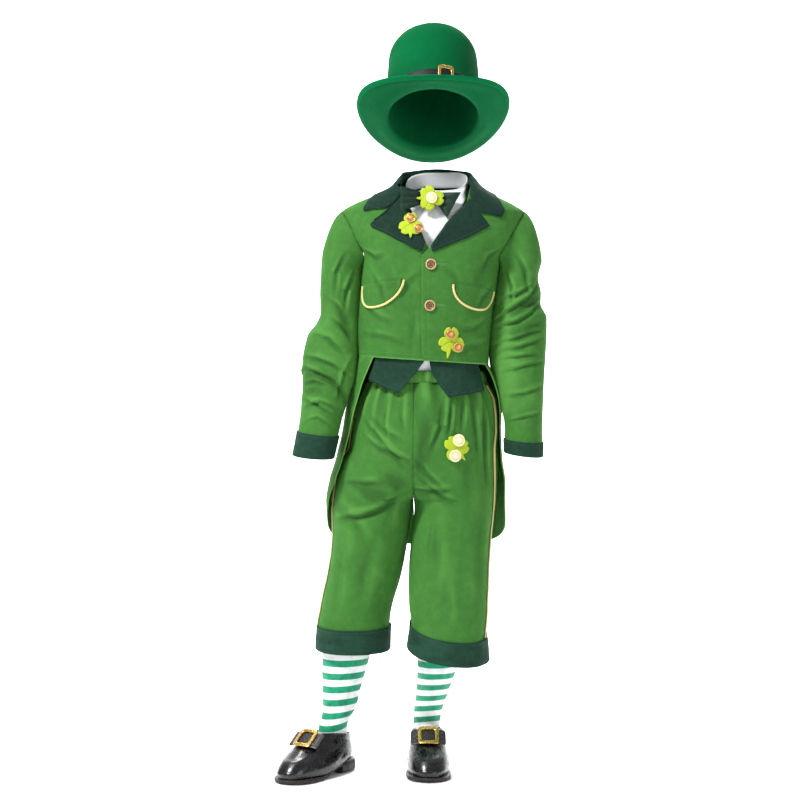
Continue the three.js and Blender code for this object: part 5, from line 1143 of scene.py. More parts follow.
# Cuts of the cloth that shows: width and length in metres, how it is held, what holds it, and its flat area
CUTS = {
    "coat_front_right": (0.2, 0.43, "hung", ("coat_back",), 0.054),
    "coat_front_left": (0.195, 0.435, "hung", ("coat_back",), 0.0535),
    "coat_back": (0.4, 0.435, "hung", ("coat_front_right", "coat_front_left"), 0.11),
    "coat_tail_right": (0.28, 0.505, "hung", ("coat_back",), 0.0895),
    "coat_tail_left": (0.255, 0.47, "hung", ("coat_back",), 0.08),
    "sleeve_right": (0.325, 0.425, "hung", ("coat_front_right", "coat_back"), 0.102),
    "sleeve_left": (0.33, 0.44, "hung", ("coat_front_left", "coat_back"), 0.1045),
    "cuff_right": (0.26, 0.043, "hung", ("sleeve_right",), 0.0103),
    "cuff_left": (0.25, 0.025, "hung", ("sleeve_left",), 0.0059),
    "lapel_right": (0.077, 0.145, "laid", ("coat_front_right",), 0.0049),
    "lapel_left": (0.064, 0.115, "laid", ("coat_front_left",), 0.0045),
    "coat_collar": (0.135, 0.471, "folded", ("coat_back", "coat_front_right", "coat_front_left"), 0.0343),
    "pocket_right": (0.115, 0.044, "laid", ("coat_front_right",), 0.003),
    "pocket_left": (0.107, 0.039, "laid", ("coat_front_left",), 0.0026),
    "waistcoat_point_right": (0.137, 0.076, "hung", ("coat_front_right",), 0.0055),
    "waistcoat_point_left": (0.13, 0.079, "hung", ("coat_front_left",), 0.0067),
    "shirt_front": (0.139, 0.332, "hung", ("shirt_collar",), 0.042),
    "shirt_collar": (0.071, 0.388, "folded", ("shirt_front",), 0.0181),
    "bow_wing_right": (0.045, 0.101, "gathered", ("bow_knot",), 0.003),
    "bow_wing_left": (0.051, 0.088, "gathered", ("bow_knot",), 0.0024),
    "bow_knot": (0.075, 0.023, "folded", ("shirt_collar",), 0.0016),
    "breeches_front_right": (0.23, 0.542, "gathered", ("waistband",), 0.089),
    "breeches_front_left": (0.222, 0.532, "gathered", ("waistband",), 0.093),
    "breeches_back_right": (0.262, 0.545, "gathered", ("waistband",), 0.103),
    "breeches_back_left": (0.275, 0.535, "gathered", ("waistband",), 0.116),
    "hem_band_right": (0.43, 0.042, "hung", ("breeches_front_right", "breeches_back_right"), 0.0174),
    "hem_band_left": (0.478, 0.042, "hung", ("breeches_front_left", "breeches_back_left"), 0.0187),
    "waistband": (0.623, 0.0215, "gathered", ("breeches_front_right", "breeches_front_left"), 0.0126),
    "hat": (0.927, 0.298, "stretched", (), 0.147),
    "hat_band": (0.576, 0.0302, "stretched", ("hat_crown",), 0.0171),
    "stocking_right": (0.296, 0.386, "stretched", ("shoe_upper_right",), 0.064),
    "stocking_left": (0.283, 0.379, "stretched", ("shoe_upper_left",), 0.0635),
}


def cloth(
    name,
    outer,
    thickness,
    inside,
    material,
    closed=False,
    crease=None,
    seams=(),
    hems=(),
    solid_end=False,
    nodes=(),
    trims=(),
):
    """A piece of cloth in place of one solid, sunk at its seams. Gives its points and outward normals."""
    # crease: the cloth's height, which its material turns into painted shade in hollows and painted highlight
    # on ridges
    crease = np.zeros(outer.shape[:2]) if crease is None else np.broadcast_to(crease, outer.shape[:2])
    normals, _ = facing_normals(outer, inside, closed, solid_end)
    if seams:
        outer, crease = sewn(outer, normals, crease, seams, closed)
    values = {"crease": crease, "edge": edge_distance(outer, closed, hems)}
    mesh = shell(outer, thickness, inside, closed, values, solid_end)
    piece(name + "_cloth", mesh, material, nodes or (name,), CUTS.get(name), trims)
    return outer, normals


# Stitches: short threads along a line on the cloth
STITCH = {"pitch": 3.4, "length": 2.5, "radius": 0.32, "sink": 0.1}
THREAD_SIDES = 4


def along_line(points, pitch):
    """Evenly spaced middles and directions along a line of points."""
    lengths = np.linalg.norm(np.diff(points, axis=0), axis=1)
    travelled = np.concatenate([[0], np.cumsum(lengths)])
    places = np.arange(pitch / 2, travelled[-1], pitch)
    middle = np.stack([np.interp(places, travelled, points[:, k]) for k in range(3)], axis=1)
    before = np.stack([np.interp(places - 1, travelled, points[:, k]) for k in range(3)], axis=1)
    after = np.stack([np.interp(places + 1, travelled, points[:, k]) for k in range(3)], axis=1)
    return middle, unit(after - before)


def threads(middles, ways, outward, length, radius):
    """Small spindles of thread, as one mesh."""
    sides = unit(np.cross(ways, outward))
    ups = unit(np.cross(sides, ways))
    stations = [(-0.5, 0.25), (-0.2, 1.0), (0.2, 1.0), (0.5, 0.25)]
    angles = steps(0, 2 * HALF_TURN, THREAD_SIDES, closed=True)
    rings = []
    for place, size in stations:
        centre = middles + ways * (place * length)
        turned = [
            centre + radius * size * (math.cos(a) * sides + math.sin(a) * ups) for a in angles
        ]
        rings.append(np.stack(turned, axis=1))
    verts = np.stack(rings, axis=1).reshape(-1, 3)
    faces = []
    base = np.arange(len(middles)) * THREAD_SIDES * len(stations)
    for ring in range(len(stations) - 1):
        for k in range(THREAD_SIDES):
            n = (k + 1) % THREAD_SIDES
            a, b = ring * THREAD_SIDES, (ring + 1) * THREAD_SIDES
            faces.append(np.stack([base + a + k, base + a + n, base + b + n, base + b + k], axis=1))
    faces = np.concatenate(faces)
    return verts, faces, np.zeros((faces.size, 2)), {"crease": np.zeros(len(verts))}


def stitch_rows(name, lines, material):
    """lines: pairs of a line of points on the cloth and the outward directions there."""
    middles, ways, outwards = [], [], []
    for points, outward in lines:
        middle, way = along_line(points, STITCH["pitch"])
        nearest = np.argmin(np.linalg.norm(middle[:, None] - points[None], axis=-1), axis=1)
        middles.append(middle - outward[nearest] * STITCH["sink"])
        ways.append(way)
        outwards.append(outward[nearest])
    joined = [np.concatenate(part) for part in (middles, ways, outwards)]
    piece(name, threads(*joined, STITCH["length"], STITCH["radius"]), material)


def line_at(outer, normals, edge, distance, trim=0):
    """A line on a grid of cloth at a distance from one of its edges."""
    if edge in ("top", "bottom"):
        outer, normals = outer.swapaxes(0, 1), normals.swapaxes(0, 1)
    if edge in ("end", "bottom"):
        outer, normals = outer[:, ::-1], normals[:, ::-1]
    lengths = arc_lengths(outer, 1)
    rows = range(trim, len(outer) - trim)
    both = []
    for grid in (outer, normals):
        both.append(
            np.array([[np.interp(distance, lengths[j], grid[j, :, k]) for k in range(3)] for j in rows])
        )
    return both[0], unit(both[1])


def through(points, count, axis=0):
    """A smooth line through points, with count steps between each two."""
    p = np.moveaxis(np.asarray(points, float), axis, 0)
    chord = np.maximum(np.linalg.norm(np.diff(p, axis=0), axis=-1, keepdims=True), 1e-6)
    slope = np.diff(p, axis=0) / chord
    inner = (slope[:-1] * chord[1:] + slope[1:] * chord[:-1]) / (chord[1:] + chord[:-1])
    tangents = np.concatenate([slope[:1], inner, slope[-1:]])
    share = np.arange((len(p) - 1) * count + 1) / count
    i = np.minimum(share.astype(int), len(p) - 2)
    t = (share - i).reshape((-1,) + (1,) * (p.ndim - 1))
    start, leave, end, arrive = hermite(t)
    found = start * p[i] + leave * chord[i] * tangents[i]
    found = found + end * p[i + 1] + arrive * chord[i] * tangents[i + 1]
    return np.moveaxis(found, 0, axis)


# The coat's body
ARMHOLE_HALF = ARMHOLE["tall"] + ARMHOLE["margin"]
FRONT_SEAM_TOP = -94


def body_levels():
    below = steps(COAT_HEM, ARMHOLE["z"] - ARMHOLE_HALF, GRID["body"]["below"])[:-1]
    armhole = ARMHOLE["z"] - ARMHOLE_HALF * np.cos(steps(0, HALF_TURN, GRID["body"]["armhole"]))
    above = steps(ARMHOLE["z"] + ARMHOLE_HALF, COAT_TOP, GRID["body"]["above"])[1:]
    return np.concatenate([below, armhole, above])[:, None]


body_z = body_levels()
sewing = {"coat": [], "trim": []}


def rounded_corner(side, z):
    """How far the left front's edge turns in at its rounded lower corner."""
    if side == RIGHT:
        return 0 * z
    t = np.clip((COAT_HEM + HEM_CORNER["z"] - z) / HEM_CORNER["z"], 0, 1)
    return HEM_CORNER["x"] * (1 - np.sqrt(1 - t * t))


for side, word in WORDS.items():
    start = coat_turn(front_edge_x(side, body_z) + rounded_corner(side, body_z), body_z)
    turn = mix(start, side * side_turn(body_z, 1), steps(0, 1, GRID["front"])[None])
    x = ring_point(COAT_RINGS(body_z), turn, body_z)[..., 0]
    outer, normals, moved = coat_surface(turn, body_z, -underlap(side, x, body_z))
    outer, normals = cloth(
        f"coat_front_{word}",
        outer,
        COAT_CLOTH,
        body_core(outer[..., 2]),
        "coat",
        crease=moved,
        seams=("end",),
        hems=("top",),
    )
    if side == LEFT:
        seam = int(np.sum(body_z < FRONT_SEAM_TOP))
        sewing["coat"].append(line_at(outer[:seam], normals[:seam], "start", 12))
    sewing["coat"].append(line_at(outer, normals, "top", 9))

reach = HALF_TURN - side_turn(body_z, -1)
turn = HALF_TURN + steps(-1, 1, GRID["back"])[None] * reach
outer, normals, moved = coat_surface(turn, body_z)
# The back's middle seam sinks, and its dip is also painted shade through the crease colouring.
MIDDLE_SEAM = {"width": 2.6, "depth": 1.1}
middle = np.exp(-(((outer[..., 0] - COAT_RINGS(outer[..., 2])["x"]) / MIDDLE_SEAM["width"]) ** 2))
middle_dip = MIDDLE_SEAM["depth"] * middle
outer = outer - normals * middle_dip[..., None]
cloth(
    "coat_back",
    outer,
    COAT_CLOTH,
    body_core(outer[..., 2]),
    "coat",
    crease=moved - 1.6 * middle_dip,
    seams=("start", "end"),
)

tail_z = steps(COAT_HEM - SEAM_GAP, TAIL_END, GRID["tail"][0])[:, None]
for side, word in WORDS.items():
    turn = side * mix(TAIL_EDGE(tail_z)[word], HALF_TURN - VENT_TURN, steps(0, 1, GRID["tail"][1])[None])
    outer, normals, moved = lifted(
        lambda a, b: ring_point(TAIL_RINGS(b), a, b),
        *np.broadcast_arrays(turn, tail_z),
        body_core(tail_z),
        0,
        lambda p, n: cloth_shift(p, n, TAIL_FOLDS, TAIL_CREASES, 1.1),
    )
    outer, normals = cloth(
        f"coat_tail_{word}",
        outer,
        COAT_CLOTH,
        body_core(outer[..., 2]),
        "coat",
        crease=moved,
        seams=("top",),
        hems=("start",),
    )
    sewing["coat"].append(line_at(outer, normals, "start", 8, 2))
    sewing["coat"].append(line_at(outer, normals, "end", 8, 2))


# Sleeves and cuffs. The sleeves' inner sides lie against the coat: how much fuller they are there
SIDE_TOUCH = Curves(
    "z right left",
    [
        (-410, 0, 0),
        (-360, 5, 9),
        (-306, 9, 19),
        (-266, 9, 18.5),
        (-230, 8.5, 15),
        (-196, 7.5, 12.5),
        (-160, 6, 9),
        (-136, 2, 3),
        (-118, 0, 0),
    ],
)
TOUCH_TURN = 0.8


def sleeve_tube(side, around, z):
    ring = SLEEVE_RINGS[side](z)
    return xyz(
        ring["x"] + side * ring["wide"] * np.cos(around),
        ring["y"] - ring["deep"] * np.sin(around),
        z + ring["roll"] * np.cos(around) + ring["lean"] * np.sin(around),
    )


def sleeve_base(side, around, along):
    turn = side * (QUARTER_TURN - ARMHOLE["reach"] * np.sin(around))
    start = coat_point(turn, ARMHOLE["z"] + ARMHOLE["tall"] * np.cos(around), SEAM_GAP)
    end = sleeve_tube(side, around, SLEEVE_TOP)
    reach = np.linalg.norm(end - start, axis=-1, keepdims=True)
    leave = np.array([side * HEAD_OUTWARD[0], 0, HEAD_OUTWARD[1]]) * reach
    arrive = np.array([side * HEAD_ARRIVAL, 0, -1]) * reach
    weights = hermite(np.clip(along, 0, 1)[..., None])
    head = weights[0] * start + weights[1] * leave + weights[2] * end + weights[3] * arrive
    low = sleeve_tube(side, around, SLEEVE_TOP - (np.maximum(along, 1) - 1) * SLEEVE_STEP)
    return np.where((along >= 1)[..., None], low, head)


def sleeve_axis(side, p):
    ring = SLEEVE_RINGS[side](p[..., 2])
    return xyz(ring["x"], ring["y"], np.minimum(p[..., 2], SLEEVE_AXIS_TOP))


def sleeve_surface(side, around, along, lift=0.0):
    around, along = np.broadcast_arrays(around, along)
    p = sleeve_base(side, around, along)
    outward = unit(p - sleeve_axis(side, p))
    moved = cloth_shift(p, outward, SLEEVE_FOLDS, SLEEVE_CREASES, 1.1)
    against = np.exp(-(((around - HALF_TURN) / TOUCH_TURN) ** 2))
    moved = moved + SIDE_TOUCH(p[..., 2])[WORDS[side]] * against
    return p + outward * (lift + moved)[..., None], outward, moved


def along_sleeve(z):
    return 1 + (SLEEVE_TOP - z) / SLEEVE_STEP


around_sleeve = steps(0, 2 * HALF_TURN, GRID["sleeve"][2], closed=True)[None]
for side, word in WORDS.items():
    top, bottom = CUFFS[side]
    head = steps(0, 1, GRID["sleeve"][0])[:-1]
    rest = steps(1, along_sleeve(top - SLEEVE_IN_CUFF), GRID["sleeve"][1])
    outer, normals, moved = sleeve_surface(side, around_sleeve, np.concatenate([head, rest])[:, None])
    cloth(
        f"sleeve_{word}",
        outer,
        COAT_CLOTH,
        sleeve_axis(side, outer),
        "coat",
        True,
        crease=moved,
        seams=("top",),
    )
    levels = along_sleeve(steps(top, bottom, GRID["cuff"]))[:, None]
    outer, normals, moved = sleeve_surface(side, around_sleeve, levels, TRIM_CLOTH + LIFT)
    outer, normals = cloth(
        f"cuff_{word}", outer, TRIM_CLOTH, sleeve_axis(side, outer), "trim", True, crease=moved
    )
    sewing["trim"].append(line_at(outer, normals, "top", 3))

WAVE = {"lapel": 0.5, "collar": 0.45, "point": 0.7}  # how far each sewn-on piece rises and falls

# Lapels
LAPEL_ROWS = {
    RIGHT: Curves(
        "along inner_x inner_z outer_x outer_z",
        [
            (0, -50, -13, -76, -44),
            (0.2, -45, -24, -105, -67),
            (0.45, -33, -48, -79, -82),
            (0.7, -21, -73, -54, -96),
            (1, -10, -99, -16, -114),
        ],
    ),
    LEFT: Curves(
        "along inner_x inner_z outer_x outer_z",
        [
            (0, 68, -21, 103, -69),
            (0.2, 57, -36, 91, -76),
            (0.45, 38, -53, 75, -85),
            (0.7, 16, -82, 38, -101),
            (1, 0, -105, 3, -115),
        ],
    ),
}
LAPEL_LIFT = {"edge": LIFT + TRIM_CLOTH + 0.3, "roll": 4.6}
LAPEL_FLATTENS = 1.6
LAPEL_ROLL = {"drop": 2.6, "over": 2.4}  # how its roll line turns under

for side, word in WORDS.items():
    row = LAPEL_ROWS[side](steps(0, 1, GRID["lapel"][0])[:, None])
    share = steps(0, 1, GRID["lapel"][1])[None]
    width = np.hypot(row["outer_x"] - row["inner_x"], row["outer_z"] - row["inner_z"])
    roll = LAPEL_ROLL["drop"] * np.exp(-((share * width / LAPEL_ROLL["over"]) ** 2))
    lift = mix(LAPEL_LIFT["roll"], LAPEL_LIFT["edge"], smooth(share * LAPEL_FLATTENS)) - roll
    x, z = mix(row["inner_x"], row["outer_x"], share), mix(row["inner_z"], row["outer_z"], share)
    outer, normals, moved = coat_surface(coat_turn(x, z), z, lift)
    wave = WAVE["lapel"] * noise(outer, (20, 20, 26)) * between(0.2, 1, share)
    outer = outer + normals * wave[..., None]
    outer, normals = cloth(
        f"lapel_{word}", outer, TRIM_CLOTH, body_core(outer[..., 2]), "velvet", crease=moved + wave
    )
    sewing["trim"].append(line_at(outer, normals, "end", 4, 2))

# The coat's collar
NECK = {"x": 12, "y": 12, "wide": 59, "deep": 60}
COLLAR = Curves(
    "turn out top near near_z knee knee_z edge edge_z",
    [
        (0.93, 8, 10, 0.46, -15, 0.43, -45, 0.741, -53),
        (1.1, 3, 18, 0.8, -5, 0.72, -18, 0.82, -34),
        (1.35, 1, 25, 1.2, -1, 1.15, -8, 1.12, -16),
        (1.7, 0, 31, 1.62, 1, 1.6, -4, 1.6, -10),
        (2.2, 0, 37, 2.25, 1, 2.25, -4, 2.25, -12),
        (3.14, 0, 44, 3.14, 1, 3.14, -5, 3.14, -16),
        (4.08, 0, 37, 4.03, 1, 4.03, -4, 4.03, -12),
        (4.58, 0, 31, 4.66, 1, 4.68, -4, 4.68, -10),
        (4.86, 2, 24, 5.05, -1, 5.12, -8, 5.15, -15),
        (5.05, 6, 17, 5.45, -5, 5.52, -17, 5.42, -28),
        (5.17, 13, 11, 5.76, -9, 5.846, -37, 5.528, -42),
    ],
)
COLLAR_FOOT = {"inset": 1.6, "rise": 1}
COLLAR_LIFT = {"near": 5.9, "knee": 3.9, "low": 3.4, "edge": 2.9}
COLLAR_ROLL = [(0.4, 3), (3.4, 0), (6.6, 3)]
COLLAR_CORE = -20


def neck_point(neck, turn, out, z):
    across, forward = (neck["wide"] + out) * np.sin(turn), (neck["deep"] + out) * np.cos(turn)
    return xyz(neck["x"] + across, neck["y"] - forward, z)


def ring_core(neck, out, z, p):
    turn = np.arctan2(p[..., 0] - neck["x"], neck["y"] - p[..., 1])
    return neck_point(neck, turn, out, z)


turn = steps(*COLLAR.at[[0, -1]], GRID["collar"][1])
station = COLLAR(turn)
ring = {key: value.copy() for key, value in COAT_RINGS(np.full(turn.shape, float(COAT_TOP))).items()}
ring["wide"] -= COLLAR_FOOT["inset"]
ring["deep"] -= COLLAR_FOOT["inset"]
rolls = [neck_point(NECK, turn, out + station["out"], station["top"] - drop) for out, drop in COLLAR_ROLL]
near = coat_point(station["near"], station["near_z"], COLLAR_LIFT["near"])
low_turn, low_z = mix(station["knee"], station["edge"], 0.5), mix(station["knee_z"], station["edge_z"], 0.5)
profile = [
    ring_point(ring, turn, COAT_TOP + COLLAR_FOOT["rise"]),
    *rolls,
    mix(rolls[2], near, 0.5),
    near,
    coat_point(station["knee"], station["knee_z"], COLLAR_LIFT["knee"]),
    coat_point(low_turn, low_z, COLLAR_LIFT["low"]),
    coat_point(station["edge"], station["edge_z"], COLLAR_LIFT["edge"]),
]
outer = through(np.stack(profile, axis=1), GRID["collar"][0], axis=1)
inside = ring_core(NECK, COLLAR_ROLL[1][0], COLLAR_CORE, outer)
normals, _ = facing_normals(outer, inside, False)
wave = WAVE["collar"] * noise(outer, (24, 24, 18))
outer = outer + normals * wave[..., None]
outer, normals = cloth("coat_collar", outer, TRIM_CLOTH, inside, "velvet", crease=wave)
sewing["trim"].append(line_at(outer, normals, "end", 4, 2))

# Pockets
POCKETS = {
    RIGHT: {"x": -84, "z": -167, "half": 33, "drop": 43, "slope": 0.15},
    LEFT: {"x": 77, "z": -176, "half": 34, "drop": 38, "slope": -0.17},
}
POCKET_CLOTH = 1.4
POCKET_ROUNDNESS = 0.9
POCKET_END = 0.25
PIPING = {"gap": 0.6, "width": 3.8, "thick": 2, "end": 0.06}
ROPE = {"radius": 2.2, "twist": 5.2, "plies": 2, "depth": 0.2, "wall": 0.6}


def pocket_surface(side, around, down, grow, lift):
    pocket = POCKETS[side]
    share = -power(np.cos(around), POCKET_ROUNDNESS)
    reach = 1 + grow / pocket["half"]
    start = coat_turn(pocket["x"] - pocket["half"], pocket["z"])
    end = coat_turn(pocket["x"] + pocket["half"], pocket["z"])
    turn = mix(start, end, (share * reach + 1) / 2)
    drop = (pocket["drop"] + grow) * power(np.sin(around), POCKET_ROUNDNESS)
    z = pocket["z"] + pocket["slope"] * pocket["half"] * share - down * drop
    return coat_surface(turn, z, lift)


def rope(line, ways, sizes):
    """A twisted cord along a line, as a grid of points with its relief."""
    around = steps(0, 2 * HALF_TURN, GRID["piping"][1], closed=True)[None]
    forward = unit(np.gradient(line, axis=0))
    side_way = unit(np.cross(forward, ways))
    up = unit(np.cross(side_way, forward))
    travelled = np.concatenate([[0], np.cumsum(np.linalg.norm(np.diff(line, axis=0), axis=1))])[:, None]
    turns = sizes["plies"] * (around - 2 * HALF_TURN * travelled / (sizes["plies"] * sizes["twist"]))
    relief = np.abs(np.cos(turns / 2))
    radius = sizes["radius"] * (1 - sizes["depth"] * (1 - relief))
    grid = line[:, None] + radius[..., None] * (
        np.cos(around)[..., None] * side_way[:, None] + np.sin(around)[..., None] * up[:, None]
    )
    return grid, relief


for side, word in WORDS.items():
    around = steps(POCKET_END, HALF_TURN - POCKET_END, GRID["pocket"][1])[None]
    down = steps(0, 1, GRID["pocket"][0])[:, None]
    outer, normals, moved = pocket_surface(side, around, down, 0, LIFT + POCKET_CLOTH)
    inside = body_core(outer[..., 2])
    outer, normals = cloth(
        f"pocket_{word}", outer, POCKET_CLOTH, inside, "coat", crease=moved - 0.6, seams=("top",)
    )
    sewing["coat"].append(line_at(outer, normals, "top", 5, 3))
    around = steps(PIPING["end"], HALF_TURN - PIPING["end"], GRID["piping"][0])
    middle_of = PIPING["gap"] + PIPING["width"] / 2
    line, ways, _ = pocket_surface(side, around, 0 * around + 1, middle_of, LIFT + PIPING["thick"] / 2)
    grid, relief = rope(line, ways, ROPE)
    mesh = shell(grid, ROPE["radius"] * ROPE["wall"], line[:, None], True, {"crease": relief})
    piece(f"pocket_piping_{word}_cord", mesh, "braid", (f"pocket_piping_{word}",))


# Discs: buttons and studs lie flat on the cloth under them. Their edge rounds over from a share of the
# radius and keeps a share of its height.
DISC_EDGE = 0.93
DISC_RIM = 0.1


def disc(frame_point, radius, heights, shades):
    """A turned disc. heights and shades: pairs of a share of its radius and the value there.

    Its rings lie closer where the edge rounds over.
    """
    shares = np.concatenate([steps(0, 0.94, GRID["disc"][0]), [0.97, 0.99, 1.0]])
    around = steps(0, 2 * HALF_TURN, GRID["disc"][1], closed=True)
    s, a = np.meshgrid(shares, around, indexing="ij")
    rise = np.interp(s, *zip(*heights))
    over = np.clip((s - DISC_EDGE) / (1 - DISC_EDGE), 0, 1)
    height = rise * np.sqrt(mix(DISC_RIM, 1, 1 - over**2))
    top = frame_point(radius * s * np.cos(a), radius * s * np.sin(a), height)
    return top, np.interp(s, *zip(*shades))


def flat_frame(surface, x, z, lift):
    """A flat frame lying on a surface: across, up and outward."""
    middle = surface(np.array(x), np.array(z), lift)
    right, left = (surface(np.array(x + step), np.array(z), lift) for step in (4, -4))
    over, under = (surface(np.array(x), np.array(z + step), lift) for step in (4, -4))
    across = unit(right - left)
    up = over - under
    outward = unit(np.cross(across, up))
    up = unit(np.cross(outward, across))
    outward = outward if outward[1] < 0 else -outward

    def place(a, b, height):
        return middle + a[..., None] * across + b[..., None] * up + height[..., None] * outward

    return place, outward


def disc_piece(name, node, place, radius, heights, shades, material, holes=()):
    top, shade = disc(place, radius, heights, shades)
    zero = np.zeros(1)
    centre = place(zero, zero, zero)
    outward = unit(place(zero, zero, zero + 1) - centre)[0]
    for x, z, size in holes:
        offset = top - place(np.array([x]), np.array([z]), zero)[0]
        flat = np.linalg.norm(offset - (offset @ outward)[..., None] * outward, axis=-1)
        sink = np.clip(HOLE["depth"] * (1 - (flat / size) ** 4), 0, HOLE["deepest"])
        top = top - outward * sink[..., None]
        # painted shade in the holes
        shade = shade * (1 - np.clip(sink, 0, 1))
    rim = top[-1] - outward * ((top[-1] - centre) @ outward)[..., None]
    grid = np.concatenate([top, rim[None]])
    mesh = solid_mesh(grid, np.concatenate([shade, shade[-1:]]), len(top), True)
    return piece(name, mesh, material, (node,))


BUTTONS = [(0.3, -138), (-1.5, -210)]
BUTTON_RADIUS = 10
BUTTON_RELIEF = [(0, 1.3), (0.4, 1.35), (0.58, 1.7), (0.7, 2.7), (0.84, 3.1), (0.96, 2.6), (1, 2)]
# BUTTON_SHADE: painted shade at the foot of the raised rim and painted highlight on its top, by share of the
# radius
BUTTON_SHADE = [(0, 0.62), (0.45, 0.66), (0.6, 0.2), (0.72, 0.7), (0.86, 1), (1, 0.7)]
HOLE = {"reach": 2.1, "radius": 1.15, "depth": 1.6, "deepest": 1.5}
BUTTONHOLE = {"from": 12, "to": 27}
BUTTON_THREAD = (6.4, 0.55)  # length and radius
HOLE_THREAD = (1.9, 0.42)
hole_places = [(a * HOLE["reach"], b * HOLE["reach"]) for a in (-1, 1) for b in (-1, 1)]
button_threads = []
buttonholes = []
for number, (x, z) in enumerate(BUTTONS):
    place, outward = flat_frame(coat_front, x, z, SEAM_GAP + 0.3)
    disc_piece(
        f"button_{number + 1}_disc",
        f"button_{number + 1}",
        place,
        BUTTON_RADIUS,
        BUTTON_RELIEF,
        BUTTON_SHADE,
        "button",
        [(a, b, HOLE["radius"]) for a, b in hole_places],
    )
    for slope in (-1, 1):
        ends = np.array([-1.0, 0.0, 1.0]) * HOLE["reach"]
        button_threads.append((place(ends, slope * ends, np.array([1.1, 1.9, 1.1])), outward))
    along = steps(BUTTONHOLE["from"], BUTTONHOLE["to"], 20)
    buttonholes.append((x + along, z + 0.4 * np.sin(along)))

middles = np.array([line[1] for line, _ in button_threads])
ways = unit(np.array([line[2] - line[0] for line, _ in button_threads]))
outs = np.array([outward for _, outward in button_threads])
piece("button_threads", threads(middles, ways, outs, *BUTTON_THREAD), "dark_thread")
middles, ways, outs = [], [], []
for x, z in buttonholes:
    for shift in (-1.1, 1.1):
        points, normal, _ = coat_surface(coat_turn(x, z + shift), z + shift, 0.1)
        middles.append(points)
        ways.append(np.tile([0, 0, 1.0], (len(points), 1)))
        outs.append(normal)
middles, ways, outs = (np.concatenate(part) for part in (middles, ways, outs))
piece("buttonhole_stitches", threads(middles, ways, outs, *HOLE_THREAD), "thread")

# Waistcoat points
POINTS = {
    RIGHT: ((-9, -98), [(-12, -309), (-34, -338), (-56.5, -366), (-84, -357), (-110, -346)]),
    LEFT: ((-4, 88), [(2, -329), (17, -349), (32, -368), (64, -361), (95, -353)]),
}
POINT_TOP = -291
POINT_CLOTH = 1.6
POINT_FLARE = {"by": 8, "top": -304, "bottom": -366}
for side, word in WORDS.items():
    (top_from, top_to), low = POINTS[side]
    column = steps(0, 4, GRID["point"][1])[None]
    low_x, low_z = (np.interp(column, range(5), values) for values in zip(*low))
    down = steps(0, 1, GRID["point"][0])[:, None]
    x, z = mix(mix(top_from, top_to, column / 4), low_x, down), mix(POINT_TOP, low_z, down)
    flare = POINT_FLARE["by"] * between(POINT_FLARE["top"], POINT_FLARE["bottom"], z)
    outer, normals, moved = coat_surface(coat_turn(x, z), z, flare - POINT_DEPTH)
    ripple = WAVE["point"] * noise(outer, (18, 18, 40)) * smooth(down * 1.4)
    outer = outer + normals * ripple[..., None]
    outer, normals = cloth(
        f"waistcoat_point_{word}", outer, POINT_CLOTH, body_core(outer[..., 2]), "trim", crease=moved + ripple
    )
    sewing["trim"].append(line_at(outer, normals, "bottom", 4.5, 3))

# The shirt
SHIRT = Curves(
    "z x half",
    [
        (-20, 8, 42),
        (-40, 6, 59),
        (-60, 4, 66),
        (-120, 1, 70),
        (-230, -9, 70),
        (-300, -12, 66),
        (-336, -12, 58),
    ],
)
SHIRT_EDGE = {"depth": 3.5, "top": (-40, -70), "low": (-290, -266)}  # its sides lie nearer the coat
TUCK = {"depth": 3.2, "z": (-298, -322)}  # its end goes inside the breeches
SHIRT_FOLDS = [
    ([(-8, -88, -24), (-14, -88, -60), (-4, -88, -104)], 5, -1.6),
    ([(22, -88, -30), (30, -88, -56), (20, -88, -92)], 5, -1.4),
    ([(-4, -84, -300), (-8, -84, -318), (-10, -84, -332)], 5, -1.2),
    ([(-30, -84, -296), (-26, -84, -316), (-20, -84, -330)], 5, -1.2),
]
z = steps(*SHIRT.at[[-1, 0]], GRID["shirt"][0])[:, None]
share = steps(-1, 1, GRID["shirt"][1])[None]
row = SHIRT(z)
edge = between(0.7, 1, np.abs(share)) * between(*SHIRT_EDGE["top"], z) * between(*SHIRT_EDGE["low"], z)
x = row["x"] + row["half"] * share
front = coat_surface(coat_turn(x, z), z, -mix(SHIRT_DEPTH, SHIRT_EDGE["depth"], edge))[0]
tucked = waist_surface(*np.broadcast_arrays(x, z), -TUCK["depth"])
outer = mix(front, tucked, between(*TUCK["z"], z)[..., None])
inside = body_core(outer[..., 2])
normals, _ = facing_normals(outer, inside, False)
moved = fold_shift(outer, SHIRT_FOLDS) + 0.5 * noise(outer, (20, 20, 34)) - 0.4
cloth("shirt_front", outer + normals * moved[..., None], SHIRT_CLOTH, inside, "shirt", crease=moved)

SHIRT_NECK = {"x": 12, "y": 12, "wide": 53, "deep": 53.5}
SHIRT_OPENING = -0.2
SHIRT_STATIONS = [
    (0.05, 35, 43),
    (0.45, 49, 36),
    (0.95, 58, 24),
    (1.45, None, 0),
    (2, None, 0),
    (2.57, None, 0),
    (3.14, None, 0),
    (3.71, None, 0),
    (4.28, None, 0),
    (4.83, None, 0),
    (5.33, -50, 24),
    (5.83, -43, 36),
    (6.23, -34, 43),
]
LEAF_LENGTH = 27
SHIRT_ROLL = [(0, 4), (0.4, 1.6), (1.8, 0), (3.6, 2.4)]
SHIRT_CORE = -16


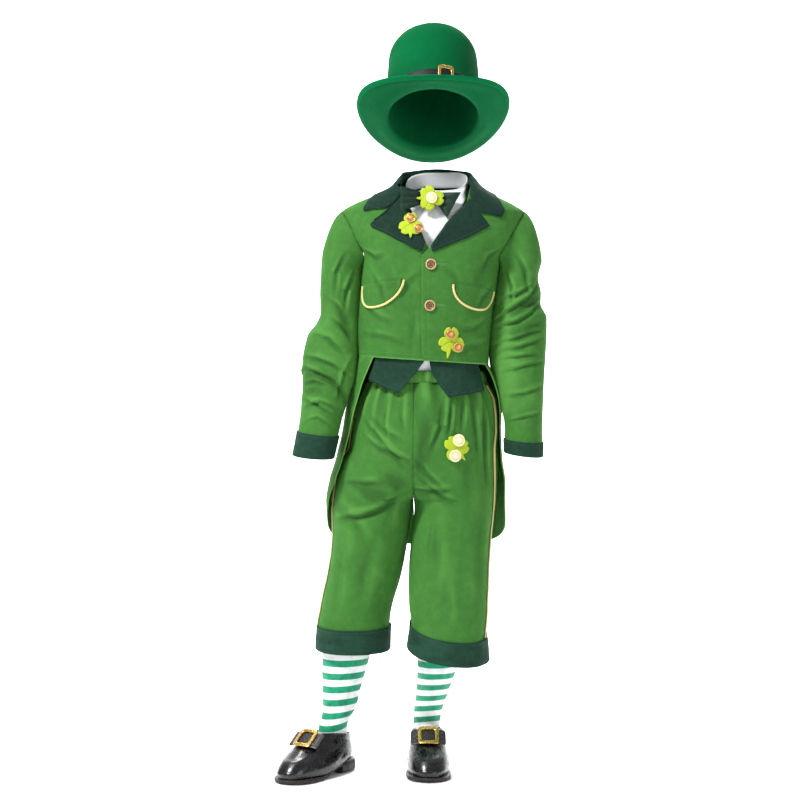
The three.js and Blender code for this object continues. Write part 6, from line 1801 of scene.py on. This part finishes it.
def shirt_collar_row(turn_from, leaf_x, drop):
    turn = SHIRT_OPENING + turn_from
    rise = smooth((1 - math.cos(turn_from)) / 2)
    top = mix(-5, 36, rise)
    rolls = [neck_point(SHIRT_NECK, turn, out, top - down) for out, down in SHIRT_ROLL]
    if leaf_x is None:
        edge = neck_point(SHIRT_NECK, turn, 4, top - LEAF_LENGTH)
    else:
        edge = coat_front(np.array(leaf_x + 1.0), np.array(-float(drop)), -LEAF_DEPTH)
    leaf = [mix(rolls[3], edge, 0.2), mix(rolls[3], edge, 0.55)]
    if leaf_x is not None:
        leaf = [coat_front(p[0], p[2], -LEAF_DEPTH) for p in leaf]
    foot = neck_point(SHIRT_NECK, turn, 0, mix(-15, 8, rise))
    return np.stack([foot, *rolls, *leaf, edge])


down_steps, around_steps = GRID["shirt_collar"]
outer = through(np.stack([shirt_collar_row(*row) for row in SHIRT_STATIONS]), around_steps)
outer = through(outer, down_steps, axis=1)
inside = ring_core(SHIRT_NECK, SHIRT_ROLL[2][0], SHIRT_CORE, outer)
cloth("shirt_collar", outer, SHIRT_CLOTH, inside, "shirt", crease=0.5 * noise(outer, (16, 16, 12)))

# The bow tie
BOW = {"y": -63.2, "z": -20, "knot_half": 10.8, "knot_tall": 13, "knot_deep": 10.5}
BOW_CLOTH = 1.6
WING = {"start": 0.5, "puff": 3, "flare": 3, "narrow": 9, "core": 2, "reach": 50}
WING.update(pleat=3.2, pleats=3, crumple=0.9)
BOW_WINGS = {
    RIGHT: {"x": -53, "z": -22, "y": -81.6, "slant_x": 0, "tall": 22, "slant_y": 3},
    LEFT: {"x": 41, "z": -33, "y": -71.6, "slant_x": 12, "tall": 22, "slant_y": 0},
}
for side, word in WORDS.items():
    wing = BOW_WINGS[side]
    height = steps(-1, 1, GRID["wing"][1])[None]
    around = steps(0, HALF_TURN, GRID["wing"][0])[:, None]
    out = np.sin(around)
    pleat = WING["pleat"] * np.cos(height * HALF_TURN * WING["pleats"]) * out * (1 - out)
    crumple = WING["crumple"] * noise(xyz(60 * height, 30 * around, 9.0 + side), (16, 40, 1)) * out
    outer = xyz(
        mix(side * (BOW["knot_half"] + WING["start"]), wing["x"] + wing["slant_x"] * height, out),
        mix(BOW["y"], wing["y"] + wing["slant_y"] * height, out)
        - np.cos(around) * (WING["puff"] + WING["flare"] * out + pleat + crumple),
        mix(BOW["z"] + WING["narrow"] * height, wing["z"] + wing["tall"] * height, out),
    )
    share = np.minimum(1, np.abs(outer[..., 0]) / WING["reach"])
    inside = xyz(outer[..., 0] - side * WING["core"], mix(BOW["y"], wing["y"], share), outer[..., 2])
    cloth(f"bow_wing_{word}", outer, BOW_CLOTH, inside, "bow", crease=1.3 * (pleat + crumple))

around = steps(0, 2 * HALF_TURN, GRID["knot"][1], closed=True)[None]
share = steps(-1, 1, GRID["knot"][0])[:, None]
wrinkle = 0.6 * noise(xyz(share * 11, 20 * np.sin(around), 20 * np.cos(around)), (4, 20, 20))
outer = xyz(
    BOW["knot_half"] * share + 0 * around,
    BOW["y"] - (BOW["knot_deep"] + wrinkle) * np.cos(around),
    BOW["z"] + (BOW["knot_tall"] - share**2 + wrinkle) * np.sin(around),
)
inside = xyz(outer[..., 0], BOW["y"], BOW["z"])
cloth("bow_knot", outer, BOW_CLOTH, inside, "bow", True, crease=2 * wrinkle)

# Breeches
PICOT = {"at": 0.58, "width": 0.24, "pitch": 4.2, "core": 0.6, "core_width": 0.16}
HEM_BAND = {"flare": 1.6, "fuller": 0.5, "crumple": 0.8}
for side, word in WORDS.items():
    seam = SIDE_SEAM[side]
    top, bottom = HEMS[side]
    z = steps(BRAID_TOP, top + 2, GRID["braid"][0])[:, None]
    across = steps(-1, 1, GRID["braid"][1])[None]
    psi = seam + across * BRAID_WIDTH / (2 * BREECHES_RINGS[side](z)["deep"])
    picots = np.exp(-(((np.abs(across) - PICOT["at"]) / PICOT["width"]) ** 2))
    picots = picots * np.abs(np.cos(HALF_TURN * z / PICOT["pitch"]))
    relief = np.maximum(picots, PICOT["core"] * np.exp(-((across / PICOT["core_width"]) ** 2)))
    outer, normals, _ = breeches_surface(side, psi, z, BRAID_LIFT + BRAID_CLOTH - 0.4 + 0.8 * relief)
    inside = leg_axis(side, np.broadcast_to(z, outer.shape[:2]))
    mesh = shell(outer, BRAID_CLOTH, inside, False, {"crease": relief})
    braid = piece(f"side_braid_{word}_woven", mesh, "braid", (f"side_braid_{word}",))
    z = steps(WAISTBAND_BOTTOM - SEAM_GAP, bottom + PANEL_IN_HEM, GRID["breeches"][0])[:, None]
    share = steps(0, 1, GRID["breeches"][1])[None]
    halves = {
        "front": mix(first_psi(z), seam - SIDE_SEAM_GAP, share),
        "back": mix(seam + SIDE_SEAM_GAP, 2 * HALF_TURN - first_psi(z), share),
    }
    for half, psi in halves.items():
        outer, normals, moved = breeches_surface(side, psi, z)
        gathers = gather_shift(side, psi, np.broadcast_to(z, psi.shape))
        cloth(
            f"breeches_{half}_{word}",
            outer,
            COAT_CLOTH,
            leg_axis(side, np.broadcast_to(z, psi.shape)),
            "coat",
            crease=moved + 0.8 * gathers,
            seams=("start", "end", "top"),
            trims=(braid,) if half == "front" else (),
        )
    z = steps(top, bottom, GRID["hem_band"][0])[:, None]
    psi = steps(0, 2 * HALF_TURN, GRID["hem_band"][1], closed=True)[None]
    flare = HEM_BAND["flare"] * smooth((top - z) / (top - bottom))
    outer, normals, moved = breeches_surface(side, psi, z, LIFT + TRIM_CLOTH + flare)
    crumple = HEM_BAND["fuller"] + HEM_BAND["crumple"] * noise(outer, (34, 34, 8))
    outer = outer + normals * crumple[..., None]
    inside = leg_axis(side, np.broadcast_to(z, outer.shape[:2]))
    crease = moved + 2 * crumple
    outer, normals = cloth(f"hem_band_{word}", outer, TRIM_CLOTH, inside, "trim", True, crease=crease)
    sewing["trim"].append(line_at(outer, normals, "top", 3.5))

RIPPLE = {"depth": 0.75, "count": 40, "wander": 3, "at_edge": 0.6, "fuller": 0.8}
turn = steps(0, 2 * HALF_TURN, GRID["waistband"][1], closed=True)[None]
z = steps(WAISTBAND_TOP, WAISTBAND_BOTTOM, GRID["waistband"][0])[:, None]
turn, z = np.broadcast_arrays(turn, z)
sides = []
for side, psi in ((LEFT, turn + QUARTER_TURN), (RIGHT, 5 * QUARTER_TURN - turn)):
    middle = np.sin(HALF_TURN * (WAISTBAND_TOP - z) / (WAISTBAND_TOP - WAISTBAND_BOTTOM))
    wobble = noise(xyz(turn * 100, 0 * z, z * 2), (30, 1, 60))
    waves = RIPPLE["depth"] * np.cos(RIPPLE["count"] * turn + RIPPLE["wander"] * wobble)
    ripple = waves * mix(RIPPLE["at_edge"], 1, middle) + RIPPLE["fuller"] * middle
    sides.append(smooth_breeches(side, psi, z, ripple))
outer = np.where((turn < HALF_TURN)[..., None], sides[0], sides[1])
inside = xyz(0 * turn, 5, z)
outer, normals = cloth("waistband", outer, COAT_CLOTH, inside, "coat", True, crease=1.8 * ripple)
sewing["coat"].append(line_at(outer, normals, "top", 4))
sewing["coat"].append(line_at(outer, normals, "bottom", 4))

# Shamrock brooches
SHAMROCK = {"thick": 2.4, "gap": 0.5, "cloth": 1.9}
LEAVES = {"count": 3, "between": 0.47, "roundness": 0.62, "stem": 0.56, "stem_width": 0.12}
NOTCH = {"depth": 0.17, "width": 0.16}
BOW_BEND = 0.002


def bow_front(x, z, lift):
    return xyz(x, BOW["y"] - BOW["knot_deep"] - lift + BOW_BEND * (x**2 + (z - BOW["z"]) ** 2), z)


BROOCHES = [
    ("bow", bow_front, 0.9, 0.5, -21, 24, 0, 3.14),
    ("lapel", coat_front, 5.2, -35, -69, 22, 1.57, -1.57),
    ("coat", coat_front, 0.8, 36, -270, 24, 1.57, -1.8),
    ("breeches", breeches_front, 1.2, 44, -461, 24, 2.3, -0.9),
]
STUDS = [
    ("bow", 1.5, -20, 10, "cream"),
    ("lapel", -34, -59, 8.5, "copper"),
    ("lapel", -21, -77, 8.5, "copper"),
    ("coat", 34, -259, 9, "copper"),
    ("coat", 47, -280, 9, "copper"),
    ("breeches", 48.6, -447, 11, "cream"),
    ("breeches", 42, -474, 11, "cream"),
]
STUD_MIDDLE = [(0, 4.0), (0.3, 3.8), (0.5, 3.5), (0.56, 2.9), (0.66, 3.3)]
STUD_RELIEF = STUD_MIDDLE + [(0.74, 2.6), (0.86, 2.9), (0.95, 2.6), (1, 1.6)]
# STUD_SHADE: painted shade in the grooves and painted highlight on the raised rings, by share of the radius
STUD_SHADE = [(0, 0.85), (0.45, 0.75), (0.56, 0.1), (0.66, 0.9), (0.74, 0.1), (0.87, 1), (1, 0.5)]


def leaf_radius(turn, size, upright, stem):
    place = (LEAVES["count"] / 2) * (turn - upright)
    lobe = np.abs(np.cos(place)) ** LEAVES["roundness"]
    away = np.arctan2(np.sin(turn - stem), np.cos(turn - stem))
    stalk = LEAVES["stem"] * np.exp(-((away / LEAVES["stem_width"]) ** 2))
    notch = NOTCH["depth"] * np.exp(-((np.sin(place) / NOTCH["width"]) ** 2))
    return size * (mix(LEAVES["between"], 1, lobe) - notch + stalk)


for name, surface, lift, x, z, size, upright, stem in BROOCHES:
    along, round_it = GRID["shamrock"]
    around = steps(0, 2 * HALF_TURN, round_it, closed=True)[None]
    share = np.concatenate([steps(0.02, 0.92, along), [0.95, 0.975, 1.0]])[:, None]
    reach = leaf_radius(around, size, upright, stem) * share
    vein = np.exp(-((np.sin((LEAVES["count"] / 2) * (around - upright)) * share / 0.07) ** 2))
    vein = vein * between(1.0, 0.7, share)
    rounded = 1 - np.clip((share - 0.9) / 0.1, 0, 1) ** 2 * 0.75
    height = SHAMROCK["thick"] * rounded - 0.7 * vein + 0.3 * np.sin(HALF_TURN * share)
    top = surface(x + reach * np.cos(around), z + reach * np.sin(around), lift + height)
    inside = top.mean(axis=(0, 1)) + [0, 40, 0]
    # the sunk veins get painted shade through the cloth's crease colouring
    values = {"crease": (0.5 - 2.6 * vein)[::-1], "edge": np.full(vein.shape, NO_EDGE)}
    mesh = shell(top[::-1], SHAMROCK["cloth"], inside, True, values)
    piece(f"shamrock_{name}_felt", mesh, "shamrock", (f"shamrock_{name}",))
for number, (name, x, z, radius, material) in enumerate(STUDS):
    surface, lift = next((row[1], row[2]) for row in BROOCHES if row[0] == name)
    index = sum(1 for row in STUDS[:number] if row[0] == name) + 1
    place, _ = flat_frame(surface, x, z, lift + SHAMROCK["thick"] + SHAMROCK["gap"] - 0.2)
    disc_piece(
        f"stud_{name}_{index}_disc", f"stud_{name}_{index}", place, radius, STUD_RELIEF, STUD_SHADE, material
    )

# The hat, in its own frame, tipped back
HAT = {"x": 6, "y": 25, "z": 128, "tilt": -0.454}
# Rows of the felt from the brim's edge to the crown's top: half width, half depth, height, curl (rise of the
# brim's sides) and dip (fall of its front)
HAT_ROWS = [
    (137, 154, 6, 26, 13),
    (133, 150, 3, 24, 12),
    (112, 127, 0, 13, 6),
    (90, 104, 1, 2, 1),
    (84, 97.5, 5, 0, 0),
    (84.5, 97, 14, 0, 0),
    (84, 96, 44, 0, 0),
    (82, 93, 108, 0, 0),
    (79, 90, 136, 0, 0),
    (69, 79, 155, 0, 0),
    (48, 55, 166, 0, 0),
    (0, 0, 171, 0, 0),
]
HAT_CORE = 40
HAT_BAND = {"bottom": 14, "top": 44, "cloth": 1.2}
HAT_BUCKLE = {"turn": 0.25, "z": 33, "bend": 94}
HAT_BUCKLE.update(half_wide=15.5, half_tall=19, opening=0.62, thick=2.4)


def worn_hat(p):
    """From the hat's frame to the costume's."""
    cosine, sine = math.cos(HAT["tilt"]), math.sin(HAT["tilt"])
    x, y, z = np.moveaxis(p, -1, 0)
    return xyz(HAT["x"] + x, HAT["y"] + cosine * y - sine * z, HAT["z"] + sine * y + cosine * z)


def crown_point(turn, z, lift):
    low, high = HAT_ROWS[5], HAT_ROWS[6]
    share = (z - low[2]) / (high[2] - low[2])
    wide, deep = (mix(low[k], high[k], share) + lift for k in (0, 1))
    return xyz(wide * np.sin(turn), -deep * np.cos(turn), z)


rows = through(np.array(HAT_ROWS, float), GRID["hat"][0])
rows[:, :2] = np.maximum(rows[:, :2], 0)
wide, deep, height, curl, dip = (rows[:, k][:, None] for k in range(5))
turn = steps(0, 2 * HALF_TURN, GRID["hat"][1], closed=True)[None]
rise = curl * np.sin(turn) ** 2 - dip * np.maximum(np.cos(turn), 0) ** 2
outer = xyz(wide * np.sin(turn), -deep * np.cos(turn), height + rise)
inside = xyz(outer[..., 0] / 2, outer[..., 1] / 2, outer[..., 2] - HAT_CORE)
normals, _ = facing_normals(outer, inside, True, True)
dents = 0.8 * noise(outer, (70, 70, 60)) * np.minimum(1, wide / 40)
dents = dents + 0.3 * noise(outer, 22) * np.minimum(1, wide / 60)
under_band = between(8, 14, outer[..., 2]) * between(50, 44, outer[..., 2])
outer = outer + normals * (dents * (1 - under_band))[..., None]
cloth(
    "hat",
    worn_hat(outer),
    FELT,
    worn_hat(inside),
    "felt",
    True,
    crease=dents,
    hems=("top",),
    solid_end=True,
    nodes=("hat_crown", "hat_brim"),
)
z = steps(HAT_BAND["bottom"], HAT_BAND["top"], GRID["hat_band"])[:, None]
soft = 0.25 * noise(xyz(60 * np.sin(turn), 60 * np.cos(turn), z), (26, 26, 9))
outer = crown_point(turn, z, SEAM_GAP + HAT_BAND["cloth"] + 0.3 + soft)
cloth(
    "hat_band",
    worn_hat(outer),
    HAT_BAND["cloth"],
    worn_hat(xyz(0 * outer[..., 0], 0, outer[..., 2])),
    "ribbon",
    True,
    crease=2 * soft,
)

FRAME_CORNER = 0.3
SECTION_CORNER = 0.55


def frame_grid(sizes, surface, lift):
    """A rectangular frame with soft corners and rounded bars. surface(across, up, lift) gives its points."""
    around = steps(0, 2 * HALF_TURN, GRID["frame"][1], closed=True)[None]
    section = steps(0, 2 * HALF_TURN, GRID["frame"][0])[:, None]
    share = 0.5 - 0.5 * power(np.cos(section), SECTION_CORNER)
    height = 0.5 * sizes["thick"] * (1 + power(np.sin(section), SECTION_CORNER))
    scale = mix(1, sizes["opening"], share)
    across = sizes["half_wide"] * scale * power(np.cos(around), FRAME_CORNER)
    up = sizes["half_tall"] * scale * power(np.sin(around), FRAME_CORNER)
    return surface(across, up, lift + height)


def frame_piece(name, node, grid):
    """A solid frame from a grid that closes both ways."""
    grid = grid[:-1]
    mesh = solid_mesh(grid, np.zeros(grid.shape[:2]), len(grid), True)
    piece(name, mesh, "gold", (node,))


def on_crown(across, up, lift):
    return worn_hat(crown_point(HAT_BUCKLE["turn"] + across / HAT_BUCKLE["bend"], HAT_BUCKLE["z"] + up, lift))


grid = frame_grid(HAT_BUCKLE, on_crown, SEAM_GAP + HAT_BAND["cloth"] + LIFT)
frame_piece("hat_buckle_frame", "hat_buckle", grid)

# Shoes
FLOOR = -1045
SHOES = {RIGHT: (-152, 19, -0.61), LEFT: (-6, 65, 0.02)}
UPPER_RINGS = [
    (0, 184, 37, 0, 0),
    (-2, 184, 38.5, 34, 20),
    (-1, 175, 37, 46, 31),
    (1, 158, 35, 54, 42),
    (2, 138, 32.5, 60, 54),
    (3, 118, 31, 64, 68),
    (4, 104, 30, 66, 78),
]
SOLE = Curves(
    "long half bottom",
    [
        (-3, 9, 1),
        (3, 22, 0),
        (16, 31, 0),
        (36, 33, 0),
        (53, 32, 0),
        (54.5, 32, 13),
        (76, 32, 7.5),
        (100, 36, 2.7),
        (125, 40, 0),
        (150, 39, 0),
        (170, 31, 0.5),
        (182, 18, 1.5),
        (187, 6, 2.5),
    ],
)
SHOE_ROUNDNESS = 2.4
SOLE_END = 0.02  # how small the ring is that closes the sole's ends
UPPER_GAP = 0.9
LEATHER = 1.8
STRAP = {"long": 118, "z": 68, "slope": 0.66, "half_wide": 31, "half": 16}
STRAP.update(thick=2.2, bend=5, lift=1.6)
SHOE_BUCKLE = {"half_wide": 18.5, "half_tall": 20, "opening": 0.66, "thick": 2.8}
SOLE_RISE = {"heel": 22, "tread": 8, "from": 22, "to": 117}
APRON_SIDE = [(96, 27, 62), (126, 27, 46), (150, 22, 38), (164, 12, 34)]
APRON = APRON_SIDE + [(168, 0, 33)] + [(long, -wide, z) for long, wide, z in reversed(APRON_SIDE)]
SHOE_CREASES = [
    ([(112, -24, 54), (120, 0, 60), (112, 24, 54)], 5, -1.3),
    ([(128, -26, 44), (134, 0, 52), (128, 26, 44)], 4, -1.0),
    ([(40, 36, 40), (60, 37, 30), (76, 37, 20)], 6, -0.9),
    ([(40, -36, 40), (60, -37, 30), (76, -37, 20)], 6, -0.9),
]


def sole_top(long):
    return mix(SOLE_RISE["heel"], SOLE_RISE["tread"], between(SOLE_RISE["from"], SOLE_RISE["to"], long))


def shoe_place(side, long, wide, z):
    x, y, turn_out = SHOES[side]
    return xyz(
        x + long * math.sin(turn_out) + wide * math.cos(turn_out),
        y - long * math.cos(turn_out) + wide * math.sin(turn_out),
        FLOOR + z,
    )


def plate_point(side, wide, up, lift):
    back = lift - STRAP["bend"] * (wide / STRAP["half_wide"]) ** 2
    cosine, sine = math.cos(STRAP["slope"]), math.sin(STRAP["slope"])
    long = STRAP["long"] - cosine * up + sine * back
    return shoe_place(side, long, wide, STRAP["z"] + sine * up + cosine * back)


for side, word in WORDS.items():
    upper_steps, round_upper = GRID["upper"]
    rings = through(np.array(UPPER_RINGS, float), upper_steps)
    start, end, half, heel_z, toe_z = (rings[:, k][:, None] for k in range(5))
    around = steps(0, 2 * HALF_TURN, round_upper, closed=True)[None]
    forward = power(np.cos(around), 2 / SHOE_ROUNDNESS)
    long = mix(start, end, (1 + forward) / 2)
    waist = 1 - 0.06 * between(100, 40, long)
    wide = half * waist * power(np.sin(around), 2 / SHOE_ROUNDNESS)
    row = np.arange(len(rings))[:, None] / upper_steps
    level = mix(heel_z, toe_z, smooth((1 + forward) / 2))
    low = sole_top(long) + UPPER_GAP
    z = np.where(row < 1, mix(low, np.maximum(level[upper_steps], low), row), level)
    p = np.stack(np.broadcast_arrays(long, wide, z), axis=-1)
    inside = np.stack(np.broadcast_arrays(mix(long, 80, 0.5), wide / 2, 0 * z + 30), axis=-1)
    normals, _ = facing_normals(p, inside, True)
    seam = fold_shift(p, [(APRON, 1.6, -1.6)]) + fold_shift(p, [(APRON, 5.5, 1.5)])
    moved = seam + fold_shift(p, SHOE_CREASES) + 0.25 * noise(p, (24, 24, 18))
    p = p + normals * moved[..., None]
    outer = shoe_place(side, p[..., 0], p[..., 1], p[..., 2])
    # the apron seam's raised edge and other ridges get painted highlight through the leather's relief
    # colouring
    cloth(
        f"shoe_upper_{word}",
        outer,
        LEATHER,
        shoe_place(side, inside[..., 0], inside[..., 1], inside[..., 2]),
        "leather",
        True,
        crease=moved,
    )
    long = np.concatenate([[-2.9], steps(-2, 52.6, 30), [53.4, 54, 54.6], steps(56, 186, 60), [186.9]])
    stations = SOLE(long)
    section = steps(0, 2 * HALF_TURN, GRID["sole"], closed=True)[None]
    top, bottom = sole_top(long)[:, None], stations["bottom"][:, None]
    wide = stations["half"][:, None] * power(np.cos(section), 0.3)
    z = mix(bottom, top, 0.5 + 0.5 * power(np.sin(section), 0.3))
    body = np.stack(np.broadcast_arrays(long[:, None], wide, z), axis=-1)
    ends = [mix(row.mean(axis=1, keepdims=True), row, SOLE_END) for row in (body[:1], body[-1:])]
    body = np.concatenate([ends[0], body, ends[1]])
    grid = shoe_place(side, *np.moveaxis(body, -1, 0))
    # painted highlight along the sole's upper edge, through the leather's relief colouring
    welt = between(0.6, 0.95, body[..., 2] / np.maximum(sole_top(body[..., 0]), 1))
    mesh = solid_mesh(grid, 0.9 * welt, len(grid) - 1)
    piece(f"shoe_sole_{word}_rubber", mesh, "sole", (f"shoe_sole_{word}",))

    up_steps, across_steps = GRID["strap"]
    across, up = steps(-1, 1, across_steps)[None], steps(-1, 1, up_steps)[:, None]
    corner = 1 - 0.06 * np.clip((np.abs(up) - 0.7) / 0.3, 0, 1) ** 2
    border = between(1.0, 0.85, np.abs(across)) * between(1.0, 0.8, np.abs(up))
    tooled = 0.35 * np.sin(across * 22) * np.sin(up * 11) * border
    lift = STRAP["lift"] + STRAP["thick"] - 0.4 + tooled
    outer = plate_point(side, STRAP["half_wide"] * across * corner, STRAP["half"] * up, lift)
    inside = plate_point(side, 0 * across, 0 * up, -60.0)
    # the raised tooling gets painted highlight through the leather's relief colouring
    cloth(f"shoe_strap_{word}", outer, STRAP["thick"], inside, "strap", crease=2.4 * tooled)
    grid = frame_grid(
        SHOE_BUCKLE,
        lambda a, b, height: plate_point(side, a, b, height),
        STRAP["lift"] + STRAP["thick"] + SEAM_GAP,
    )
    frame_piece(f"shoe_buckle_{word}_frame", f"shoe_buckle_{word}", grid)

# Stockings
STOCKING_LEGS = {
    RIGHT: [
        (-148, 12, -800, 46, 48),
        (-153, 10, -850, 41, 44),
        (-160, 7, -900, 33, 38),
        (-164, 2, -935, 28, 33),
    ],
    LEFT: [
        (20, -22, -800, 42, 48),
        (13, -12, -856, 36, 44),
        (3, 8, -912, 29, 36),
        (-3, 20, -940, 26, 32),
    ],
}
# Rings of the foot: how far forward and up, half width, half depth and how far it leans forward
STOCKING_FOOT = [
    (38, 84, 24.5, 28, 0),
    (40, 66, 24.5, 29, 0.3),
    (46, 52, 25, 30, 0.78),
    (68, 44, 27, 22, 1.25),
    (100, 34, 29, 18, 1.53),
    (133, 27, 31, 13, 1.57),
    (158, 23, 26, 9, 1.57),
    (170, 21, 16, 6, 1.57),
    (175, 20, 0, 0, 1.57),
]
KNIT = 1.2
TIP_SCALE = 60  # makes a ring's lean count like its sizes where the line through the rings is worked out
for side, word in WORDS.items():
    turn_out = SHOES[side][2]
    rings = [(x, y, z, wide, half, 0) for x, y, z, wide, half in STOCKING_LEGS[side]]
    for long, z, wide, half, tip in STOCKING_FOOT:
        rings.append((*shoe_place(side, long, 0, z), wide, half, TIP_SCALE * tip))
    rings = through(np.array(rings, float), GRID["stocking"][0])
    x, y, z, wide, half, tip = (rings[:, k][:, None] for k in range(6))
    tip, wide, half = tip / TIP_SCALE, np.maximum(wide, 0), np.maximum(half, 0)
    around = steps(0, 2 * HALF_TURN, GRID["stocking"][1], closed=True)[None]
    fore = xyz(math.sin(turn_out) * np.cos(tip), -math.cos(turn_out) * np.cos(tip), np.sin(tip))
    sideways = np.array([math.cos(turn_out), math.sin(turn_out), 0])
    outer = xyz(x, y, z) + (wide * np.sin(around))[..., None] * sideways
    outer = outer + (half * np.cos(around))[..., None] * fore
    inside = np.broadcast_to(xyz(x, y, z), outer.shape)
    normals, _ = facing_normals(outer, inside, True, True)
    moved = (0.7 * noise(outer, (60, 60, 14)) + 0.35 * noise(outer, (30, 30, 8))) * np.minimum(1, half / 20)
    outer = outer + normals * moved[..., None]
    cloth(
        f"stocking_{word}", outer, KNIT, inside, "stocking", True, crease=moved, solid_end=True
    )

# Sewing that shows
stitch_rows("coat_stitches", sewing["coat"], "thread")
stitch_rows("trim_stitches", sewing["trim"], "dark_thread")


# Floor, light and camera, in metres
STAGE_SIZE = 14
WALL_Y = 5.0
FLOOR_GAP = 0.0005


def backdrop():
    m = Nodes("pale_floor")
    shade = m.blend(m.spread(m.noise(1.5, 2), 0.3, 0.7), colour(250, 250, 250), colour(244, 245, 246))
    m.link(shade, m.shader.inputs["Base Color"])
    socket(m.shader, Roughness=0.9)
    MATERIALS["floor"] = m.material
    bpy.ops.mesh.primitive_plane_add(size=STAGE_SIZE, location=(0, 0, FLOOR * MM - FLOOR_GAP))
    floor = bpy.context.object
    floor.name = "floor"
    bpy.ops.mesh.primitive_plane_add(size=STAGE_SIZE, location=(0, WALL_Y, 0), rotation=(QUARTER_TURN, 0, 0))
    wall = bpy.context.object
    wall.name = "wall"
    for sheet in (floor, wall):
        sheet.data.materials.append(m.material)


def area_light(name, place, aim, size, energy):
    light = bpy.data.lights.new(name, "AREA")
    light.shape = "DISK"
    light.size = size
    light.energy = energy
    lamp = bpy.data.objects.new(name, light)
    lamp.location = place
    lamp.rotation_euler = (Vector(aim) - Vector(place)).to_track_quat("-Z", "Y").to_euler()
    bpy.context.collection.objects.link(lamp)


backdrop()
MIDDLE = (-0.03, 0, -0.35)
# Lights: place and aim in metres, size in metres and power in watts
LIGHTS = {
    "key": ((-1.9, -1.7, 2.5), MIDDLE, 0.7, 190),
    "fill": ((2.2, -2.8, 0.2), MIDDLE, 1.6, 22),
    "wall_wash": ((0.0, 1.6, 2.6), (0.0, WALL_Y, 0.0), 3.0, 520),
    "rim": ((0.8, 2.6, 1.6), MIDDLE, 1.6, 50),
}
for name, light in LIGHTS.items():
    area_light(name, *light)
AMBIENT = 0.36
world = bpy.data.worlds.new("studio")
world.use_nodes = True
world.node_tree.nodes["Background"].inputs["Color"].default_value = (1, 1, 1, 1)
world.node_tree.nodes["Background"].inputs["Strength"].default_value = AMBIENT
bpy.context.scene.world = world
bpy.context.scene.view_settings.view_transform = "Standard"

CAMERA = {"place": Vector((-0.054, -3.6, -0.290)), "aim": Vector((-0.054, 0, -0.378)), "lens": 90}
camera_data = bpy.data.cameras.new("camera")
camera_data.lens = CAMERA["lens"]
camera = bpy.data.objects.new("camera", camera_data)
camera.location = CAMERA["place"]
camera.rotation_euler = (CAMERA["aim"] - CAMERA["place"]).to_track_quat("-Z", "Y").to_euler()
bpy.context.collection.objects.link(camera)
bpy.context.scene.camera = camera
